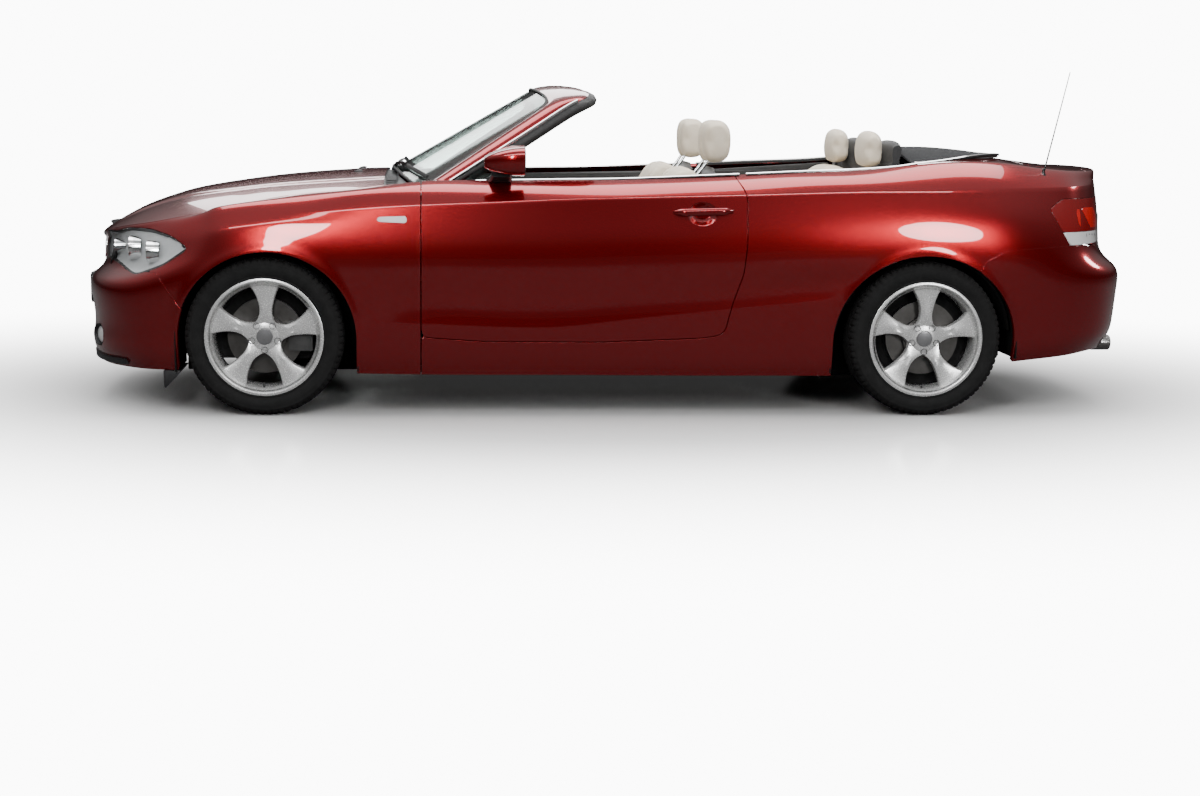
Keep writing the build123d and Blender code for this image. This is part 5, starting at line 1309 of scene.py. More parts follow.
def make_wheels():
    """The four wheels with their tyres."""
    for name, x, track, side in (("front_left", FRONT_AXLE_X, FRONT_TRACK, 1),
                                 ("front_right", FRONT_AXLE_X, FRONT_TRACK, -1),
                                 ("rear_left", REAR_AXLE_X, REAR_TRACK, 1),
                                 ("rear_right", REAR_AXLE_X, REAR_TRACK, -1)):
        wheel(name, x, side * track / 2, side, "wheel_" + name)


# ---------------------------------------------------------------- windscreen, frame and cowl
def glass_x(y, z):
    """The bowed and raked sheet of the windscreen, flatter towards its top."""
    bow = 1.05 - np.sqrt(1.05**2 - np.minimum(np.abs(y), 0.9) ** 2)
    return 0.891 - 1.728 * (z - 0.976) - bow * (1 - 0.25 * np.clip((z - 0.92) / 0.38, 0, 1))


def glass_foot(y, middle=0.958):
    """The height of the windscreen's foot, from its middle out."""
    return middle - 0.066 * (min(abs(y), GLASS_FOOT_Y) / GLASS_FOOT_Y) ** 2.2


def bonnet_z(x, y):
    """The bonnet's height as a plain number."""
    return float(bonnet_height(np.array(x), np.array(y)))


FRAME_FRONT = [(0.655, 0.872), (0.650, 0.904), (0.634, 1.010), (0.619, 1.115), (0.603, 1.205), (0.568, 1.245),
               (0.470, 1.270), (0.290, 1.290), (0.0, 1.300)]
FRAME_REAR = [(0.772, 0.702, 0.873), (0.690, 0.700, 0.924), (0.535, 0.688, 1.024), (0.360, 0.673, 1.136),
              (0.212, 0.657, 1.232), (0.140, 0.624, 1.268), (0.122, 0.490, 1.289), (0.142, 0.300, 1.303),
              (0.160, 0.0, 1.310)]


def whole(points):
    """A curve from side to side, mirrored from its left half."""
    p = np.asarray(points, float)
    return np.vstack([p, p[-2::-1] * (1, -1, 1)])


def screen_frame_curves(count=150):
    """The front and rear edges of the windscreen frame, and its outward direction."""
    front = whole([(glass_x(y, z), y, z) for y, z in FRAME_FRONT])
    rear = whole(FRAME_REAR)
    f, r = natural(front, count), natural(rear, count)
    mid = (f + r) / 2
    along = np.gradient(mid, axis=0)
    out = np.cross(r - f, along)
    out /= np.linalg.norm(out, axis=1, keepdims=True)
    if out[len(out) // 2, 2] < 0:
        out = -out
    return f, r, out


def make_screen():
    """The windscreen frame with its trims and seals, the glass, the cabin mirror and the visors."""
    f, r, out = screen_frame_curves()
    loops = []
    for t, h in ((0.0, 0.0), (0.04, 0.006), (0.20, 0.012), (0.45, 0.0155), (0.70, 0.0135), (0.92, 0.0075),
                 (1.0, 0.0), (1.0, -0.030), (0.80, -0.040), (0.30, -0.036), (0.02, -0.022)):
        loops.append(f + t * (r - f) + h * out)
    v, faces = loft(np.array(loops).transpose(1, 0, 2))
    v[:, 2] = np.minimum(v[:, 2], 1.3255)
    add("screen_frame", (v, faces), PAINT, node="windscreen_frame", angle=50)
    # bright strip up the pillars' rear edges, a black seal behind it and right across the header
    n = len(f)
    stop = int(n * 0.285)
    strip = r + 0.0035 * out
    for side, part in (("left", slice(3, stop)), ("right", slice(n - stop, n - 3))):
        add("pillar_strip_" + side, sweep(strip[part], slab(0.010, 0.014, 0.004), up=(0, 0.35, 1)), CHROME)
    tangent = np.gradient(r, axis=0)
    tangent /= np.linalg.norm(tangent, axis=1, keepdims=True)
    back = np.cross(tangent, out)
    back *= np.sign(np.sum(back * (r - f), axis=1))[:, None]
    loops = []
    for b, h in ((-0.004, -0.002), (0.010, -0.003), (0.024, -0.012), (0.030, -0.026), (0.024, -0.038),
                 (0.006, -0.042), (-0.006, -0.036)):
        loops.append(r + b * back + h * out)
    loops = np.array(loops).transpose(1, 0, 2)
    cut = (f[:, 2] > 0.955) | (r[:, 2] > 0.965)
    first = int(np.argmax(cut))
    add("frame_seal", loft(loops[first:n - first]), RUBBER, angle=50)
    # black gasket between the glass and the frame
    gasket = f + 0.0015 * out
    add("glass_gasket", sweep(gasket[2:-2], slab(0.017, 0.009, 0.003), up=(-0.5, 0, 0.86)), RUBBER)
    low = [(glass_x(y, z) + 0.004, y, z + 0.001) for y, z in
           ((y, glass_foot(y, 0.962)) for y in np.linspace(-GLASS_FOOT_Y, GLASS_FOOT_Y, 41))]
    add("glass_foot_seal", sweep(low, slab(0.030, 0.010, 0.004), up=(-0.5, 0, 0.86)), BLACK)
    ys, zs = np.linspace(-0.665, 0.665, 90), np.linspace(0.885, 1.312, 46)
    yy, zz = np.meshgrid(ys, zs, indexing="ij")
    pane = Skin(np.stack([glass_x(yy, zz), yy, zz], axis=2))
    look_along(pane, 0)
    pane.inboard = np.zeros(yy.shape)
    edge = np.vstack([[(y, glass_foot(y, 0.960)) for y in np.linspace(0, GLASS_FOOT_Y, 16)], FRAME_FRONT[2:]])
    edge = np.vstack([edge, edge[-2:0:-1] * (-1, 1)])
    v = pane.grid.reshape(-1, 3)
    field = polygon_distance(edge, v[:, 1], v[:, 2])
    gv, gn, gf = clip(v, pane.normal.reshape(-1, 3), pane.faces(), field - 0.001)
    gv, gn, gf = folded(gv, gn, gf, bevel=0.0006, back=lambda p, q: p - 0.005 * q)
    obj = build("screen_glass", gv, gf, gn, SCREEN)
    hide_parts("windscreen_glass")
    # printed black border on the inner face
    bv, bn, bf = clip(v, pane.normal.reshape(-1, 3), pane.faces(), field)
    inner = polygon_distance(edge, bv[:, 1], bv[:, 2])
    bands = 0.020 + 0.018 * smoothstep(0.20, 0.0, np.abs(bv[:, 1])) * smoothstep(1.24, 1.27, bv[:, 2])
    keep = [q for q in bf if min(inner[i] - bands[i] for i in q) < 0]
    build("screen_border", bv - 0.0062 * bn, keep, bn, GLOSS_BLACK)
    # mirror on the header, its stem and sun visors
    stem = natural([(0.310, 0, 1.268), (0.300, 0, 1.240), (0.285, 0, 1.222)], 8)
    add("cabin_mirror_stem", sweep(stem, circle(0.011, 12), up=(0, 1, 0)), BLACK)
    shell = []
    for x, k in ((0.292, 0.30), (0.296, 0.80), (0.288, 0.98), (0.276, 1.0), (0.268, 0.97)):
        loop = rounded([(-0.118, -0.026), (0.118, -0.026), (0.126, 0.026), (-0.126, 0.026)], 0.022, 6)
        shell.append([(x, y * (0.55 + 0.45 * k), 1.205 + z * k) for y, z in loop])
    add("cabin_mirror", loft(shell), BLACK, angle=40)
    face = rounded([(-0.112, -0.021), (0.112, -0.021), (0.120, 0.021), (-0.120, 0.021)], 0.018, 6)
    add("cabin_mirror_face", prism([(y, z + 1.205) for y, z in face], "yz", 0.2665, 0.2685), MIRROR_GLASS)
    for side in (1, -1):
        visor = []
        for x in np.linspace(0.175, 0.300, 7):
            k = (x - 0.175) / 0.125
            z = 1.272 - 0.022 * k
            half = 0.165 - 0.015 * (2 * k - 1) ** 4
            loop = rounded([(-half, -0.006), (half, -0.006), (half, 0.006), (-half, 0.006)], 0.005, 3)
            visor.append([(x - 0.055 * ((y + 0.335 * side) / 0.6) ** 2, y + 0.335 * side,
                           zz + z - 0.024 * ((y + 0.335 * side) / 0.6) ** 2) for y, zz in loop])
        add("sun_visor_" + ("left" if side > 0 else "right"), loft(visor), BLACK_LEATHER, angle=50)


def make_cowl():
    """The black cowl between bonnet and glass, its slots, the wipers and the washer jets."""
    ys = np.linspace(-0.742, 0.742, 120)
    rows = []
    for t in np.linspace(0, 1, 9):
        row = []
        for y in ys:
            front = (0.958, bonnet_z(0.958, y) - 0.004)
            zg = glass_foot(y)
            rear = (min(glass_x(y, zg) + 0.010, 0.90), zg - 0.004)
            dip = -0.018 * sin(pi * t) ** 0.7 if 0 < t < 1 else 0
            row.append((front[0] * (1 - t) + rear[0] * t, y, front[1] * (1 - t) + rear[1] * t + dip))
        rows.append(row)
    skin = Skin(np.array(rows))
    look_along(skin, 2)
    v, n, f = skin.grid.reshape(-1, 3), skin.normal.reshape(-1, 3), [tuple(q) for q in skin.faces()]
    v, n, f = folded(v, n, f, bevel=0.001, back=lambda p, q: p - 0.006 * q)
    obj = build("cowl_tray", v, f, n, BLACK)
    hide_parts("cowl_panel")
    slats = []
    for y in np.arange(-0.60, 0.601, 0.030):
        if abs(y) < 0.02:
            continue
        x0, x1 = 0.948, 0.905
        z0 = bonnet_z(x0, y) - 0.015
        slats.append(sweep([(x0, y, z0), (x1, y, z0 - 0.002)], slab(0.010, 0.008, 0.003), up=(0, 0, 1)))
    add("cowl_slats", joined(*slats), BLACK)
    blades, arms = [], []
    for y0, y1, pivot in ((0.615, -0.010, 0.030), (-0.030, -0.560, -0.560)):
        pts = []
        for y in np.linspace(y0, y1, 24):
            z = glass_foot(y) + 0.018 + 0.016 * abs(y - y1) / abs(y0 - y1)
            x = glass_x(y, z)
            pts.append((float(x) + 0.0135, y, z + 0.0085))
        blades.append(sweep(pts, [(-0.0035, -0.008), (0.0035, -0.008), (0.0045, 0.003), (0.0015, 0.009),
                                  (-0.0015, 0.009), (-0.0045, 0.003)], up=(-0.5, 0, 0.86)))
        mid = pts[11]
        foot = (0.918, pivot, bonnet_z(0.918, pivot) + 0.004)
        path = natural([foot, (0.5 * (foot[0] + mid[0]) + 0.014, 0.5 * (foot[1] + mid[1]),
                               0.5 * (foot[2] + mid[2]) + 0.016),
                        (mid[0] + 0.003, mid[1], mid[2] + 0.010)], 16)
        arms.append(sweep(path, slab(0.014, 0.009, 0.003), up=(0, 0, 1), scale=np.linspace(1.25, 0.75, 16)))
        arms.append(lathe([(0.0, 0.0), (0.017, 0.0), (0.019, 0.004), (0.016, 0.016), (0.008, 0.021),
                           (0.0, 0.022)],
                          (foot[0], foot[1], foot[2] - 0.012), 20, axis=2))
    add("wiper_blades", joined(*blades), RUBBER, node="wipers")
    add("wiper_arms", joined(*arms), BLACK)
    jets = []
    for y in (0.24, -0.24):
        z = bonnet_z(1.07, y)
        body = ((1.088, 0.006, 0.0012), (1.080, 0.011, 0.006), (1.066, 0.012, 0.0095), (1.052, 0.010, 0.008))
        loops = [[(x, y + w * sx, z - 0.002 + (h + 0.002) * sz)
                  for sx, sz in ((-1, 0), (-0.8, 0.8), (0, 1), (0.8, 0.8), (1, 0))]
                 for x, w, h in body]
        jets.append(loft(loops))
    add("washer_jets", joined(*jets), BLACK, "hood", angle=50)


# ---------------------------------------------------------------- lamps, grilles and plates
EXHAUST_Y = (0.410, 0.494)


def surface_point(skin, x, z):
    """The point and normal of a side skin nearest to a place seen from the side."""
    g = skin.grid
    d = (g[..., 0] - x) ** 2 + (g[..., 2] - z) ** 2 + 4 * np.maximum(0.3 - np.abs(g[..., 1]), 0) ** 2
    i = np.unravel_index(np.argmin(d), d.shape)
    return g[i], skin.normal[i]


def end_reader(skin, ahead):
    """A function (y, z) -> x of the nose or tail surface, first order about the nearest grid point."""
    g, n = skin.grid.reshape(-1, 3), skin.normal.reshape(-1, 3)
    use = (g[:, 0] * ahead > 1.45) & (n[:, 0] * ahead > 0.10)
    g, n = g[use], n[use]

    def read(y, z):
        i = np.argmin((g[:, 1] - abs(y)) ** 2 + (g[:, 2] - z) ** 2)
        p, q = g[i], n[i]
        return float(p[0] - ((abs(y) - p[1]) * q[1] + (z - p[2]) * q[2]) / q[0])

    return read


nose_x, tail_x = end_reader(LEFT[0], 1), end_reader(LEFT[2], -1)


def patch(name, skins, region, material, body="chassis", gap=SEAM / 2, lift=0.0, **kw):
    """A piece cut from the skin and lifted off it."""
    v, n, f = panel_arrays(skins, region, gap)
    v = v + lift * n
    v, n, f = folded(v, n, f, **kw)
    return build(name, v, f, n, material, body)


def make_lamps():
    """Headlamps, tail lamps, side indicators and fog lamps."""
    for side, skins, s in (("left", LEFT, 1), ("right", RIGHT, -1)):
        cover = patch("headlamp_cover_" + side, skins[:2], headlamp_field, CLEAR, lift=0.0005,
                      back=sheet_back(0.0035))
        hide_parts("headlamps")
        # the bowl behind the cover follows it, sunk by its depth
        v, n, f = panel_arrays(skins[:2], headlamp_field, 0.0015)
        field = headlamp_field(v[:, 0], np.abs(v[:, 1]), v[:, 2], 0 * v[:, 0] - 1)
        deep = 0.012 + 0.030 * smoothstep(0.004, 0.050, field)
        bowl = v - deep[:, None] * n
        build("headlamp_bowl_" + side, bowl, f, n, LAMP_BOWL)
        rim_v, rim_n, rim_f = folded(v - 0.005 * n, n, f, bevel=0.0004, edge=lambda p, q: p - 0.012 * q)
        tail = [q for q in rim_f if max(q) >= len(v)]
        build("headlamp_bezel_" + side, rim_v, tail, rim_n, BLACK)
        rings, eyes = [], []
        for x, z, y, r in ((2.010, 0.648, 0.600, 0.046), (1.960, 0.640, 0.705, 0.043),
                           (2.066, 0.644, 0.470, 0.030)):
            centre = (nose_x(y, z) - 0.022 - r * 0.5, y * s, z)
            rings.append(lathe([(r * 1.08, 0.020), (r * 1.10, 0.024), (r, 0.026), (r * 0.92, 0.018),
                                (r * 0.80, -0.004), (r * 0.78, -0.020), (r * 1.02, -0.024), (r * 1.08, 0.020)],
                               centre, 40, axis=0))
            eyes.append(lathe([(0.0, 0.022), (r * 0.40, 0.0185), (r * 0.66, 0.008), (r * 0.78, -0.006),
                               (r * 0.78, -0.014), (0.0, -0.014)], centre, 40, axis=0))
        add("headlamp_rings_" + side, joined(*rings), CHROME, angle=40)
        add("headlamp_lenses_" + side, joined(*eyes), LAMP_EYE, angle=50)
        patch("headlamp_gasket_" + side, skins[:2],
              lambda x, y, z, k: both(headlamp_field(x, y, z, k), 0.0075 - headlamp_field(x, y, z, k)), BLACK,
              lift=-0.0042, gap=0.0002, depth=0.010)
        # red lamp with a pale strip low in it
        def red(x, y, z, k):
            return both(tail_lamp_field(x, y, z, k), z - 0.752 - 0.004 * (x + 1.9))

        def pale(x, y, z, k):
            return both(tail_lamp_field(x, y, z, k), 0.7500 + 0.004 * (x + 1.9) - z)

        lens = patch("tail_lamp_red_" + side, skins[2:], red, RED_LENS, lift=0.001, depth=0.020)
        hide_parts("tail_lamps")
        patch("tail_lamp_pale_" + side, skins[2:], pale, CLEAR_LENS, lift=0.001, depth=0.020)
        for name, outline in (("brake", [(-1.900, 0.846), (-1.985, 0.846), (-2.045, 0.764), (-1.960, 0.764)]),
                              ("side", [(-1.870, 0.842), (-1.892, 0.842), (-1.894, 0.772), (-1.886, 0.772)])):
            shape = rounded(outline, 0.008, 4)
            patch("tail_lamp_%s_%s" % (name, side), skins[2:],
                  lambda x, y, z, k: both(polygon_distance(shape, x, z), tail_lamp_field(x, y, z, k) - 0.010),
                  BRIGHT_LENS, lift=0.0018, gap=0, depth=0.008)
        for i in range(5):
            x0 = -1.925 - 0.020 * i
            bar = [(x0, 0.728), (x0 - 0.009, 0.728), (x0 - 0.009, 0.742), (x0, 0.742)]
            patch("tail_lamp_bar_%d_%s" % (i, side), skins[2:],
                  lambda x, y, z, k: both(polygon_distance(bar, x, z), tail_lamp_field(x, y, z, k) - 0.003),
                  DARK_METAL, lift=0.0015, gap=0, depth=0.004)
        # side indicator
        spot = rounded([(0.859, 0.770), (0.966, 0.774), (0.978, 0.783), (0.966, 0.792), (0.859, 0.796)], 0.004)
        patch("side_indicator_" + side, skins[:2], lambda x, y, z, k: polygon_distance(spot, x, z), CLEAR_LENS,
              lift=0.003, gap=0, depth=0.008)
        # fog lamp with its bezel, square to the bumper's skin
        at = np.array([nose_x(FOG[0], FOG[1]), FOG[0] * s, FOG[1]])
        yaw = radians(38) * s
        ring = lathe([(0.0445, -0.002), (0.0450, 0.002), (0.0400, 0.003), (0.0365, -0.004), (0.0340, -0.026),
                      (0.0400, -0.030), (0.0445, -0.002)], (0, 0, 0), 48, axis=0)
        lens = lathe([(0.0, 0.000), (0.020, -0.003), (0.033, -0.010), (0.0345, -0.018), (0.030, -0.028),
                      (0.0, -0.030)], (0, 0, 0), 40, axis=0)
        for name, part, mat in (("fog_ring_", ring, BLACK), ("fog_lens_", lens, CLEAR_LENS)):
            v, f = turned(part, yaw, (0, 0, 0), "Z")
            obj = add(name + side, (v + at, f), mat, angle=50)
        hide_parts("fog_lamps")


def make_grilles():
    """Bars in the upper grille and a mesh in the lower intake, both behind the bumper's skin."""
    bars = []
    for z in np.linspace(0.596, 0.668, 8):
        half = 0.30 - 0.15 * abs(z - 0.634)
        path = [(nose_x(y, z) - 0.020, y, z) for y in np.linspace(-half, half, 31)]
        bars.append(sweep(np.array(path), [(-0.010, -0.0028), (0.010, -0.0016), (0.010, 0.0016),
                                           (-0.010, 0.0028)],
                          up=(0, 0, 1)))
    for y in np.linspace(-0.24, 0.24, 5):
        path = [(nose_x(y, z) - 0.030, y, z) for z in np.linspace(0.588, 0.678, 9)]
        bars.append(sweep(np.array(path), slab(0.004, 0.010, 0.001), up=(1, 0, 0)))
    add("grille_bars", joined(*bars), GLOSS_BLACK, node="grille")

    def sunk(name, outline, depth, material):
        def region(x, y, z, k):
            return np.where(x > 1.85, polygon_distance(outline, y, z), -1)
        v, n, f = panel_arrays([LEFT[0], RIGHT[0]], region, -0.004)
        v = v - depth * n
        build(name, v, f, n, material)

    sunk("grille_back", GRILLE, 0.050, LINER)
    sunk("intake_back", INTAKE, 0.060, LINER)
    ring = [(nose_x(y, z) + 0.0005, y, z) for y, z in cubic(GRILLE, 140, closed=True)]
    add("grille_surround", sweep(np.array(ring), slab(0.010, 0.009, 0.003), up=(1, 0, 0), closed=True), CHROME)
    mesh = []
    for z in np.linspace(0.250, 0.322, 7):
        path = [(nose_x(y, z) - 0.030, y, z) for y in np.linspace(-0.365, 0.365, 41)]
        mesh.append(sweep(np.array(path), slab(0.005, 0.003, 0.001), up=(0, 0, 1)))
    for y in np.linspace(-0.36, 0.36, 37):
        path = [(nose_x(y, z) - 0.028, y, z) for z in np.linspace(0.246, 0.326, 7)]
        mesh.append(sweep(np.array(path), slab(0.003, 0.004, 0.001), up=(1, 0, 0)))
    add("intake_mesh", joined(*mesh), BLACK)
    lip = [(nose_x(y, 0.215) - 0.004, y, 0.196 + 0.004 * abs(y)) for y in np.linspace(-0.70, 0.70, 61)]
    add("front_lip", sweep(np.array(lip), [(-0.020, -0.012), (0.006, -0.012), (0.008, 0.010), (-0.020, 0.014)],
                           up=(0, 0, 1)), BLACK)
    # blank plates and their holders
    for name, x, z, sign, body in (("front", max(nose_x(y, z) for y in (0, 0.25) for z in (0.40, 0.455, 0.51)),
                                    0.455, 1, "chassis"),
                                   ("rear", min(tail_x(y, z) for y in (0, 0.25) for z in (0.68, 0.74, 0.80)),
                                    0.740, -1, "trunk_lid")):
        outline = rounded([(-0.26, -0.056), (0.26, -0.056), (0.26, 0.056), (-0.26, 0.056)], 0.010, 5)
        plate = prism([(y, z + h) for y, h in outline], "yz", x + sign * 0.006, x + sign * 0.010)
        holder = prism([(y * 1.03, z + h * 1.14) for y, h in outline], "yz", x - sign * 0.020, x + sign * 0.006)
        add("plate_" + name, plate, PLATE, body, bevel=0.001)
        add("plate_holder_" + name, holder, BLACK, body, bevel=0.001)


# ---------------------------------------------------------------- trims along the sides
BELT = [(0.590, 0.716, 0.931), (0.441, 0.735, 0.935), (0.250, 0.741, 0.940), (0.048, 0.745, 0.944),
        (-0.160, 0.747, 0.953), (-0.375, 0.747, 0.964), (-0.560, 0.744, 0.973), (-0.747, 0.740, 0.983),
        (-0.969, 0.728, 0.993), (-1.134, 0.712, 1.006), (-1.218, 0.700, 1.018), (-1.330, 0.682, 1.032),
        (-1.430, 0.655, 1.047), (-1.510, 0.612, 1.055), (-1.580, 0.535, 1.056), (-1.632, 0.420, 1.052),
        (-1.662, 0.260, 1.048), (-1.674, 0.0, 1.047)]


def make_trims():
    """Belt strips and seals, the sail windows, door handles and wheel deflectors."""
    belt = natural(BELT, 220)
    for side, s in SIDES:
        flip = np.array([1, s, 1])
        door = belt[(belt[:, 0] > -0.486) & (belt[:, 0] < 0.60)]
        rear = belt[(belt[:, 0] < -0.500)]
        section = [(-0.007, -0.004), (0.007, -0.004), (0.007, 0.002), (0.004, 0.005), (-0.004, 0.005),
                   (-0.007, 0.002)]
        seal = [(-0.012, -0.010), (0.004, -0.010), (0.004, 0.001), (-0.004, 0.003), (-0.012, 0.0)]
        for name, path, body in (("door", door, "door_" + side), ("rear", rear, "chassis")):
            lift = path * flip + (0, 0, 0.0015)
            add("belt_strip_%s_%s" % (name, side), sweep(lift, section), CHROME, body)
            inner = (path + (0, -0.014, -0.001)) * flip
            add("belt_seal_%s_%s" % (name, side), sweep(inner,
                                                        seal if s > 0 else [(-a, b) for a, b in seal][::-1]),
                RUBBER, body)
        # triangle of glass ahead of the door's window, in its black frame
        tri = np.array([(0.672, 0.9270), (0.500, 1.0280), (0.486, 1.0240), (0.480, 0.9370)])
        loop = rounded(tri, 0.012, 5)
        lean = [(x, (0.718 - 0.12 * (z - 0.92)) * s, z) for x, z in loop]
        ring = sweep(np.array(lean), slab(0.013, 0.012, 0.003), up=(0, s, 0), closed=True)
        add("sail_frame_" + side, ring, RUBBER, "door_" + side)
        inner = rounded(np.array([(0.650, 0.934), (0.503, 1.020), (0.490, 1.016), (0.486, 0.943)]), 0.010, 5)
        front = [(x, (0.718 - 0.12 * (z - 0.92) + 0.002) * s, z) for x, z in inner]
        back = [(x, (0.718 - 0.12 * (z - 0.92) - 0.003) * s, z) for x, z in inner]
        add("sail_glass_" + side, loft([front, back]), SCREEN, "door_" + side)
        # door handle: a bar over a cup
        skins = LEFT if s > 0 else RIGHT
        v, n, f = panel_arrays(skins[1:2], lambda x, y, z, k: cup_field(x, z), -0.0008)
        depth = 0.026 * smoothstep(-0.001, 0.026, cup_field(v[:, 0], v[:, 2])) ** 0.8
        build("handle_cup_" + side, v - (0.0012 + depth)[:, None] * n, f, None, PAINT, "door_" + side)
        bar = []
        for t in np.linspace(0, 1, 25):
            x = -0.202 - 0.232 * t
            z = 0.8215 + 0.007 * t
            p = surface_point(skins[1], x, z)[0]
            stand = 0.006 + 0.022 * min(1, sin(pi * t) * 2.2)
            bar.append((x, abs(p[1]) + stand, z))
        bar = np.array(bar)
        k = 0.55 + 0.45 * np.minimum(1, np.sin(np.linspace(0, pi, 25)) * 3)
        part = sweep(bar * flip, [(-0.009, -0.009), (0.002, -0.0135), (0.008, -0.008), (0.0095, 0),
                                  (0.008, 0.008), (0.002, 0.0135), (-0.009, 0.009)] if s > 0 else
                     [(0.009, -0.009), (-0.002, -0.0135), (-0.008, -0.008), (-0.0095, 0), (-0.008, 0.008),
                      (-0.002, 0.0135), (0.009, 0.009)], scale=k)
        add("handle_bar_" + side, part, PAINT, "door_" + side, angle=60)
        # deflectors ahead of the wheels
        for name, x0, x1, z0, z1, y0, y1 in (("front", 1.812, 1.758, 0.106, 0.176, 0.560, 0.800),
                                             ("rear", -0.812, -0.850, 0.150, 0.190, 0.590, 0.800)):
            loop = [(x0, z0), (x0 + 0.006, z0 + 0.004), (x0 + 0.008, z1), (x1 - 0.010, z1)]
            add("deflector_%s_%s" % (name, side),
                prism(loop, "xz", *sorted((y0 * s, y1 * s))), BLACK, bevel=0.002)


def make_mirrors():
    """The door mirrors on their feet."""
    for side, s in SIDES:
        rows = []
        for t in np.linspace(0, 1, 13):
            x = 0.556 - 0.155 * t
            open_k = sin(min(1.0, 0.10 + t * 0.95) * pi / 2) ** 0.55
            half_y, half_z = 0.098 * open_k, 0.066 * open_k
            cy, cz = 0.893 + 0.010 * (1 - t), 1.017 - 0.006 * (1 - t)
            loop = rounded([(-half_y * 0.96, -half_z * 0.96), (half_y * 0.92, -half_z * 0.72),
                            (half_y, half_z * 0.80), (-half_y, half_z)], 0.050 * open_k, 7)
            rows.append([(x, (cy + a) * s, cz + b) for a, b in loop])
        add("mirror_shell_" + side, loft(rows), PAINT, "door_" + side, angle=50, node="mirror_" + side)
        rows = []
        for x, k in ((0.4015, 1.0), (0.398, 0.99), (0.3975, 0.93)):
            loop = rounded([(-0.094 * k, -0.063 * k), (0.090 * k, -0.047 * k), (0.098 * k, 0.052 * k),
                            (-0.098 * k, 0.066 * k)], 0.048 * k, 7)
            rows.append([(x, (0.893 + a) * s, 1.017 + b) for a, b in loop])
        add("mirror_rim_" + side, loft(rows), BLACK, "door_" + side)
        k = 0.86
        loop = rounded([(-0.094 * k, -0.063 * k), (0.090 * k, -0.047 * k), (0.098 * k, 0.052 * k),
                        (-0.098 * k, 0.066 * k)], 0.040, 7)
        face = [[(x, (0.893 + a) * s, 1.017 + b) for a, b in loop] for x in (0.3972, 0.3965)]
        add("mirror_face_" + side, loft(face), MIRROR_GLASS, "door_" + side)
        foot = []
        for y, z, hx, hz in ((0.716, 0.936, 0.056, 0.012), (0.744, 0.938, 0.050, 0.013),
                             (0.772, 0.944, 0.044, 0.014), (0.800, 0.954, 0.040, 0.013),
                             (0.826, 0.966, 0.038, 0.013)):
            loop = rounded([(-hx, -hz), (hx, -hz), (hx, hz), (-hx, hz)], 0.011, 5)
            foot.append([(0.492 + a - 0.006 * (y - 0.716) / 0.11, y * s, z + b) for a, b in loop])
        add("mirror_foot_" + side, loft(foot), BLACK, "door_" + side, angle=50)


def make_tail_parts():
    """The antenna and the third brake lamp."""
    mast = [(-1.738, 0.722, 0.990), (-1.783, 0.722, 1.194), (-1.8275, 0.722, 1.3965)]
    base = lathe([(0.0, 0.0), (0.013, 0.0), (0.012, 0.006), (0.0075, 0.016), (0.005, 0.034), (0.0, 0.036)],
                 (-1.7365, 0.722, 0.970), 20, axis=2)
    add("antenna_mast", joined(sweep(cubic(mast, 30), circle(0.0027, 10), up=(0, 1, 0),
                                           scale=np.linspace(1.4, 0.8, 30)), base), BLACK, node="antenna")
    def brake(x, y, z, k):
        return np.where(x < -1.9, both(0.150 - y, 0.010 - np.abs(z - 0.962)), -1)

    patch("third_brake_lamp", [LEFT[2], RIGHT[2]], brake, RED_LENS, "trunk_lid", lift=0.003, gap=0, depth=0.006)


def make_exhaust():
    """A rolled silencer across the tail with two short pipes and the long pipe from the engine."""
    corner = rounded([(-1.955, 0.206), (-1.665, 0.206), (-1.665, 0.326), (-1.955, 0.326)], 0.045, 7)
    rows = []
    for y, k in ((-0.398, 0.90), (-0.392, 0.97), (-0.380, 0.97), (-0.376, 1.0), (-0.360, 1.0), (-0.356, 0.975),
                 (0.060, 0.975), (0.064, 0.99), (0.076, 0.99), (0.080, 0.975), (0.486, 0.975), (0.490, 1.0),
                 (0.506, 1.0), (0.510, 0.97), (0.522, 0.97), (0.528, 0.90)):
        rows.append([(-1.81 + (x + 1.81) * k, y, 0.266 + (z - 0.266) * k) for x, z in corner])
    box = loft(rows)
    pipe = sweep(cubic([(-1.680, -0.060, 0.232), (-1.600, -0.060, 0.222), (-1.450, -0.060, 0.202),
                        (-0.400, -0.060, 0.200), (0.870, -0.060, 0.200)], 60), circle(0.026, 20), up=(0, 0, 1))
    stubs = [sweep(np.array([(-1.940, y, 0.262), (-2.090, y, 0.262)]), circle(0.024, 20), up=(0, 0, 1))
             for y in EXHAUST_Y]
    add("exhaust_silencer", joined(box, pipe, *stubs), EXHAUST, angle=35, node="exhaust")
    tips = [lathe([(0.0290, -0.050), (0.0325, -0.046), (0.0330, 0.026), (0.0315, 0.030), (0.0285, 0.026),
                   (0.0275, -0.030), (0.0, -0.032)], (-2.082, y, 0.262), 44, axis=0, flip=True)
            for y in EXHAUST_Y]
    add("exhaust_tips", joined(*tips), TIP_STEEL, angle=40)
    # a black disc deep in each tip: the pipe's soot, and painted shade standing for the dark inside of the pipe
    holes = [lathe([(0.0278, 0.0), (0.0, 0.0005)], (-2.100, y, 0.262), 44, axis=0) for y in EXHAUST_Y]
    add("exhaust_soot", joined(*holes), LINER, angle=40)


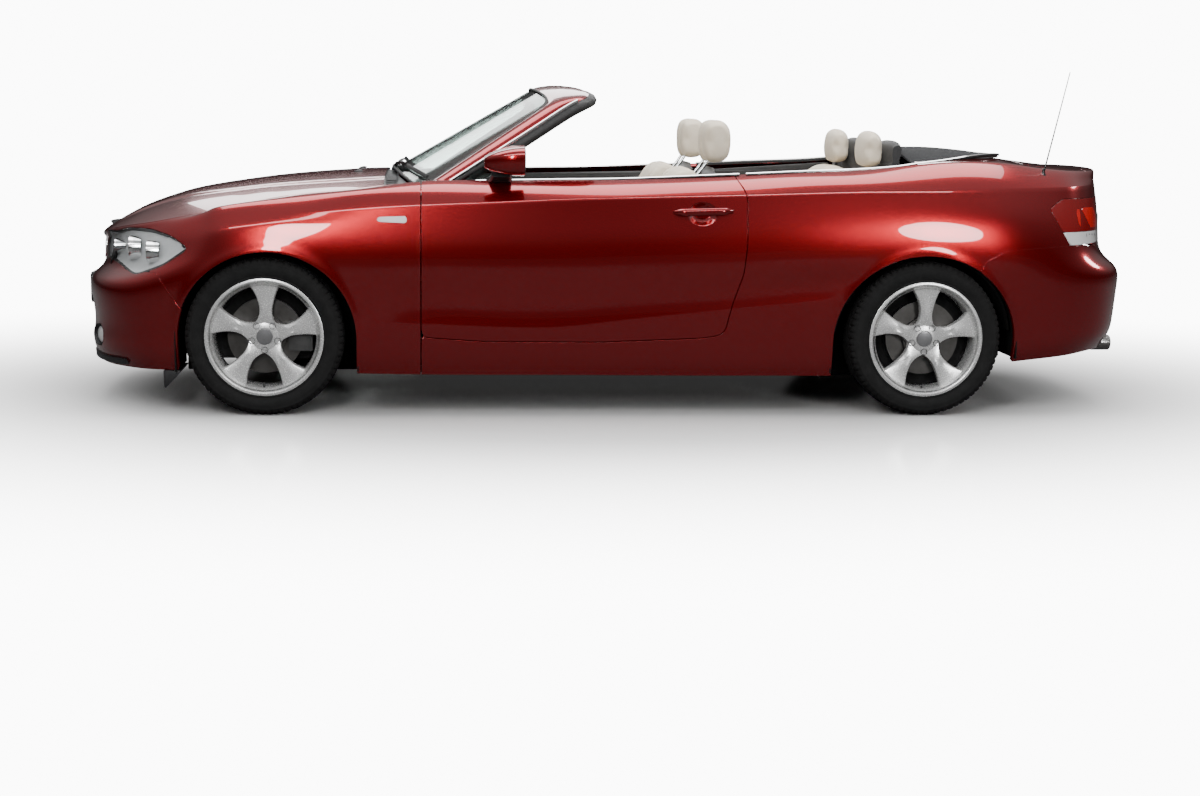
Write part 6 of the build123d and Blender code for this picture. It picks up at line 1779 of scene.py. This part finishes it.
# ---------------------------------------------------------------- interior
def cloth(obj, cap=0.022, pressure=4.0, voxel=0.0055):
    """Inflates a closed pad a little, as stuffing does, and smooths it."""
    bpy.context.view_layer.objects.active = obj
    re = obj.modifiers.new("remesh", "REMESH")
    re.mode = "VOXEL"
    re.voxel_size = voxel
    apply_modifiers(obj)
    start = np.array([v.co for v in obj.data.vertices])
    sim = obj.modifiers.new("cloth", "CLOTH")
    s = sim.settings
    s.use_pressure = True
    s.uniform_pressure_force = pressure
    s.effector_weights.gravity = 0
    s.quality = 3
    s.tension_stiffness = s.compression_stiffness = 18
    s.shear_stiffness = 8
    s.bending_stiffness = 0.6
    sim.collision_settings.use_collision = False
    scene = bpy.context.scene
    for frame_at in range(1, CLOTH_FRAMES + 1):
        scene.frame_set(frame_at)
    dg = bpy.context.evaluated_depsgraph_get()
    got = obj.evaluated_get(dg).to_mesh()
    end = np.array([v.co for v in got.vertices])
    obj.evaluated_get(dg).to_mesh_clear()
    obj.modifiers.clear()
    scene.frame_set(1)
    move = end - start
    size = np.linalg.norm(move, axis=1, keepdims=True)
    move *= np.minimum(1, cap / np.maximum(size, 1e-9))
    obj.data.vertices.foreach_set("co", (start + move).ravel())
    obj.data.update()
    return obj


def pad(name, part, material, node=None, body="chassis", cap=0.016, sim=True, voxel=0.0085):
    """A stuffed piece, simulated or only smoothed."""
    obj = add(name, part, material, body, angle=180)
    if sim:
        cloth(obj, cap, voxel=voxel)
        soften = obj.modifiers.new("soften", "SMOOTH")
        soften.factor, soften.iterations = 0.5, 3
    else:
        m = obj.modifiers.new("smooth", "SUBSURF")
        m.levels = m.render_levels = 1
    apply_modifiers(obj)
    obj.data.polygons.foreach_set("use_smooth", [True] * len(obj.data.polygons))
    if obj.data.materials:
        obj.data.materials[0] = material
    else:
        obj.data.materials.append(material)
    if node:
        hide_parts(node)
    return obj


SEAT_Y = 0.370


def seat_side_profile(points, y, inset, centre):
    """An outline in side view, drawn in towards its centre."""
    p = np.asarray(points, float)
    c = np.asarray(centre, float)
    d = p - c
    r = np.linalg.norm(d, axis=1, keepdims=True)
    q = c + d * np.maximum(1 - inset / r, 0.1)
    return [(x, y, z) for x, z in q]


def crowned(outline, y0, y1, centre, inset=0.020, rows=11, power=2.6, crown=0.0):
    """A pad made of one side outline, carried across and drawn in at both ends."""
    out = []
    for t in np.linspace(-1, 1, rows):
        k = inset * abs(t) ** power
        y = (y0 + y1) / 2 + t * (y1 - y0) / 2
        out.append(seat_side_profile(outline, y, k - crown * (1 - t * t), centre))
    return loft(out)


def make_front_seats():
    """The two front seats: pads, bolsters, shells and headrests."""
    for side, s in SIDES:
        c = SEAT_Y * s
        # cushion: two panels between raised bolsters
        base = cubic([(-0.105, 0.345), (-0.112, 0.400), (-0.060, 0.452), (0.060, 0.462), (0.220, 0.468),
                      (0.340, 0.470), (0.392, 0.450), (0.404, 0.412), (0.385, 0.365), (0.300, 0.335),
                      (0.060, 0.325)], 56, closed=True)
        pad("seat_cushion_" + side, crowned(base, c - 0.150, c + 0.150, (0.14, 0.40), 0.012), CREAM,
            node="front_seat_cushions", cap=0.012)
        for edge in (-1, 1):
            bol = cubic([(-0.090, 0.350), (-0.100, 0.420), (-0.040, 0.474), (0.100, 0.486), (0.250, 0.488),
                         (0.345, 0.480), (0.385, 0.440), (0.370, 0.370), (0.280, 0.335), (0.060, 0.325)], 48,
                        closed=True)
            m = c + edge * 0.184
            pad("seat_bolster_%s_%s" % (side, "out" if edge * s > 0 else "in"),
                crowned(bol, m - 0.031, m + 0.031, (0.14, 0.41), 0.018, 7, 2.0), CREAM, sim=False)
        back = cubic([(-0.075, 0.440), (-0.118, 0.620), (-0.170, 0.800), (-0.225, 0.930), (-0.262, 0.984),
                      (-0.300, 0.993), (-0.330, 0.975), (-0.330, 0.930), (-0.285, 0.800), (-0.235, 0.620),
                      (-0.190, 0.450), (-0.130, 0.415)], 72, closed=True)
        pad("seat_back_" + side, crowned(back, c - 0.145, c + 0.145, (-0.20, 0.72), 0.008), CREAM,
            node="front_seat_backrests", cap=0.010)
        for edge in (-1, 1):
            bol = cubic([(-0.066, 0.445), (-0.098, 0.620), (-0.145, 0.780), (-0.200, 0.900), (-0.245, 0.968),
                         (-0.290, 0.985), (-0.328, 0.965), (-0.328, 0.920), (-0.285, 0.780), (-0.235, 0.610),
                         (-0.190, 0.450), (-0.125, 0.418)], 60, closed=True)
            m = c + edge * 0.183
            pad("seat_back_bolster_%s_%s" % (side, "out" if edge * s > 0 else "in"),
                crowned(bol, m - 0.034, m + 0.034, (-0.19, 0.72), 0.022, 7, 2.0), CREAM, sim=False)
        # hard shell behind the backrest
        rows = []
        for t in np.linspace(-1, 1, 15):
            k = 0.026 * abs(t) ** 3
            y = c + t * 0.212
            line = [(-0.185, 0.430), (-0.245, 0.620), (-0.300, 0.800), (-0.345, 0.930), (-0.366, 0.978),
                    (-0.392, 0.992), (-0.414, 0.986), (-0.418, 0.930), (-0.372, 0.790), (-0.318, 0.610),
                    (-0.262, 0.440)]
            rows.append([(x - k * (0.6 if i < 6 else -0.9), y, z - (0.030 * abs(t) ** 3 if z > 0.9 else 0))
                         for i, (x, z) in enumerate(line)])
        add("seat_shell_" + side, loft(rows), BLACK_LEATHER, angle=60)
        # side cover and runners
        cover = rounded([(-0.130, 0.300), (0.330, 0.300), (0.350, 0.350), (-0.120, 0.372)], 0.020)
        for edge in (-1, 1):
            y0 = c + edge * 0.216
            add("seat_cover_%s_%s" % (side, "out" if edge * s > 0 else "in"),
                prism(cover, "xz", *sorted((y0 - 0.010 * edge, y0 + 0.004 * edge))), BLACK, bevel=0.003)
        # headrest: two panels with a seam between them, on two posts
        head = cubic([(-0.386, 1.014), (-0.372, 1.040), (-0.367, 1.090), (-0.369, 1.140), (-0.382, 1.172),
                      (-0.412, 1.184), (-0.448, 1.178), (-0.474, 1.150), (-0.482, 1.090), (-0.472, 1.035),
                      (-0.450, 1.014), (-0.414, 1.008)], 56, closed=True)
        for k, (y0, y1) in enumerate(((c - 0.122, c - 0.001), (c + 0.001, c + 0.122))):
            part = crowned(head, y0, y1, (-0.42, 1.096), 0.024, 15, 3.4)
            pad("headrest_%s_%d" % (side, k), part, CREAM, node="front_headrests", cap=0.006, voxel=0.005)
        posts = []
        for y in (c - 0.062, c + 0.062):
            posts.append(sweep([(-0.345, y, 0.955), (-0.372, y, 0.990), (-0.398, y, 1.030)], circle(0.0065, 12),
                               up=(0, 1, 0)))
        add("headrest_posts_" + side, joined(*posts), CHROME)


def make_rear_seat():
    """The rear seat, its headrests, the hoop covers and the shelf."""
    back = cubic([(-0.930, 0.560), (-0.945, 0.700), (-0.962, 0.860), (-0.985, 0.950), (-1.020, 0.980),
                  (-1.080, 0.982), (-1.130, 0.960), (-1.138, 0.860), (-1.130, 0.680), (-1.110, 0.540),
                  (-1.020, 0.520)], 60, closed=True)
    base = cubic([(-0.520, 0.360), (-0.500, 0.420), (-0.530, 0.458), (-0.650, 0.462), (-0.800, 0.448),
                  (-0.930, 0.446), (-0.985, 0.420), (-0.985, 0.340), (-0.900, 0.300), (-0.620, 0.300)], 50,
                 closed=True)
    for side, s in SIDES:
        y0, y1 = sorted((0.030 * s, 0.585 * s))
        pad("rear_back_" + side, crowned(back, y0, y1, (-1.04, 0.76), 0.030, 15, 4.0), CREAM, node="rear_seat",
            cap=0.010, voxel=0.008)
        pad("rear_cushion_" + side, crowned(base, y0, y1, (-0.74, 0.39), 0.030, 15, 4.0), CREAM, cap=0.012,
            voxel=0.008)
        c = 0.330 * s
        head = cubic([(-1.062, 1.000), (-1.050, 1.040), (-1.050, 1.090), (-1.060, 1.128), (-1.082, 1.146),
                      (-1.108, 1.142), (-1.132, 1.120), (-1.137, 1.050), (-1.128, 1.004), (-1.090, 0.996)], 52,
                     closed=True)
        pad("rear_headrest_" + side, crowned(head, c - 0.125, c + 0.125, (-1.088, 1.072), 0.026, 15, 3.2),
            CREAM, node="rear_headrests", cap=0.006, voxel=0.006)
        # dark hoop behind each rear headrest
        hoop = cubic([(-1.146, 0.960), (-1.148, 1.060), (-1.160, 1.100), (-1.182, 1.108), (-1.202, 1.100),
                      (-1.206, 1.040), (-1.205, 0.960)], 40, closed=True)
        add("hoop_cover_" + side, crowned(hoop, c - 0.165, c + 0.165, (-1.178, 1.02), 0.020, 13, 3.0),
            SOFT_BLACK, angle=60, node="rear_shelf")
    sheet = [(-1.152, 0.968), (-1.150, 0.985), (-1.158, 0.992), (-1.204, 1.010), (-1.206, 0.990),
             (-1.200, 0.968)]
    add("rear_shelf_top", prism(sheet, "xz", -0.684, 0.684), SOFT_BLACK, bevel=0.003)


def make_dash():
    """The dashboard with its cluster, vents and controls."""
    ys = np.linspace(-0.670, 0.670, 81)
    rows = []
    for y in ys:
        e = abs(y) / 0.67
        hood = 0.020 * np.exp(-((y - 0.370) / 0.165) ** 4)
        dz = -0.016 * e**4
        pull = 0.026 * e**3
        line = [(0.800 - pull, 0.838 + dz), (0.760 - pull, 0.856 + dz), (0.660, 0.862 + dz + hood * 0.3),
                (0.560, 0.850 + dz + hood), (0.506, 0.838 + dz + hood), (0.490, 0.822 + dz + hood * 0.9),
                (0.498, 0.800 + dz), (0.520, 0.770), (0.530, 0.700), (0.516, 0.660), (0.530, 0.600),
                (0.600, 0.545), (0.700, 0.530), (0.790, 0.560)]
        rows.append([(x, y, min(z, 0.8715)) for x, z in cubic(line, 60, closed=True)])
    add("dash_pad", loft(rows), SOFT_BLACK, angle=60, node="dashboard")
    # cluster: a hood, two dials and their needles
    face = rounded([(0.370 - 0.135, 0.752), (0.370 + 0.135, 0.752), (0.370 + 0.140, 0.835),
                    (0.370 - 0.140, 0.835)], 0.030)
    add("cluster_face", prism(face, "yz", 0.5045, 0.513), GLOSS_BLACK)
    rings, needles, marks = [], [], []
    for y in (0.305, 0.435):
        c = (0.500, y, 0.795)
        rings.append(lathe([(0.040, 0.004), (0.040, -0.002), (0.0375, -0.003), (0.0365, 0.003), (0.040, 0.004)],
                           c, 40, axis=0))
        for k in range(21):
            a = radians(225 - 13.5 * k)
            r0, r1 = (0.028, 0.034) if k % 2 == 0 else (0.031, 0.034)
            p = [(0.5035, y - r * cos(a), 0.795 + r * sin(a)) for r in (r0, r1)]
            marks.append(sweep(p, slab(0.0012, 0.001, 0.0002), up=(1, 0, 0)))
        a = radians(205)
        needles.append(sweep([(0.502, y - 0.006 * cos(a + pi), 0.795 + 0.006 * sin(a + pi)),
                              (0.502, y - 0.030 * cos(a), 0.795 + 0.030 * sin(a))],
                             slab(0.0018, 0.0012, 0.0003), up=(1, 0, 0)))
    add("dial_rings", joined(*rings), CHROME)
    add("dial_marks", joined(*marks), PLATE)
    add("dial_needles", joined(*needles), AMBER)
    vents = []
    for y0, y1 in ((-0.62, -0.50), (-0.115, -0.01), (0.01, 0.115), (0.535, 0.63)):
        for z in np.linspace(0.722, 0.764, 6):
            vents.append(sweep([(0.516, y0, z), (0.516, y1, z)], slab(0.016, 0.003, 0.001), up=(0, 0, 1)))
        frame_loop = rounded([(y0 - 0.006, 0.713), (y1 + 0.006, 0.713), (y1 + 0.006, 0.773),
                              (y0 - 0.006, 0.773)], 0.008, 4)
        vents.append(sweep([(0.512, y, z) for y, z in frame_loop], slab(0.006, 0.008, 0.002), up=(1, 0, 0),
                           closed=True))
    add("dash_vents", joined(*vents), BLACK)
    trim = [(0.505, y, 0.690 - 0.010 * (abs(y) / 0.67) ** 2) for y in np.linspace(-0.66, 0.66, 41)]
    add("dash_trim", sweep(trim, slab(0.020, 0.026, 0.006), up=(0, 0, 1)), REFLECTOR)
    panel = rounded([(-0.105, 0.560), (0.105, 0.560), (0.110, 0.705), (-0.110, 0.705)], 0.012)
    add("centre_stack", prism(panel, "yz", 0.495, 0.540), GLOSS_BLACK, bevel=0.002)
    knobs = []
    for y in (-0.066, 0.0, 0.066):
        knobs.append(lathe([(0.0, -0.020), (0.014, -0.020), (0.016, -0.006), (0.019, 0.002), (0.0, 0.002)],
                           (0.495, y, 0.596), 28, axis=0))
    for k in range(6):
        knobs.append(prism(slab(0.024, 0.010, 0.003) + (-0.078 + 0.031 * k, 0.640), "yz", 0.489, 0.496))
    knobs.append(prism(slab(0.120, 0.010, 0.002) + (0, 0.682), "yz", 0.490, 0.496))
    add("stack_controls", joined(*knobs), CAP_GREY)


def make_wheel_and_column():
    """The steering wheel, the column's shroud and the stalks."""
    centre = Vector((0.4025, 0.370, 0.830))
    lean = Vector((-0.88, 0, 0.475)).normalized()      # towards the driver
    u = Vector((0, 1, 0))
    w = lean.cross(u).normalized()
    if w.z < 0:
        w = -w

    def at(a, b, c=0.0):
        p = centre + u * a + w * b + lean * c
        return tuple(p)

    r = 0.0152
    loops = [[at((0.172 + r * cos(q)) * cos(t), (0.172 + r * cos(q)) * sin(t), 0.8 * r * sin(q))
              for q in turn(12)]
             for t in turn(72)]
    add("steering_rim", loft(loops, False, True), BLACK_LEATHER, "steering_wheel", angle=180,
        node="steering_wheel")
    stitch = []
    for k in range(64):
        t = 2 * pi * k / 64
        p = [at(0.1575 * cos(t + d), 0.1575 * sin(t + d), 0.0035 - 0.007 * e) for d, e in ((0, 0), (0.020, 1))]
        stitch.append(sweep(p, slab(0.0010, 0.0010, 0.0002), up=tuple(lean)))
    add("steering_stitches", joined(*stitch), STITCH, "steering_wheel")
    rows = []
    for c, k in ((-0.030, 0.72), (-0.022, 0.95), (-0.008, 1.0), (0.002, 0.97), (0.008, 0.85), (0.010, 0.55),
                 (0.0105, 0.1)):
        loop = rounded([(-0.062, -0.030), (0.062, -0.030), (0.070, 0.040), (-0.070, 0.040)], 0.026, 7) * k
        rows.append([at(a, b, c) for a, b in loop])
    add("steering_pad", loft(rows), SOFT_BLACK, "steering_wheel", angle=50)
    spokes = []
    for t0 in (radians(12), radians(168), radians(270)):
        pts = [at(r * cos(t0), r * sin(t0), -0.010 + 0.006 * ((r - 0.05) / 0.11))
               for r in np.linspace(0.045, 0.166, 8)]
        spokes.append(sweep(pts, slab(0.034, 0.011, 0.004, 4) if t0 < 4 else slab(0.026, 0.011, 0.004, 4),
                            up=tuple(lean), scale=np.array([1.25, 1.1, 1.0, 0.92, 0.86, 0.84, 0.88, 1.0])))
    add("steering_spokes", joined(*spokes), REFLECTOR, "steering_wheel", angle=50)
    column = []
    for c, k in ((-0.034, 0.80), (-0.044, 1.0), (-0.080, 1.02), (-0.110, 1.0)):
        column.append([at(a, b - 0.004, c) for a, b in rounded([(-0.038, -0.040), (0.038, -0.040),
                                                                (0.034, 0.034),
                                                                 (-0.034, 0.034)], 0.018, 6) * k])
    add("column_shroud", loft(column), BLACK, angle=50, node="steering_column")
    stalks = []
    for e in (-1, 1):
        path = natural([at(0.034 * e, 0.006, -0.062), at(0.075 * e, 0.010, -0.058),
                        at(0.130 * e, 0.020, -0.050)], 12)
        stalks.append(sweep(path, slab(0.014, 0.010, 0.004), up=tuple(lean), scale=np.linspace(0.7, 1.15, 12)))
    add("column_stalks", joined(*stalks), BLACK)


def make_console():
    """The centre console with its armrest, gear lever and hand brake."""
    low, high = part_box("centre_console")
    rows = []
    for x in np.linspace(low.x, high.x, 25):
        t = (x - low.x) / (high.x - low.x)
        top = 0.500 + 0.030 * smoothstep(0.55, 0.35, t) + 0.030 * smoothstep(0.75, 1.0, t) - 0.006
        half = 0.094 - 0.012 * sin(pi * t)
        rows.append([(x, y, z) for y, z in rounded([(-0.102, 0.402), (0.102, 0.402), (half, float(top)),
                                                    (-half, float(top))],
                                                   0.018, 6)])
    add("console_body", loft(rows), SOFT_BLACK, angle=60, node="centre_console")
    lid = cubic([(-0.400, 0.522), (-0.395, 0.545), (-0.350, 0.552), (-0.240, 0.552), (-0.170, 0.546),
                 (-0.150, 0.530), (-0.170, 0.516), (-0.300, 0.514)], 40, closed=True)
    pad("console_armrest", crowned(lid, -0.080, 0.080, (-0.275, 0.534), 0.008, 11, 4.0), BLACK_LEATHER,
        sim=False)
    gaiter = []
    for z, r in ((0.494, 0.046), (0.504, 0.040), (0.509, 0.043), (0.518, 0.031), (0.523, 0.033), (0.532, 0.020),
                 (0.538, 0.015)):
        gaiter.append([(0.180 + r * 1.1 * cos(a), r * 0.8 * sin(a), z) for a in turn(28)])
    add("gear_gaiter", loft(gaiter), BLACK_LEATHER, angle=180)
    knob = lathe([(0.0, 0.0), (0.008, 0.0), (0.008, 0.0), (0.0085, 0.001), (0.012, 0.004), (0.013, 0.012),
                  (0.010, 0.019), (0.0, 0.021)], (0.178, 0.0, 0.534), 28, axis=2)
    add("gear_knob", knob, BLACK_LEATHER, angle=60)
    lever = sweep([(-0.060, 0.050, 0.508), (-0.020, 0.050, 0.519), (0.060, 0.050, 0.536)],
                  slab(0.020, 0.013, 0.005, 4), up=(0, 0, 1))
    add("hand_brake", lever, BLACK_LEATHER, angle=50)


def make_door_trims():
    """The doors' inner faces."""
    for side, s in SIDES:
        outline = rounded([(0.760, 0.905), (-0.440, 0.938), (-0.448, 0.700), (-0.400, 0.480), (-0.360, 0.380),
                           (0.640, 0.370), (0.780, 0.480)], 0.030)
        rows = [[(x, 0.708 * s, z) for x, z in outline]]
        c = outline.mean(axis=0)
        for y, k in ((0.690, 1.0), (0.684, 0.992), (0.682, 0.975)):
            rows.append([(c[0] + (x - c[0]) * k, y * s, c[1] + (z - c[1]) * k) for x, z in outline])
        add("door_trim_" + side, loft(rows), BLACK_LEATHER, "door_" + side, angle=50)
        rest = []
        for t in np.linspace(0, 1, 17):
            x = 0.420 - 0.780 * t
            k = sin(pi * min(max(t, 0.04), 0.96)) ** 0.35
            rest.append([(x, (0.690 - a) * s, 0.690 + 0.020 * t + b) for a, b in
                         rounded([(-0.004, -0.034 * k), (0.050 * k, -0.026 * k), (0.056 * k, 0.012),
                                  (-0.004, 0.020)], 0.014, 5)])
        add("door_armrest_" + side, loft(rest), CREAM, "door_" + side, angle=60)
        insert = rounded([(0.660, 0.800), (-0.400, 0.824), (-0.402, 0.740), (0.560, 0.722)], 0.020)
        add("door_insert_" + side, prism(insert, "xz", *sorted((0.676 * s, 0.683 * s))), CREAM,
            "door_" + side, bevel=0.004)
        pull = natural([(0.300, 0.676 * s, 0.762), (0.240, 0.650 * s, 0.776), (0.120, 0.646 * s, 0.780),
                        (0.060, 0.672 * s, 0.772)], 24)
        add("door_pull_" + side, sweep(pull, slab(0.018, 0.012, 0.005, 4), up=(0, 0, 1)), REFLECTOR,
            "door_" + side)
        speaker = []
        for r in np.linspace(0.015, 0.070, 8):
            speaker.append(sweep([(0.560 + r * cos(a), 0.6795 * s, 0.520 + r * sin(a)) for a in
                                  turn(36)], slab(0.003, 0.003, 0.001), up=(0, 1, 0), closed=True))
        add("door_speaker_" + side, joined(*speaker), BLACK, "door_" + side)


def make_inner_sides():
    """Trims beside the rear seat, the walls and liners of the wheel arches, and sill covers."""
    for side, s in SIDES:
        outline = rounded([(-0.505, 0.940), (-1.140, 0.985), (-1.140, 0.520), (-0.900, 0.420), (-0.520, 0.400)],
                          0.030)
        y0 = 0.668
        add("quarter_trim_" + side, prism(outline, "xz", *sorted((y0 * s, (y0 + 0.012) * s))), BLACK_LEATHER,
            bevel=0.004)
        for name, cx, cz, r, inner, low, axle, wall in (("front", 1.410, 0.308, 0.3555, 0.500, 0.175,
                                                         FRONT_AXLE_X, 0.455),
                                                  ("rear", -1.236, 0.300, 0.3820, 0.560, 0.235, REAR_AXLE_X,
                                                   0.596)):
            arc = [(cx + r * cos(a), cz + (r if name == "front" else 0.358) * sin(a))
                   for a in np.linspace(0, pi, 49)]
            arc = [(arc[0][0], 0.175)] + arc + [(arc[-1][0], low)]
            out = [(cx + (x - cx) * 1.012, z + 0.003 if z > cz else z) for x, z in arc]
            loops = [[(x, y * s, z) for x, z in arc + out[::-1]] for y in (inner, 0.700, 0.780, 0.838)]
            for end, x0, x1 in (("ahead", axle + 0.250, cx + r), ("behind", cx - r, axle - 0.250)):
                foot = 0.215 if (name, end) == ("rear", "behind") else 0.135
                add("arch_wall_%s_%s_%s" % (name, end, side),
                    prism(rounded([(x0, foot), (x1, foot), (x1, 0.420), (x0, 0.420)], 0.004, 2), "xz",
                          *sorted((wall * s, (wall + 0.004) * s))), LINER)
            add("arch_liner_%s_%s" % (name, side), loft(loops), LINER, angle=40)
        sill = [(x, 0.668 * s, 0.330) for x in np.linspace(-0.40, 0.66, 20)]
        add("sill_cover_" + side, sweep(sill, slab(0.056, 0.010, 0.004), up=(0, 0, 1)), BLACK)


def make_tonneau():
    """The rigid lid over the stowed top, with its fabric skin."""
    xs = np.linspace(-1.652, -1.216, 48)
    ys = np.linspace(-0.674, 0.674, 80)
    xx, yy = np.meshgrid(xs, ys, indexing="ij")
    ridge = smooth_table([-1.66, -1.63, -1.56, -1.44, -1.30, -1.214],
                         [1.040, 1.052, 1.0650, 1.0735, 1.0715, 1.062])(xx)
    zz = ridge - 0.068 * (np.abs(yy) / 0.70) ** 3.2
    zz = np.minimum(zz, 1.0752)
    skin = Skin(np.stack([xx, yy, zz], axis=2))
    look_along(skin, 2)
    v = skin.grid.reshape(-1, 3)
    field = polygon_distance(TONNEAU, v[:, 0], v[:, 1])
    gv, gn, gf = clip(v, skin.normal.reshape(-1, 3), skin.faces(), field - 0.004)
    gv, gn, gf = folded(gv, gn, gf, bevel=0.003, back=lambda p, q: p - 0.010 * q)
    obj = build("tonneau_lid", gv, gf, gn, TONNEAU_CLOTH, "tonneau_cover")
    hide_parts("tonneau_cover")


def make_carpet():
    """The carpet over the cabin floor and up the toe board, the floor mats and the pedals."""
    half = [(0.0, 0.4035), (0.120, 0.4035), (0.136, 0.398), (0.1435, 0.380), (0.1445, 0.230), (0.156, 0.206),
            (0.180, 0.1995), (0.560, 0.1995), (0.590, 0.206), (0.598, 0.230), (0.5985, 0.2895)]
    tip = [(0.640, 0.2915), (0.696, 0.2915)]
    line = [(-y, z) for y, z in (half + tip)[::-1]] + (half + tip)[1:]
    under = [(y * (1.0 if abs(y) < 0.2 else 0.999), z - 0.0025) for y, z in line[::-1]]
    rows = [[(x, y, z) for y, z in line + under] for x in np.linspace(-0.470, 0.805, 40)]
    add("cabin_carpet", loft(rows), CARPET, angle=50)
    corners = ((-0.598, 0.20), (-0.598, 0.52), (0.598, 0.52), (0.598, 0.20))
    wall = loft([[(x, y, z) for y, z in corners] for x in (0.8055, 0.8015)])
    add("toe_board_carpet", wall, CARPET)
    for k, (x0, x1, c) in enumerate(((0.400, 0.770, 0.370), (0.400, 0.770, -0.370), (-0.450, -0.140, 0.370),
                                     (-0.450, -0.140, -0.370))):
        loop = rounded([(x0, c - 0.180), (x1, c - 0.180), (x1, c + 0.180), (x0, c + 0.180)], 0.050, 6)
        add("floor_mat_%d" % k, prism(loop, "xy", 0.1998, 0.2060), CARPET, bevel=0.002)
    pedals = []
    for y, w, h in ((0.445, 0.030, 0.034), (0.375, 0.034, 0.034), (0.290, 0.022, 0.070)):
        face = rounded([(-w, -h), (w, -h), (w, h), (-w, h)], 0.006, 4)
        rows = [[(0.725 + d * 0.5 + 0.30 * b, y + a, 0.345 + b) for a, b in face] for d in (0.0, 0.016)]
        pedals.append(loft(rows))
        pedals.append(sweep([(0.738, y, 0.350), (0.770, y, 0.420), (0.780, y, 0.540)],
                            slab(0.012, 0.010, 0.003), up=(0, 1, 0)))
    add("pedals", joined(*pedals), RUBBER)


# ---------------------------------------------------------------- the whole
def dress_frame():
    """Gives the CAD nodes that stay in view their finish."""
    looks = {"floor_structure": UNDERBODY, "front_structure": UNDERBODY, "rear_structure": UNDERBODY,
             "front_wheelhouses": LINER, "rear_wheelhouses": LINER, "engine_block": ENGINE,
             "brake_disc": SHADED_BRAKE_DISC, "seat_bases": BLACK, "front_axle": UNDERBODY, "rear_axle": UNDERBODY,
             "knuckle": DARK_METAL, "steering_column": BLACK, "antenna": GLOSS_BLACK, "wipers": BLACK}
    for obj in bpy.data.objects:
        if obj.type != "MESH":
            continue
        name = obj.get("node", obj.name)
        for key, mat in looks.items():
            if name.startswith(key):
                for s in obj.material_slots:
                    s.material = mat
                if not obj.material_slots:
                    obj.data.materials.append(mat)


for make in (camera, studio, floor, make_body, make_wheels, make_screen, make_cowl, make_lamps, make_grilles,
             make_trims, make_mirrors, make_tail_parts, make_exhaust, make_front_seats, make_rear_seat,
             make_dash, make_wheel_and_column, make_console, make_door_trims, make_inner_sides, make_carpet,
             make_tonneau, dress_frame):
    make()
